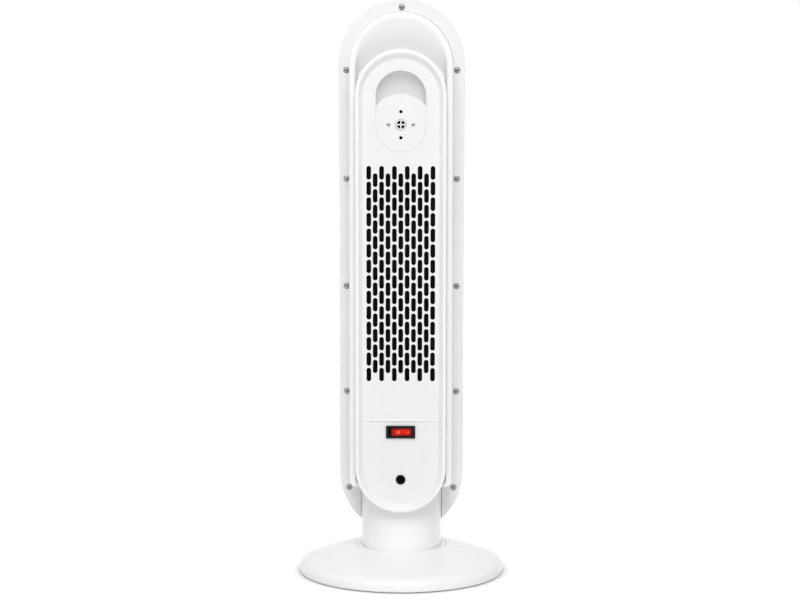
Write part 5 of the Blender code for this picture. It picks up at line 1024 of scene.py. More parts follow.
def rear_casing():
    """Flange, tub side, rounded rim, flat rim band, bowl and ledge, as rows of outlines."""
    flange_front = FLANGE_REAR + FLANGE_THICKNESS
    rows = [at_depth(body_outline(0), flange_front)]
    for inset, rise in quarter():
        rows.append(at_depth(body_outline(FLANGE_EDGE_ROUND * inset),
                             FLANGE_REAR + FLANGE_EDGE_ROUND * (1 - rise)))
    wall_rear = TUB_RIM_REAR + TUB_RIM_ROUND
    for share in np.linspace(0, 1, SIDE_POINTS):
        depth = FLANGE_REAR + (wall_rear - FLANGE_REAR) * share
        rows.append(at_depth(tub_outline(TUB_DRAFT * share, 0), depth))
    rim_start = len(rows) - 1
    for inset, rise in quarter()[1:]:
        rows.append(at_depth(tub_outline(TUB_DRAFT + TUB_RIM_ROUND * inset, TUB_RIM_ROUND * inset / 2),
                             wall_rear - TUB_RIM_ROUND * rise))
    band = TUB_DRAFT + RIM_BAND_WIDTH
    rows.append(at_depth(tub_outline(band - BAND_EDGE_ROUND, TUB_WALL - BAND_EDGE_ROUND), TUB_RIM_REAR))
    edge = tub_outline(band, TUB_WALL)
    rim_end = len(rows) - 1
    foot = panel_outline(BOWL_RAMP_SIDE, BOWL_RAMP_TOP, BOWL_RAMP_BOTTOM)
    inner = cove_foot(band, foot)
    for share in np.linspace(0, 1, COVE_ROWS):
        depth = TUB_RIM_REAR + BOWL_DEPTH * share ** BOWL_POWER
        rows.append(at_depth(edge * (1 - share) + inner * share, depth))
    rows.append(at_depth(foot, BOWL_FLOOR))
    ledge = long_oval(LEDGE_HALF_WIDTH, PANEL_TOP - PANEL_HALF_WIDTH + LEDGE_HALF_WIDTH, LEDGE_HALF_WIDTH,
                      PANEL_CENTRE_LOW, LEDGE_HALF_WIDTH)
    rows.append(at_depth(ledge, BOWL_FLOOR))
    rows.append(at_depth(ledge, BOWL_FLOOR + TUB_WALL))
    rows.append(at_depth(foot, BOWL_FLOOR + TUB_WALL))
    rows.append(at_depth(tub_outline(TUB_DRAFT + TUB_WALL, TUB_WALL), BOWL_FLOOR + TUB_WALL))
    rows.append(at_depth(tub_outline(TUB_WALL, TUB_WALL), flange_front))
    piece = row_surface("rear_casing", rows, WHITE, "tower")
    # The rounded rim and flat band take the lighter white: painted highlight.
    highlight_rows(piece, rim_start, rim_end, len(rows[0]), WHITE_PAINTED_HIGHLIGHT)
    cut_by(piece, neck_cutter())
    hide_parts("rear_shell")


def neck_cutter():
    radius = NECK_RADIUS + RUNNING_GAP
    profile = [(radius, NECK_FOOT_HEIGHT), (radius, NECK_TOP + RUNNING_GAP)]
    return turned_surface("neck_cutter", profile, (0, 0, 0), closed=False, capped=True)


def middle_of(low, high):
    """The middle between two corners."""
    return [(first + last) / 2 for first, last in zip(low, high)]


def casing_screw_places():
    """Middles of the casing screws, from their nodes' boxes, as (x, z)."""
    places = []
    for number in range(1, CASING_SCREW_COUNT + 1):
        across, _, height = middle_of(*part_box(f"casing_screw_{number}"))
        places.append((across, height))
    return places


def front_casing():
    """Side wall, rounded edge and flat face, inside and outside, cut for the outlet, controls and neck."""
    inner = []
    outer = []
    inner_radius = FRONT_ROUND - SHELL_WALL
    start = BODY_FRONT - FRONT_ROUND
    for inset, rise in quarter(FRONT_ROUND_POINTS):
        inner.append(at_depth(body_outline(SHELL_WALL + inner_radius * inset), start + inner_radius * rise))
        outer.append(at_depth(body_outline(FRONT_ROUND * inset), start + FRONT_ROUND * rise))
    bevel = FLANGE_EDGE_ROUND * BEVEL_MIDDLE
    edge = [at_depth(body_outline(SHELL_WALL), SHELL_REAR),
            at_depth(body_outline(FLANGE_EDGE_ROUND), SHELL_REAR),
            at_depth(body_outline(bevel), SHELL_REAR + bevel),
            at_depth(body_outline(0), SHELL_REAR + FLANGE_EDGE_ROUND)]
    piece = closed_solid("front_casing", inner[::-1] + edge + outer, WHITE, "tower")
    cut_by(piece, neck_cutter(), opening_cutter("outlet_cutter", outlet_outline),
           opening_cutter("control_cutter", control_outline))
    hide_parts("front_shell")


def rounded_rectangle(half_width, low, high, radius, points=2 * FILLET_POINTS):
    """An outline of (x, z): four quarter circles joined by straight sides."""
    inner = half_width - radius
    turn = np.linspace(0, math.pi / 2, points)
    corners = []
    for x, z, start in ((inner, high - radius, 0), (-inner, high - radius, 1), (-inner, low + radius, 2),
                        (inner, low + radius, 3)):
        angle = turn + start * math.pi / 2
        corners.append(np.column_stack([x + radius * np.cos(angle), z + radius * np.sin(angle)]))
    return np.concatenate(corners)


def outlet_outline(inset):
    low, high = OUTLET_SPAN
    return rounded_rectangle(OUTLET_HALF_WIDTH - inset, low + inset, high - inset, OUTLET_CORNER - inset)


def control_outline(inset):
    low, high = CONTROL_SPAN
    return rounded_rectangle(CONTROL_HALF_WIDTH - inset, low + inset, high - inset, CONTROL_CORNER - inset)


def opening_cutter(name, outline):
    """An opening through the front face, whose outer edge is softly broken."""
    bevel = OPENING_EDGE * BEVEL_MIDDLE
    stations = ((0, BODY_FRONT - SHELL_WALL - OVERRUN), (0, BODY_FRONT - OPENING_EDGE),
                (bevel, BODY_FRONT - bevel), (OPENING_EDGE, BODY_FRONT),
                (OPENING_EDGE, BODY_FRONT + OVERRUN))
    return closed_solid(name, [at_depth(outline(-grown), depth) for grown, depth in stations])


# Rear panel and what it carries


def slot_middles():
    """Eleven columns of slots; every other column is one slot shorter and sits lower."""
    middles = []
    for column in range(SLOT_COLUMNS):
        shorter = column % 2
        x = (column - (SLOT_COLUMNS - 1) / 2) * SLOT_COLUMN_PITCH
        top = SLOT_FIELD_TOP - SLOT_LENGTH / 2 - shorter * SLOT_OFFSET_DROP
        middles += [(x, top - row * SLOT_ROW_PITCH) for row in range(SLOT_ROWS - shorter)]
    return np.array(middles)


def slot_outline(extra):
    centre = SLOT_LENGTH / 2 - SLOT_WIDTH / 2
    radius = SLOT_WIDTH / 2 + extra
    upper = half_oval(radius, radius, centre, 0, math.pi, SLOT_END_POINTS)
    lower = half_oval(radius, radius, -centre, math.pi, 2 * math.pi, SLOT_END_POINTS)
    return np.concatenate([upper, lower])


def slots_cutter():
    """All slots in one cutter: the slot's rows, copied to every middle, with the mouth's edge broken."""
    bevel = SLOT_EDGE * BEVEL_MIDDLE
    stations = ((SLOT_EDGE, CUT_START), (SLOT_EDGE, FIELD_REAR), (bevel, FIELD_REAR + bevel),
                (0, FIELD_REAR + SLOT_EDGE), (0, FIELD_BACK + OVERRUN))
    grid = np.array([at_depth(slot_outline(extra), depth) for extra, depth in stations])
    middles = slot_middles()
    shift = np.column_stack([middles[:, 0], np.zeros(len(middles)), middles[:, 1]])
    points = (grid.reshape(1, -1, 3) + shift[:, None, :]).reshape(-1, 3)
    one = grid_faces(grid.shape[0], grid.shape[1], False, True)
    step = grid.shape[0] * grid.shape[1]
    faces = [[index + number * step for index in face] for number in range(len(middles)) for face in one]
    return mesh_piece("slots_cutter", points, faces, None, None)


def recess_outline(inset):
    return long_oval(RECESS_HALF_WIDTH - inset, RECESS_TOP - inset, RECESS_HALF_WIDTH - inset,
                     RECESS_BOTTOM + RECESS_HALF_WIDTH, RECESS_HALF_WIDTH - inset)


def plate_arc(radius, half_width, points=ARC_POINTS):
    """The sensor cover's curved upper edge, from its right tip to its left tip."""
    tip = math.acos(half_width / radius)
    return half_oval(radius, radius, PORT_HEIGHT, tip, math.pi - tip, points)


def scoop_outline(inset):
    """The part of the recess above the sensor cover: the upper half circle, then the cover's edge."""
    half = RECESS_HALF_WIDTH - inset
    upper = half_oval(half, half, RECESS_TOP - RECESS_HALF_WIDTH, 0, math.pi)
    lower = plate_arc(PLATE_ARC_RADIUS, half)[::-1]
    return np.concatenate([straight(lower[-1], upper[0], SMALL_EDGE_POINTS), upper,
                           straight(upper[-1], lower[0], SMALL_EDGE_POINTS), lower])


def scoop_cutter():
    """The finger scoop: it deepens as a quarter oval from its rim, cut off by the cover's edge. Its cut
    faces take a greyer copy of the white: painted shade in the recess.
    """
    rows = [at_depth(scoop_outline(-SCOOP_EDGE), CUT_START)]
    for inset, rise in quarter(SMALL_EDGE_POINTS):
        rows.append(at_depth(scoop_outline(-SCOOP_EDGE * (1 - rise)), FIELD_REAR + SCOOP_EDGE * inset))
    for inset, rise in quarter(SCOOP_POINTS)[1:]:
        depth = SCOOP_EDGE + (SCOOP_DEPTH - SCOOP_EDGE) * rise
        rows.append(at_depth(scoop_outline(SCOOP_ROUND * inset), FIELD_REAR + depth))
    return closed_solid("scoop_cutter", rows, WHITE_PAINTED_SHADE)


def back_panel():
    """Skirt, lip, rounded crown, sloping side and flat field, as rows of outlines, then openings."""
    skirt = PANEL_SKIRT_INSET
    inner = skirt + PANEL_SKIRT_WALL
    lip_end = PANEL_CROWN_REAR + PANEL_LIP
    rows = [at_depth(panel_outline(inner, inner, inner), FIELD_BACK),
            at_depth(panel_outline(inner, inner, inner), BOWL_FLOOR - SEAT_GAP),
            at_depth(panel_outline(skirt, skirt, skirt), BOWL_FLOOR - SEAT_GAP),
            at_depth(panel_outline(skirt, skirt, skirt), lip_end),
            at_depth(panel_outline(PANEL_LIP_EDGE, PANEL_LIP_EDGE, PANEL_LIP_EDGE), lip_end),
            at_depth(panel_outline(0, 0, 0), lip_end - PANEL_LIP_EDGE)]
    crown_start = len(rows) - 1
    for inset, rise in quarter():
        edge = PANEL_CROWN_ROUND * inset
        depth = PANEL_CROWN_REAR + PANEL_CROWN_ROUND * (1 - rise)
        rows.append(at_depth(panel_outline(edge, edge, edge), depth))
    crown = PANEL_CROWN_WIDTH
    crown_end = len(rows)
    for share in np.linspace(0, 1, SLOPE_ROWS):
        depth = PANEL_CROWN_REAR + PANEL_FIELD_DEPTH * slope_profile(share)
        slopes = [crown + width * share
                  for width in (PANEL_SLOPE_SIDE, PANEL_SLOPE_TOP, PANEL_SLOPE_BOTTOM)]
        rows.append(at_depth(panel_outline(*slopes), depth))
    level = crown + FIELD_LEVEL_WIDTH
    rows.append(at_depth(panel_outline(level + PANEL_SLOPE_SIDE, level + PANEL_SLOPE_TOP,
                                       level + PANEL_SLOPE_BOTTOM), FIELD_REAR))
    piece = closed_solid("back_panel", rows, WHITE, "tower")
    # The rounded crown takes the lighter white: painted highlight.
    highlight_rows(piece, crown_start, crown_end, len(rows[0]), WHITE_PAINTED_HIGHLIGHT)
    add_to(piece, plate_shelf(), finger_cup(), field_rib())
    cut_by(piece, pocket_cutter(), scoop_cutter(), *plate_hole_cutters(), slots_cutter(), switch_cutter(),
           inlet_cutter(), neck_cutter())
    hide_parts("rear_panel")


def slope_profile(share):
    """Share of the field's depth across the slope: a weighted mean of a smooth step and a straight line."""
    return ease(share) * SLOPE_EASE + share * (1 - SLOPE_EASE)


def drawn_out(name, outline, rear, front):
    """An outline of (x, z) drawn out along Y between two depths, closed at both ends."""
    return closed_solid(name, [at_depth(outline, rear), at_depth(outline, front)])


def ring_outline(radius, height, x=0.0, points=SMALL_TURN_POINTS):
    """A circle of (x, z) about a place."""
    angle = np.linspace(0, 2 * math.pi, points, endpoint=False) + math.pi / points
    return np.column_stack([x + radius * np.cos(angle), height + radius * np.sin(angle)])


def box_outline(half_width, low, high):
    return np.array([(half_width, high), (-half_width, high), (-half_width, low), (half_width, low)])


def plate_shelf():
    back = FIELD_REAR + PLATE_THICKNESS + SEAT_GAP + PANEL_WALL
    return drawn_out("plate_shelf", recess_outline(-RECESS_WALL), FIELD_REAR + PANEL_WALL / 2, back)


def finger_cup():
    """The wall round the finger scoop, above the tips of the sensor cover."""
    tip_height = plate_arc(PLATE_ARC_RADIUS, RECESS_HALF_WIDTH)[0, 1]
    half = RECESS_HALF_WIDTH + RECESS_WALL
    upper = half_oval(half, half, RECESS_TOP - RECESS_HALF_WIDTH, 0, math.pi)
    low = tip_height - RECESS_WALL
    outline = np.concatenate([upper, [(-half, low), (half, low)]])
    back = FIELD_REAR + SCOOP_DEPTH + RECESS_WALL
    return drawn_out("finger_cup", outline, FIELD_REAR + PANEL_WALL / 2, back)


def field_rib():
    """The rib across the field and up its slopes: a low ridge along X that sinks away at its ends."""
    share = np.linspace(-1, 1, RIB_STATIONS)
    fade = np.sqrt(np.clip(1 - np.abs(share) ** RIB_END_POWER, 0, 1)) * (1 - RIB_END_RISE) + RIB_END_RISE
    angle = np.linspace(0, math.pi, 2 * FILLET_POINTS)
    rows = []
    inset = (PANEL_HALF_WIDTH - RIB_HALF_LENGTH * np.abs(share) - PANEL_CROWN_WIDTH) / PANEL_SLOPE_SIDE
    ground = PANEL_CROWN_REAR + PANEL_FIELD_DEPTH * slope_profile(np.clip(inset, 0, 1))
    section = (RIB_RISE + PANEL_WALL / 2) * np.sin(angle) ** RIB_SECTION_POWER
    for along, rise, level in zip(share, fade, ground):
        depth = level + PANEL_WALL / 2 - section * rise
        rows.append(np.column_stack([np.full(len(angle), along * RIB_HALF_LENGTH), depth,
                                     RIB_HEIGHT + RIB_WIDTH / 2 * np.cos(angle)]))
    return closed_solid("field_rib", rows)


def pocket_cutter():
    return drawn_out("pocket_cutter", recess_outline(0), CUT_START,
                     FIELD_REAR + PLATE_THICKNESS + SEAT_GAP)


def plate_openings(port_gap):
    return [ring_outline(PORT_RING_RADIUS + port_gap, PORT_HEIGHT),
            ring_outline(SMALL_HOLE_RADIUS, PORT_HEIGHT + SMALL_HOLE_OFFSET),
            ring_outline(SMALL_HOLE_RADIUS, PORT_HEIGHT - SMALL_HOLE_OFFSET)]


def plate_hole_cutters():
    return [drawn_out("plate_hole", outline, CUT_START, FIELD_REAR + SCOOP_DEPTH + RECESS_WALL + OVERRUN)
            for outline in plate_openings(RUNNING_GAP)]


def switch_cutter():
    half = SWITCH_BODY_WIDTH / 2 + SEAT_GAP
    outline = box_outline(SWITCH_BODY_LENGTH / 2 + SEAT_GAP, SWITCH_HEIGHT - half, SWITCH_HEIGHT + half)
    return drawn_out("switch_cutter", outline, CUT_START, FIELD_BACK + OVERRUN)


def inlet_cutter():
    return drawn_out("inlet_cutter", ring_outline(GLAND_BODY_RADIUS + SEAT_GAP, INLET_HEIGHT), CUT_START,
                     FIELD_BACK + OVERRUN)


def add_to(piece, *others):
    """Joins closed shapes into a piece."""
    return boolean_with(piece, others, "UNION")


def sensor_cover():
    """The flush cover in the lower part of the recess, with a finely broken edge and its openings."""
    half = RECESS_HALF_WIDTH - COVER_GAP
    rows = []
    for inset, rise in quarter(SMALL_EDGE_POINTS):
        outline = cover_outline(half - COVER_EDGE * (1 - rise))
        rows.append(at_depth(outline, FIELD_REAR + COVER_EDGE * inset))
    rows.append(at_depth(cover_outline(half), FIELD_REAR + PLATE_THICKNESS))
    piece = closed_solid("sensor_cover", rows, WHITE, "tower")
    holes = plate_openings(RUNNING_GAP) + [ring_outline(SCREW_HOLE_RADIUS, PORT_HEIGHT, x)
                                           for x in (-SENSOR_SCREW_OFFSET, SENSOR_SCREW_OFFSET)]
    cut_by(piece, *[drawn_out("cover_hole", outline, CUT_START, FIELD_REAR + PLATE_THICKNESS + OVERRUN)
                    for outline in holes])
    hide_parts("sensor_plate")


def cover_outline(half):
    gap = RECESS_HALF_WIDTH - half
    lower = half_oval(half, half, RECESS_BOTTOM + RECESS_HALF_WIDTH, math.pi, 2 * math.pi)
    return np.concatenate([lower, plate_arc(PLATE_ARC_RADIUS - gap, half)])


def sensor_grid():
    """The round room-air port: a ring with a cross of bars set a little back in it."""
    front = FIELD_REAR - PORT_RISE
    back = FIELD_REAR + PORT_DEPTH
    edge = PORT_EDGE
    profile = [(PORT_OPEN_RADIUS, front + edge), (PORT_OPEN_RADIUS + edge, front),
               (PORT_RING_RADIUS - edge, front), (PORT_RING_RADIUS, front + edge),
               (PORT_RING_RADIUS, back), (PORT_OPEN_RADIUS, back)]
    piece = small_turned("sensor_grid", profile, (0, 0, PORT_HEIGHT), WHITE, "tower")
    reach = (PORT_OPEN_RADIUS + PORT_RING_RADIUS) / 2
    half = PORT_BAR_WIDTH / 2
    across = drawn_out("bar_across", box_outline(reach, PORT_HEIGHT - half, PORT_HEIGHT + half),
                       front + PORT_RISE / 2, back - PORT_RISE)
    upright = drawn_out("bar_upright", box_outline(half, PORT_HEIGHT - reach, PORT_HEIGHT + reach),
                        front + PORT_RISE / 2, back - PORT_RISE)
    add_to(piece, across, upright)
    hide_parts("sensor_port")


# Neck and base


def neck_tube():
    """Collar, groove at the seam, round tube with its closed top, and two ears inside the body."""
    inside = NECK_RADIUS - NECK_WALL
    collar = SEAM_RADIUS - RUNNING_GAP
    groove = NECK_RADIUS + NECK_GROOVE
    floor = SEAM_HEIGHT - NECK_GROOVE
    profile = [(collar, NECK_DISC_UNDERSIDE), (collar, SEAM_HEIGHT),
               (groove, SEAM_HEIGHT), (groove, floor), (NECK_RADIUS, floor),
               (NECK_RADIUS, NECK_TOP), (NECK_TOP_HOLE_RADIUS, NECK_TOP),
               (NECK_TOP_HOLE_RADIUS, NECK_TOP - NECK_WALL), (inside, NECK_TOP - NECK_WALL),
               (inside, NECK_FLOOR), (NECK_FLOOR_HOLE_RADIUS, NECK_FLOOR),
               (NECK_FLOOR_HOLE_RADIUS, NECK_DISC_UNDERSIDE)]
    radii = (NECK_UNDER_ROUND, NECK_COLLAR_ROUND, 0, 0, 0, NECK_TOP_ROUND, 0, 0, 0, 0, 0, 0)
    # The neck takes the brighter gloss white: painted light in its tone.
    piece = turned_surface("neck_tube", softened(profile, radii, True), (0, 0, 0), GLOSS_WHITE_PAINTED_LIGHT, "tower")
    low = NECK_TOP - NECK_EAR_DROP - NECK_EAR_THICKNESS
    inner = math.sqrt((NECK_RADIUS - NECK_WALL / 2) ** 2 - NECK_EAR_FRONT ** 2)
    ears = []
    for side in (-1, 1):
        corners = np.array([(inner, NECK_EAR_REAR), (NECK_EAR_REACH, NECK_EAR_REAR),
                            (NECK_EAR_REACH, NECK_EAR_FRONT), (inner, NECK_EAR_FRONT)]) * (side, 1)
        rows = [np.column_stack([corners, np.full(len(corners), height)])
                for height in (low, low + NECK_EAR_THICKNESS)]
        ears.append(closed_solid("neck_ear", rows))
    add_to(piece, *ears)
    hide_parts("neck_column")


def base_dome():
    """Short outer wall, rounded shoulder, crease, gently domed cone up to the seam, and the shelf."""
    inside = BASE_RADIUS - BASE_WALL
    well = SEAM_RADIUS + BASE_WALL
    profile = [(BASE_RADIUS - BASE_FOOT_INSET, BASE_UNDERSIDE),
               (BASE_RADIUS, BASE_UNDERSIDE + BASE_FOOT_RISE), (BASE_RADIUS, BASE_WALL_TOP),
               (SHOULDER_RADIUS, SHOULDER_HEIGHT), (CREASE_RADIUS, CREASE_HEIGHT),
               (CONE_MIDDLE_RADIUS, CONE_MIDDLE_HEIGHT), (SEAM_RADIUS, SEAM_HEIGHT),
               (SEAM_RADIUS, SHELF_TOP), (SHELF_HOLE_RADIUS, SHELF_TOP),
               (SHELF_HOLE_RADIUS, SHELF_TOP - SHELF_THICKNESS), (well, SHELF_TOP - SHELF_THICKNESS),
               (well, SEAM_HEIGHT - BASE_WALL - BASE_FOOT_INSET),
               (CREASE_RADIUS, CREASE_HEIGHT - BASE_WALL), (inside, BASE_WALL_TOP),
               (inside, BASE_UNDERSIDE)]
    radii = (*BASE_FOOT_ROUNDS, BASE_EDGE_ROUND, SHOULDER_ROUND, CREASE_ROUND, CONE_ROUND, SEAM_EDGE_ROUND,
             0, 0, 0, 0, 0, 0, 0, 0)
    # The base takes the brighter gloss white: painted light in its tone.
    piece = turned_surface("base_dome", softened(profile, radii, True), (0, 0, 0), GLOSS_WHITE_PAINTED_LIGHT, "base")
    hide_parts("base_cover")


def screw_profile(head, rise, shank, length):
    """A pan-head screw's half section: (radius, along), with the dome as a curve of falling rise."""
    share = np.linspace(0, 1, 2 * FILLET_POINTS)
    turn = share * math.pi / 2
    swell = SCREW_BRIM_SHARE + (1 - SCREW_BRIM_SHARE) * np.sin(turn)
    dome = np.column_stack([head * np.cos(turn) ** SCREW_DOME_POWER, -rise * swell])
    dome[-1, 0] = SCREW_CROWN
    first, last = SCREW_TIP_ENDS
    stem = [(SCREW_CROWN, length), (shank * SCREW_TIP_RADIUS_SHARE, length - shank * first),
            (shank, length - shank * last), (shank, 0), (head, 0)]
    return np.concatenate([stem, dome])


def cross_cutter(length, width, rise, depth):
    """A cross recess that narrows towards its bottom, as two crossed tapered bars."""
    bars = []
    for turn in (0, math.pi / 2):
        rows = []
        for along, size in ((-rise - OVERRUN, 1.0), (-rise, 1.0), (depth - rise, SCREW_CROSS_FOOT)):
            corners = box_outline(length / 2 * size, -width / 2 * size, width / 2 * size)
            spun = np.column_stack([corners[:, 0] * math.cos(turn) - corners[:, 1] * math.sin(turn),
                                    corners[:, 0] * math.sin(turn) + corners[:, 1] * math.cos(turn)])
            rows.append(at_depth(spun, along))
        bars.append(closed_solid("cross_bar", rows))
    return bars


def screw_pattern(name, head, rise, length, finish):
    """One screw with its head's underside at the middle and its shank along +Y."""
    profile = screw_profile(head, rise, SCREW_SHANK_RADIUS, length)
    screw = small_turned(name, profile, (0, 0, 0), finish, closed=False, capped=True)
    cross = cross_cutter(SCREW_CROSS_LENGTH * head, SCREW_CROSS_WIDTH, rise, SCREW_CROSS_DEPTH)
    return cut_by(screw, *cross)


def placed_copy(pattern, name, place, turn, body, upright=False):
    """A copy of a pattern's mesh, turned about its own length and moved to its place."""
    mesh = pattern.data.copy()
    mesh.name = name
    mesh.transform(Matrix.Rotation(turn, 4, "Y"))
    if upright:
        mesh.transform(Matrix.Rotation(math.pi / 2, 4, "X"))
    mesh.transform(Matrix.Translation(place))
    piece = bpy.data.objects.new(name, mesh)
    bpy.context.scene.collection.objects.link(piece)
    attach(piece, body)
    return piece


def screw_shadow_discs(name, places, outer, level):
    """Dark discs under screw heads, painted shadow in the gap round each head, each with a hub that fills
    the foot of the head's cross recess with painted shade.
    """
    profile = ((SCREW_CROWN, SCREW_SHADOW_THICKNESS / 2), (outer, SCREW_SHADOW_THICKNESS / 2),
               (outer, -SCREW_SHADOW_THICKNESS / 2), (SCREW_HUB_RADIUS, -SCREW_SHADOW_THICKNESS / 2),
               (SCREW_HUB_RADIUS, -SCREW_HUB_RISE), (SCREW_CROWN, -SCREW_HUB_RISE))
    solids = [([at_depth(ring_outline(radius, z, x), level + along) for radius, along in profile], False)
              for x, z in places]
    joined_surfaces(name, solids, DARK, "tower")


def screws():
    """Casing, sensor and base screws, each turned to its own angle as a hand leaves them."""
    turns = np.random.default_rng(SCREW_SEED).uniform(0, math.pi / 2, SCREW_TURN_DRAWS)
    casing = screw_pattern("casing_pattern", SCREW_HEAD_RADIUS, SCREW_HEAD_RISE, SCREW_LENGTH, SCREW_STEEL)
    for number, (x, z) in enumerate(casing_screw_places(), 1):
        piece = placed_copy(casing, f"rear_screw_{number}", (x, FLANGE_REAR - SCREW_LIFT, z), turns[number],
                            "tower")
        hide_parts(f"casing_screw_{number}")
    small = screw_pattern("small_pattern", SMALL_SCREW_HEAD, SMALL_SCREW_RISE, SMALL_SCREW_LENGTH,
                          SCREW_ZINC)
    for number, x in enumerate((-SENSOR_SCREW_OFFSET, SENSOR_SCREW_OFFSET), 1):
        piece = placed_copy(small, f"cover_screw_{number}", (x, FIELD_REAR - COVER_SCREW_LIFT, PORT_HEIGHT),
                            COVER_SCREW_TURN * number, "tower")
        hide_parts(f"sensor_screw_{number}")
    # Dark discs under the heads: painted shadow round the casing screws and painted shade in every cross
    # recess.
    screw_shadow_discs("casing_screw_shadows", casing_screw_places(), SCREW_SHADOW_RADIUS, FLANGE_REAR - SCREW_LIFT)
    screw_shadow_discs("cover_screw_shadows", [(x, PORT_HEIGHT) for x in (-SENSOR_SCREW_OFFSET, SENSOR_SCREW_OFFSET)],
                  SCREW_HUB_RADIUS, FIELD_REAR - COVER_SCREW_LIFT)
    lower = screw_pattern("lower_pattern", SMALL_SCREW_HEAD, SCREW_HEAD_RISE, SCREW_LENGTH, SCREW_STEEL)
    for number in range(1, BASE_SCREW_COUNT + 1):
        across, along, _ = middle_of(*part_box(f"base_screw_{number}"))
        piece = placed_copy(lower, f"underside_screw_{number}", (across, along, BASE_SCREW_SEAT),
                            turns[CASING_SCREW_COUNT + 1 + number], "base", True)
        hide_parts(f"base_screw_{number}")
    for pattern in (casing, small, lower):
        bpy.data.objects.remove(pattern, do_unlink=True)


# Rocker switch and cord inlet


def switch_rectangle(half_width, half_height, radius=BEZEL_CORNER):
    """A round-cornered rectangle about the switch's middle, as (x, z)."""
    return rounded_rectangle(half_width, SWITCH_HEIGHT - half_height, SWITCH_HEIGHT + half_height, radius,
                             FILLET_POINTS)


def switch_bezel():
    """Black frame with a softly rounded lip that slopes into the well; a box behind it."""
    face = FIELD_REAR - SEAT_GAP - BEZEL_RISE
    under = FIELD_REAR - SEAT_GAP
    back = face + SWITCH_BODY_DEPTH
    long_half = BEZEL_LENGTH / 2
    short_half = BEZEL_WIDTH / 2
    well_long = SWITCH_WELL_LENGTH / 2
    well_short = SWITCH_WELL_WIDTH / 2
    body = switch_rectangle(SWITCH_BODY_LENGTH / 2, SWITCH_BODY_WIDTH / 2, SWITCH_BODY_CORNER)
    rows = [at_depth(body, back), at_depth(body, under),
            at_depth(switch_rectangle(long_half, short_half), under)]
    for inset, rise in quarter():
        edge = BEZEL_EDGE * inset
        rows.append(at_depth(switch_rectangle(long_half - edge, short_half - edge),
                             face + BEZEL_EDGE * (1 - rise)))
    for inset, rise in quarter():
        edge = BEZEL_RIM * (1 - rise)
        mouth = switch_rectangle(well_long + edge, well_short + edge)
        rows.append(at_depth(mouth, face + BEZEL_RIM * inset))
    well = switch_rectangle(well_long, well_short, SWITCH_BODY_CORNER)
    rows.append(at_depth(well, face + SWITCH_WELL_DEPTH))
    piece = closed_solid("switch_bezel", rows, BLACK, "tower")
    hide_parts("switch_housing")


def rocker_frame():
    """The rocker's pivot and the sine and cosine of its tilt."""
    return FIELD_REAR + ROCKER_PIVOT_DEPTH, math.sin(ROCKER_TILT), math.cos(ROCKER_TILT)


def on_rocker(along, out, up):
    """Points on the rocker's own lengthwise, outward and upright directions, turned by its tilt."""
    pivot, sine, cosine = rocker_frame()
    across = along * cosine + out * sine
    depth = pivot + along * sine - out * cosine
    return np.stack([across, depth, SWITCH_HEIGHT + up], axis=-1)


def rocker_rise(along):
    """Height of the rocker's top over its pivot: two flat wings that meet in a soft valley."""
    bend = np.sqrt(along ** 2 + ROCKER_VALLEY ** 2) - ROCKER_VALLEY
    return ROCKER_CREST + bend * math.tan(ROCKER_TILT)


def rocker_lens():
    """The red rocker: rows along its length, each a section with rounded upper edges."""
    half = SWITCH_WELL_WIDTH / 2 - SEAT_GAP
    length = ROCKER_HALF_LENGTH
    ends = ROCKER_EDGE * np.array([inset for inset, _ in quarter()])
    wings = np.linspace(-length, length, ROCKER_STATIONS)[ROCKER_END_STATIONS:-ROCKER_END_STATIONS]
    along = np.concatenate([-length + ends, wings, length - ends[::-1]])
    flat = length - ROCKER_EDGE
    drop = np.interp(along, [-length, -flat, flat, length], [1, 0, 0, 1]) ** 2
    turn = np.linspace(0, math.pi / 2, FILLET_POINTS)
    round_in = ROCKER_EDGE * (1 - np.cos(turn))
    round_down = ROCKER_EDGE * (1 - np.sin(turn))
    across = np.concatenate([[half], half - round_in, -half + round_in[::-1], [-half]])
    fall = np.concatenate([[0], round_down, round_down[::-1], [0]])
    bottom = np.interp(np.abs(along), [0, length * ROCKER_KEEL_SHARE, length],
                       [-ROCKER_KEEL, -ROCKER_KEEL, 0])
    rise = rocker_rise(along) - ROCKER_EDGE * drop
    out = rise[:, None] - fall[None, :]
    out[:, 0] = bottom
    out[:, -1] = bottom
    along, across = np.broadcast_arrays(along[:, None], across[None, :])
    grid = on_rocker(along, out, across)
    piece = closed_solid("rocker_lens", grid, RED_LENS, "rocker")
    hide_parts("switch_rocker")


def rocker_marks():
    """Raised pale marks on the lens: a ring for off on the left wing, a bar for on on the right wing."""
    turn = np.linspace(0, 2 * math.pi, SMALL_TURN_POINTS, endpoint=False)
    section = np.linspace(0, 2 * math.pi, MARK_SECTION_POINTS, endpoint=False)
    radius = MARK_RING_RADIUS + MARK_LINE / 2 * np.cos(section)[:, None]
    along = MARK_RING_PLACE + radius * np.cos(turn)[None, :]
    up = radius * np.sin(turn)[None, :]
    out = rocker_rise(along) + MARK_LINE / 4 * np.sin(section)[:, None]
    row_surface("off_mark", on_rocker(along, out, up), MARK_GLOW, "rocker")
    share = np.linspace(-1, 1, MARK_STATIONS)
    width = MARK_LINE / 2 * np.sqrt(np.clip(1 - share ** MARK_END_POWER, MARK_END_SHARE, 1))
    along = np.repeat((MARK_BAR_PLACE + MARK_BAR_HALF * share)[:, None], MARK_SECTION_POINTS, axis=1)
    up = width[:, None] * np.cos(section)[None, :]
    out = rocker_rise(along) + width[:, None] / 2 * np.sin(section)[None, :]
    closed_solid("on_mark", on_rocker(along, out, up), MARK_GLOW, "rocker")


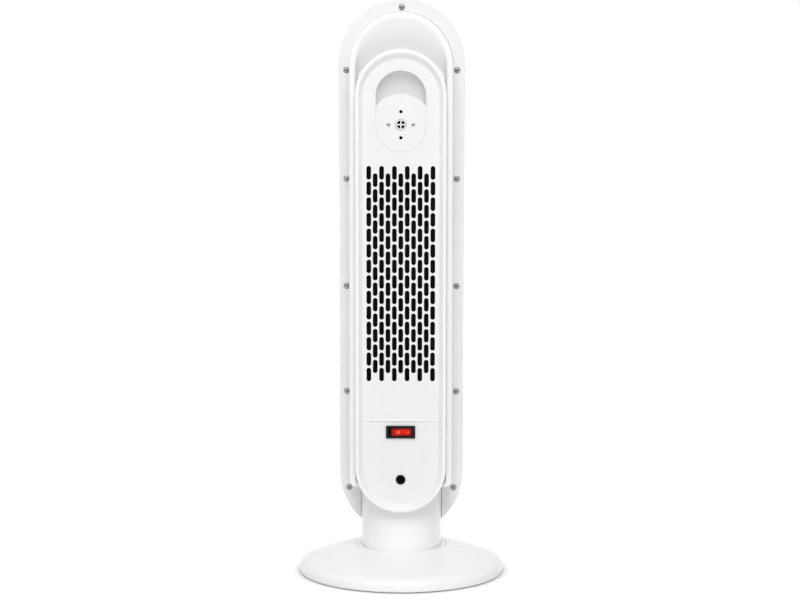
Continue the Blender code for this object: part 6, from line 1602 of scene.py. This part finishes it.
def inlet_gland():
    """Black cord bush: a rounded flange, a bore with a broken mouth and a collar behind the panel."""
    under = FIELD_REAR - SEAT_GAP
    face = under - GLAND_FLANGE_RISE
    profile = [(GLAND_BORE_RADIUS, face + GLAND_MOUTH_EDGE), (GLAND_BORE_RADIUS + GLAND_MOUTH_EDGE, face),
               (GLAND_FLANGE_RADIUS, face), (GLAND_FLANGE_RADIUS, under), (GLAND_BODY_RADIUS, under),
               (GLAND_BODY_RADIUS, face + GLAND_LENGTH), (GLAND_BORE_RADIUS, face + GLAND_LENGTH)]
    radii = (GLAND_EDGE_ROUND, GLAND_EDGE_ROUND, GLAND_FLANGE_ROUND, 0, 0, GLAND_EDGE_ROUND, 0)
    place = (0, 0, INLET_HEIGHT)
    piece = small_turned("inlet_gland", softened(profile, radii, True), place, RUBBER, "tower")
    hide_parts("cord_gland")
    # A near-black disc across the bore: painted shade inside the cord inlet.
    depth = face + GLAND_THROAT
    back = depth + GLAND_THROAT_THICKNESS
    throat = [(GLAND_THROAT_CENTRE, depth), (GLAND_BORE_RADIUS, depth - GLAND_THROAT_DISH),
              (GLAND_BORE_RADIUS, back), (GLAND_THROAT_CENTRE, back)]
    small_turned("gland_bore_shade", throat, place, FOAM_SHADE_BLACK, "tower", closed=False, capped=True)


def filter_shade_sheet():
    """Dark foam dust filter between the slotted panel and the blower: a thin sheet with a broken edge. Its
    near-black tone is painted shade seen through the slots.
    """
    half, low, high = FILTER_HALF_WIDTH, *FILTER_SPAN
    outline = rounded_rectangle(half, low, high, FILTER_CORNER)
    face = rounded_rectangle(half - FILTER_EDGE, low + FILTER_EDGE, high - FILTER_EDGE, FILTER_CORNER)
    level = FIELD_BACK + FILTER_GAP
    rows = [at_depth(outline, level + FILTER_THICKNESS), at_depth(outline, level + FILTER_EDGE),
            at_depth(face, level)]
    closed_solid("filter_shade_sheet", rows, FOAM_SHADE_BLACK, "tower")


def cover_hole_shade():
    """A thin near-black ring behind the sensor cover, seen through its two small holes: painted shade in
    those holes.
    """
    front = FIELD_REAR + PLATE_THICKNESS + SHADE_PIECE_GAP
    back = front + HOLE_SHADE_THICKNESS
    inner = PORT_RING_RADIUS + SHADE_PIECE_GAP
    profile = [(inner, front), (HOLE_SHADE_RADIUS, front), (HOLE_SHADE_RADIUS, back), (inner, back)]
    small_turned("cover_hole_shade", profile, (0, 0, PORT_HEIGHT), FOAM_SHADE_BLACK, "tower")


def port_shade_plug():
    """A near-black plug inside the room-air port, with a slightly domed face: painted shade in the port's
    openings.
    """
    radius = PORT_OPEN_RADIUS - SHADE_PIECE_GAP
    back = FIELD_REAR + PORT_DEPTH
    share = np.linspace(0, 1, FILLET_POINTS)
    crown = PORT_SHADE_THICKNESS + PORT_SHADE_CROWN * (1 - share[1:] ** 2)
    dome = np.column_stack([radius * share[1:], back - crown])
    profile = np.concatenate([dome, [(radius, back), (radius * share[1], back)]])
    small_turned("port_shade_plug", profile, (0, 0, PORT_HEIGHT), FOAM_SHADE_BLACK, "tower", closed=False,
                 capped=True)


def foot_pads():
    """Rubber feet: a rounded pad, hollow underneath, with a stem that plugs into the base plate."""
    profile = [(FOOT_HOLLOW_RADIUS, FOOT_HOLLOW), (FOOT_TREAD_RADIUS, 0), (FOOT_RADIUS, 0),
               (FOOT_RADIUS, FOOT_PAD_TOP), (FOOT_STEM_RADIUS, FOOT_PAD_TOP),
               (FOOT_STEM_RADIUS, FOOT_STEM_TOP)]
    rounded = softened(profile, (0, FOOT_SOFT_ROUND, FOOT_EDGE_ROUND, FOOT_SOFT_ROUND, 0, 0))
    for number in range(1, FOOT_COUNT + 1):
        across, along, _ = middle_of(*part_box(f"rubber_foot_{number}"))
        piece = turned_surface(f"foot_pad_{number}", rounded, (across, along, 0), RUBBER, "base",
                               points=SMALL_TURN_POINTS, closed=False, capped=True)
        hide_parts(f"rubber_foot_{number}")


# Front pieces and the heater


def joined_surfaces(name, solids, material, body):
    """One piece made of several closed solids, each given as its rows of points and whether they meet."""
    points = []
    faces = []
    start = 0
    for rows, closed in solids:
        grid = np.asarray(rows, float)
        for face in grid_faces(grid.shape[0], grid.shape[1], closed, not closed):
            faces.append([start + index for index in face])
        points.append(grid.reshape(-1, 3))
        start += grid.shape[0] * grid.shape[1]
    return mesh_piece(name, np.concatenate(points), faces, material, body)


def rounded_section(half_long, half_short, points=SECTION_POINTS):
    """An oval with flattened sides: each half length times a signed power of cosine or sine."""
    turn = np.linspace(0, 2 * math.pi, points, endpoint=False)
    along = half_long * np.sign(np.cos(turn)) * np.abs(np.cos(turn)) ** SECTION_POWER
    across = half_short * np.sign(np.sin(turn)) * np.abs(np.sin(turn)) ** SECTION_POWER
    return along, across


def front_grille():
    """Outlet grille: a frame with rounded edges, tilted slats and one upright rib behind them."""
    profile = [(GRILLE_INSET, GRILLE_FACE), (GRILLE_GAP, GRILLE_FACE), (GRILLE_GAP, GRILLE_FLANGE_FRONT),
               (-GRILLE_FLANGE, GRILLE_FLANGE_FRONT), (-GRILLE_FLANGE, GRILLE_REAR),
               (GRILLE_INSET, GRILLE_REAR)]
    radii = (GRILLE_INNER_ROUND, GRILLE_OUTER_ROUND, 0, GRILLE_GAP, 0, GRILLE_GAP)
    frame = [at_depth(outlet_outline(inset), depth)
             for inset, depth in softened(profile, radii, closed=True)]
    solids = [(frame, True)]
    low, high = OUTLET_SPAN
    heights = np.linspace(low + GRILLE_BORDER, high - GRILLE_BORDER, LOUVRE_COUNT + 2)[1:-1]
    middle = (GRILLE_FLANGE_FRONT + GRILLE_FACE) / 2 - LOUVRE_THICKNESS
    reach = OUTLET_HALF_WIDTH - GRILLE_BORDER
    along, across = rounded_section(LOUVRE_DEPTH / 2, LOUVRE_THICKNESS / 2)
    for height in heights:
        depth = middle + along * math.cos(LOUVRE_TILT) - across * math.sin(LOUVRE_TILT)
        level = height + along * math.sin(LOUVRE_TILT) + across * math.cos(LOUVRE_TILT)
        ends = [np.column_stack([np.full(len(depth), x), depth, level]) for x in (-reach, reach)]
        solids.append((ends, False))
    deep = (middle - GRILLE_REAR) / 2 - GRILLE_GAP
    along, across = rounded_section(GRILLE_RIB_WIDTH / 2, deep)
    rib_middle = (middle + GRILLE_REAR) / 2 + GRILLE_GAP
    ribs = [np.column_stack([along, rib_middle + across, np.full(len(along), level)])
            for level in (low + GRILLE_BORDER / 2, high - GRILLE_BORDER / 2)]
    solids.append((ribs, False))
    piece = joined_surfaces("front_grille", solids, GRILLE_BLACK, "tower")
    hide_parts("outlet_grille")


def edge_cutter(name, outline, edge):
    """An opening through the control panel's face; the outline takes how far it grows."""
    bevel = edge * BEVEL_MIDDLE
    stations = ((0, FASCIA_FACE - FASCIA_THICKNESS - OVERRUN), (0, FASCIA_FACE - edge),
                (bevel, FASCIA_FACE - bevel), (edge, FASCIA_FACE), (edge, FASCIA_FACE + OVERRUN))
    return closed_solid(name, [at_depth(outline(grown), depth) for grown, depth in stations])


def display_outline(grown):
    half = DISPLAY_LENGTH / 2 + grown
    rise = DISPLAY_WIDTH / 2 + grown
    return rounded_rectangle(half, DISPLAY_HEIGHT - rise, DISPLAY_HEIGHT + rise, DISPLAY_CORNER + grown)


def control_fascia():
    """Glossy control panel: a rounded face on a hollow rim, opened for the display and the caps."""
    profile = [(FASCIA_RAIL, FASCIA_FACE - FASCIA_THICKNESS), (FASCIA_RAIL, FASCIA_FACE - FASCIA_DEPTH),
               (GRILLE_GAP, FASCIA_FACE - FASCIA_DEPTH), (GRILLE_GAP, FASCIA_FLANGE_REAR),
               (-GRILLE_FLANGE, FASCIA_FLANGE_REAR), (-GRILLE_FLANGE, GRILLE_FLANGE_FRONT),
               (GRILLE_GAP, GRILLE_FLANGE_FRONT), (GRILLE_GAP, FASCIA_FACE), (FASCIA_RAIL, FASCIA_FACE)]
    radii = (0, 0, 0, 0, 0, 0, 0, FASCIA_ROUND, 0)
    rows = [at_depth(control_outline(inset), depth) for inset, depth in softened(profile, radii)]
    piece = closed_solid("control_fascia", rows, FASCIA_BLACK, "tower")
    cutters = [edge_cutter("display_cutter", display_outline, FASCIA_EDGE)]
    for number in range(1, BUTTON_COUNT + 1):
        across = middle_of(*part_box(f"control_button_{number}"))[0]

        def cap_outline(grown, across=across):
            return ring_outline(BUTTON_RADIUS + BUTTON_GAP + grown, BUTTON_HEIGHT, across)

        cutters.append(edge_cutter(f"button_cutter_{number}", cap_outline, FASCIA_EDGE))
    cut_by(piece, *cutters)
    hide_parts("control_panel")


def display_glass():
    """Smoked window: a plate with a rounded front edge, a hair below the panel's face."""
    front = FASCIA_FACE - DISPLAY_SINK
    profile = [(-GRILLE_GAP, FASCIA_FACE - FASCIA_THICKNESS), (-GRILLE_GAP, front),
               (-DISPLAY_CORNER, front)]
    rows = [at_depth(display_outline(grown), depth)
            for grown, depth in softened(profile, (0, DISPLAY_EDGE, 0))[:-1]]
    piece = closed_solid("display_glass", rows, WINDOW, "tower")
    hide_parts("display_window")


def button_caps():
    """Round caps: a hidden flange, a rounded edge and a dish that rises with the square."""
    for number in range(1, BUTTON_COUNT + 1):
        low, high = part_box(f"control_button_{number}")
        across = (low[0] + high[0]) / 2
        flange = (high[0] - low[0]) / 2
        profile = [(flange / 4, low[1]), (flange, low[1]), (flange, low[1] + BUTTON_FLANGE),
                   (BUTTON_RADIUS, low[1] + BUTTON_FLANGE), (BUTTON_RADIUS, high[1]),
                   (BUTTON_RADIUS - 2 * BUTTON_ROUND, high[1])]
        share = np.linspace(1, BUTTON_DISH_MIDDLE, FILLET_POINTS)[1:]
        dish = np.column_stack([(BUTTON_RADIUS - 2 * BUTTON_ROUND) * share,
                                high[1] - BUTTON_DISH * (1 - share ** 2)])
        rounded = np.concatenate([softened(profile, (0, 0, 0, 0, BUTTON_ROUND, 0)), dish])
        body = f"button_{number}"
        piece = small_turned(f"button_cap_{number}", rounded, (across, 0, BUTTON_HEIGHT), CAP_GREY, body,
                             closed=False, capped=True)
        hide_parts(f"control_button_{number}")
        button_mark(number, body, across, high[1] - BUTTON_DISH)


def button_mark(number, body, across, floor):
    """A plain pale mark in the dish: a ring, a minus, a plus or a dot."""
    low, high = floor - BUTTON_DISH, floor + MARK_RISE
    bar = rounded_rectangle(MARK_LENGTH / 2, -MARK_STROKE / 2, MARK_STROKE / 2, MARK_STROKE / 3)
    upright = bar[:, ::-1]
    solids = []
    if number in (1, 4):
        outer = MARK_LENGTH / 2 if number == 1 else MARK_STROKE
        outline = ring_outline(outer, 0)
        if number == 1:
            inner = ring_outline(outer - MARK_STROKE, 0)
            solids.append(([at_depth(inner, high), at_depth(outline, high), at_depth(outline, low),
                            at_depth(inner, low)], True))
        else:
            solids.append(([at_depth(outline, low), at_depth(outline, high)], False))
    else:
        solids.append(([at_depth(bar, low), at_depth(bar, high)], False))
    if number == 3:
        solids.append(([at_depth(upright, low), at_depth(upright, high - MARK_RISE / 4)], False))
    shift = np.array([across, 0, BUTTON_HEIGHT])
    solids = [(np.asarray(rows) + shift, closed) for rows, closed in solids]
    joined_surfaces(f"button_mark_{number}", solids, WHITE, body)


def heater_fins():
    """Folded strips in the heater's air passages: height swings between two levels at every fold."""
    low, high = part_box("heater_core")
    rise = (high[2] - low[2] - FIN_WALL) / FIN_ROWS
    reach = high[0] - FIN_WALL - FIN_GAP
    start = FIN_SPINE / 2 + FIN_GAP
    across = np.linspace(start, reach, FIN_FOLDS + 1)
    swing = (rise - FIN_WALL) / 2 - FIN_GAP - FIN_BAND / 2
    fold = np.where(np.arange(FIN_FOLDS + 1) % 2 == 0, -swing, swing)
    front = high[1] - FIN_GAP
    rear = low[1] + FIN_GAP
    solids = []
    for row in range(FIN_ROWS):
        middle = low[2] + FIN_WALL / 2 + (row + 0.5) * rise
        for side in (-1, 1):
            stations = []
            for x, z in zip(side * across, middle + fold):
                stations.append([(x, rear, z - FIN_BAND / 2), (x, front, z - FIN_BAND / 2),
                                 (x, front, z + FIN_BAND / 2), (x, rear, z + FIN_BAND / 2)])
            solids.append((stations, False))
    joined_surfaces("heater_fins", solids, ALUMINIUM, "tower")


# Floor, light and camera


def floor_finish():
    """Pale matt floor under the object's shadow; further out it shows white to camera, gloss and glass. Its
    glow stays low close round the base and rises outwards: painted darkening round the base's foot, added
    to its real shadow.
    """
    finish, tree, shader = new_material("floor_finish", Roughness=FLOOR_ROUGHNESS, Specular_IOR_Level=0.0)
    mottle = ranged(tree, noise(tree, FLOOR_MOTTLE_SCALE), *SOFT_SPAN, 0.0, 1.0)
    tree.links.new(blended(tree, mottle, colour(FLOOR_ALBEDO), colour(FLOOR_ALBEDO * FLOOR_MOTTLE)),
                   shader.inputs["Base Color"])
    seen = tree.nodes.new("ShaderNodeLightPath")
    both = arithmetic(tree, "MAXIMUM", seen.outputs["Is Camera Ray"], seen.outputs["Is Glossy Ray"])
    every = arithmetic(tree, "MAXIMUM", both, seen.outputs["Is Transmission Ray"])
    place = tree.nodes.new("ShaderNodeTexCoord").outputs["Object"]
    reach = node(tree, "ShaderNodeVectorMath", {"operation": "LENGTH"}, i0=place).outputs["Value"]
    strength = ranged(tree, reach, *FLOOR_GLOW_SPAN, FLOOR_GLOW_NEAR, FLOOR_GLOW_FAR)
    glow = arithmetic(tree, "MULTIPLY", every, strength)
    tree.links.new(glow, shader.inputs["Emission Strength"])
    shader.inputs["Emission Color"].default_value = colour(1.0)
    return finish


def stage():
    """A large round floor under the feet."""
    turn = np.linspace(0, 2 * math.pi, TURN_POINTS, endpoint=False)
    ring = np.column_stack([FLOOR_RADIUS * np.cos(turn), FLOOR_RADIUS * np.sin(turn),
                            np.full(len(turn), -FLOOR_GAP)])
    mesh = bpy.data.meshes.new("floor")
    mesh.from_pydata(ring.tolist(), [], [list(range(len(ring)))])
    mesh.materials.append(floor_finish())
    floor = bpy.data.objects.new("floor", mesh)
    bpy.context.scene.collection.objects.link(floor)


def light():
    """A pale dome, dimmer towards its two sides, and two soft round lamps above and behind the camera."""
    world = bpy.data.worlds.new("studio")
    bpy.context.scene.world = world
    world.use_nodes = True
    tree = world.node_tree
    background = tree.nodes["Background"]
    background.inputs["Color"].default_value = colour(1.0)
    seen = tree.nodes.new("ShaderNodeLightPath")
    shown = arithmetic(tree, "MAXIMUM", seen.outputs["Is Camera Ray"], seen.outputs["Is Glossy Ray"])
    shown = arithmetic(tree, "MAXIMUM", shown, seen.outputs["Is Transmission Ray"])
    way = node(tree, "ShaderNodeSeparateXYZ", i0=tree.nodes.new("ShaderNodeTexCoord").outputs["Generated"])
    aside = arithmetic(tree, "ABSOLUTE", way.outputs[0])
    dome = ranged(tree, aside, *DOME_SPAN, DOME_END, DOME_SIDE)
    strength = node(tree, "ShaderNodeMix", {"data_type": "FLOAT"}, i0=shown, i2=dome, i3=1.0).outputs[0]
    tree.links.new(strength, background.inputs["Strength"])
    for name, place, target, size, watts in LAMPS:
        lamp = bpy.data.lights.new(name, "AREA")
        lamp.shape = "DISK"
        lamp.size = size
        lamp.energy = watts
        holder = bpy.data.objects.new(name, lamp)
        holder.location = place
        holder.rotation_euler = (Vector(target) - Vector(place)).to_track_quat("-Z", "Y").to_euler()
        bpy.context.scene.collection.objects.link(holder)


def camera():
    """A long lens behind the heater, turned to it and pitched down."""
    lens = bpy.data.cameras.new("camera")
    lens.sensor_fit = "HORIZONTAL"
    lens.sensor_width = SENSOR_WIDTH
    lens.lens = CAMERA_FOCAL_PIXELS * SENSOR_WIDTH / IMAGE_WIDTH
    lens.clip_end = CAMERA_REACH
    holder = bpy.data.objects.new("camera", lens)
    holder.location = (math.sin(CAMERA_TURN) * CAMERA_DISTANCE + CAMERA_SIDE,
                       -math.cos(CAMERA_TURN) * CAMERA_DISTANCE, CAMERA_HEIGHT)
    aim = Matrix.Rotation(CAMERA_TURN, 3, "Z") @ Matrix.Rotation(math.pi / 2 - CAMERA_PITCH, 3, "X")
    holder.rotation_euler = (aim @ Matrix.Rotation(CAMERA_ROLL, 3, "Z")).to_euler()
    bpy.context.scene.collection.objects.link(holder)
    bpy.context.scene.camera = holder


def finish_frame_nodes():
    """Every node that keeps its own shape gets its finish."""
    for name, thing in NODES.items():
        finish = NODE_FINISHES.get(name.rstrip("_0123456789"), DARK)
        thing.data.materials.clear()
        thing.data.materials.append(finish)


NODE_FINISHES = {
    "base_plate": DARK, "base_screw": SCREW_STEEL, "blower_bearing": RUBBER, "blower_housing": DARK,
    "blower_motor": MOTOR_STEEL, "casing_screw": SCREW_STEEL, "control_board": BOARD, "cord_clamp": DARK,
    "heater_frame": DARK, "neck_screw": SCREW_STEEL, "power_board": BOARD, "retainer_screw": SCREW_STEEL,
    "room_thermistor": BLACK, "rubber_foot": RUBBER, "sensor_screw": SCREW_STEEL, "swing_gear": NYLON,
    "swing_motor": MOTOR_STEEL, "swing_pinion": NYLON, "swivel_retainer": NYLON, "swivel_slide_ring": NYLON,
    "thermal_cutout": ALUMINIUM, "tilt_switch": BLACK, "heater_core": ALUMINIUM, "blower_wheel": DARK,
    "outlet_grille": DARK, "control_panel": BLACK, "control_button": DARK, "display_window": WINDOW,
    "switch_housing": BLACK, "cord_gland": RUBBER, "switch_rocker": BLACK,
}

finish_frame_nodes()
rear_casing()
front_casing()
back_panel()
sensor_cover()
sensor_grid()
screws()
switch_bezel()
rocker_lens()
rocker_marks()
inlet_gland()
filter_shade_sheet()
cover_hole_shade()
port_shade_plug()
foot_pads()
neck_tube()
base_dome()
front_grille()
control_fascia()
display_glass()
button_caps()
heater_fins()
stage()
light()
camera()
bpy.context.scene.view_settings.view_transform = "Standard"
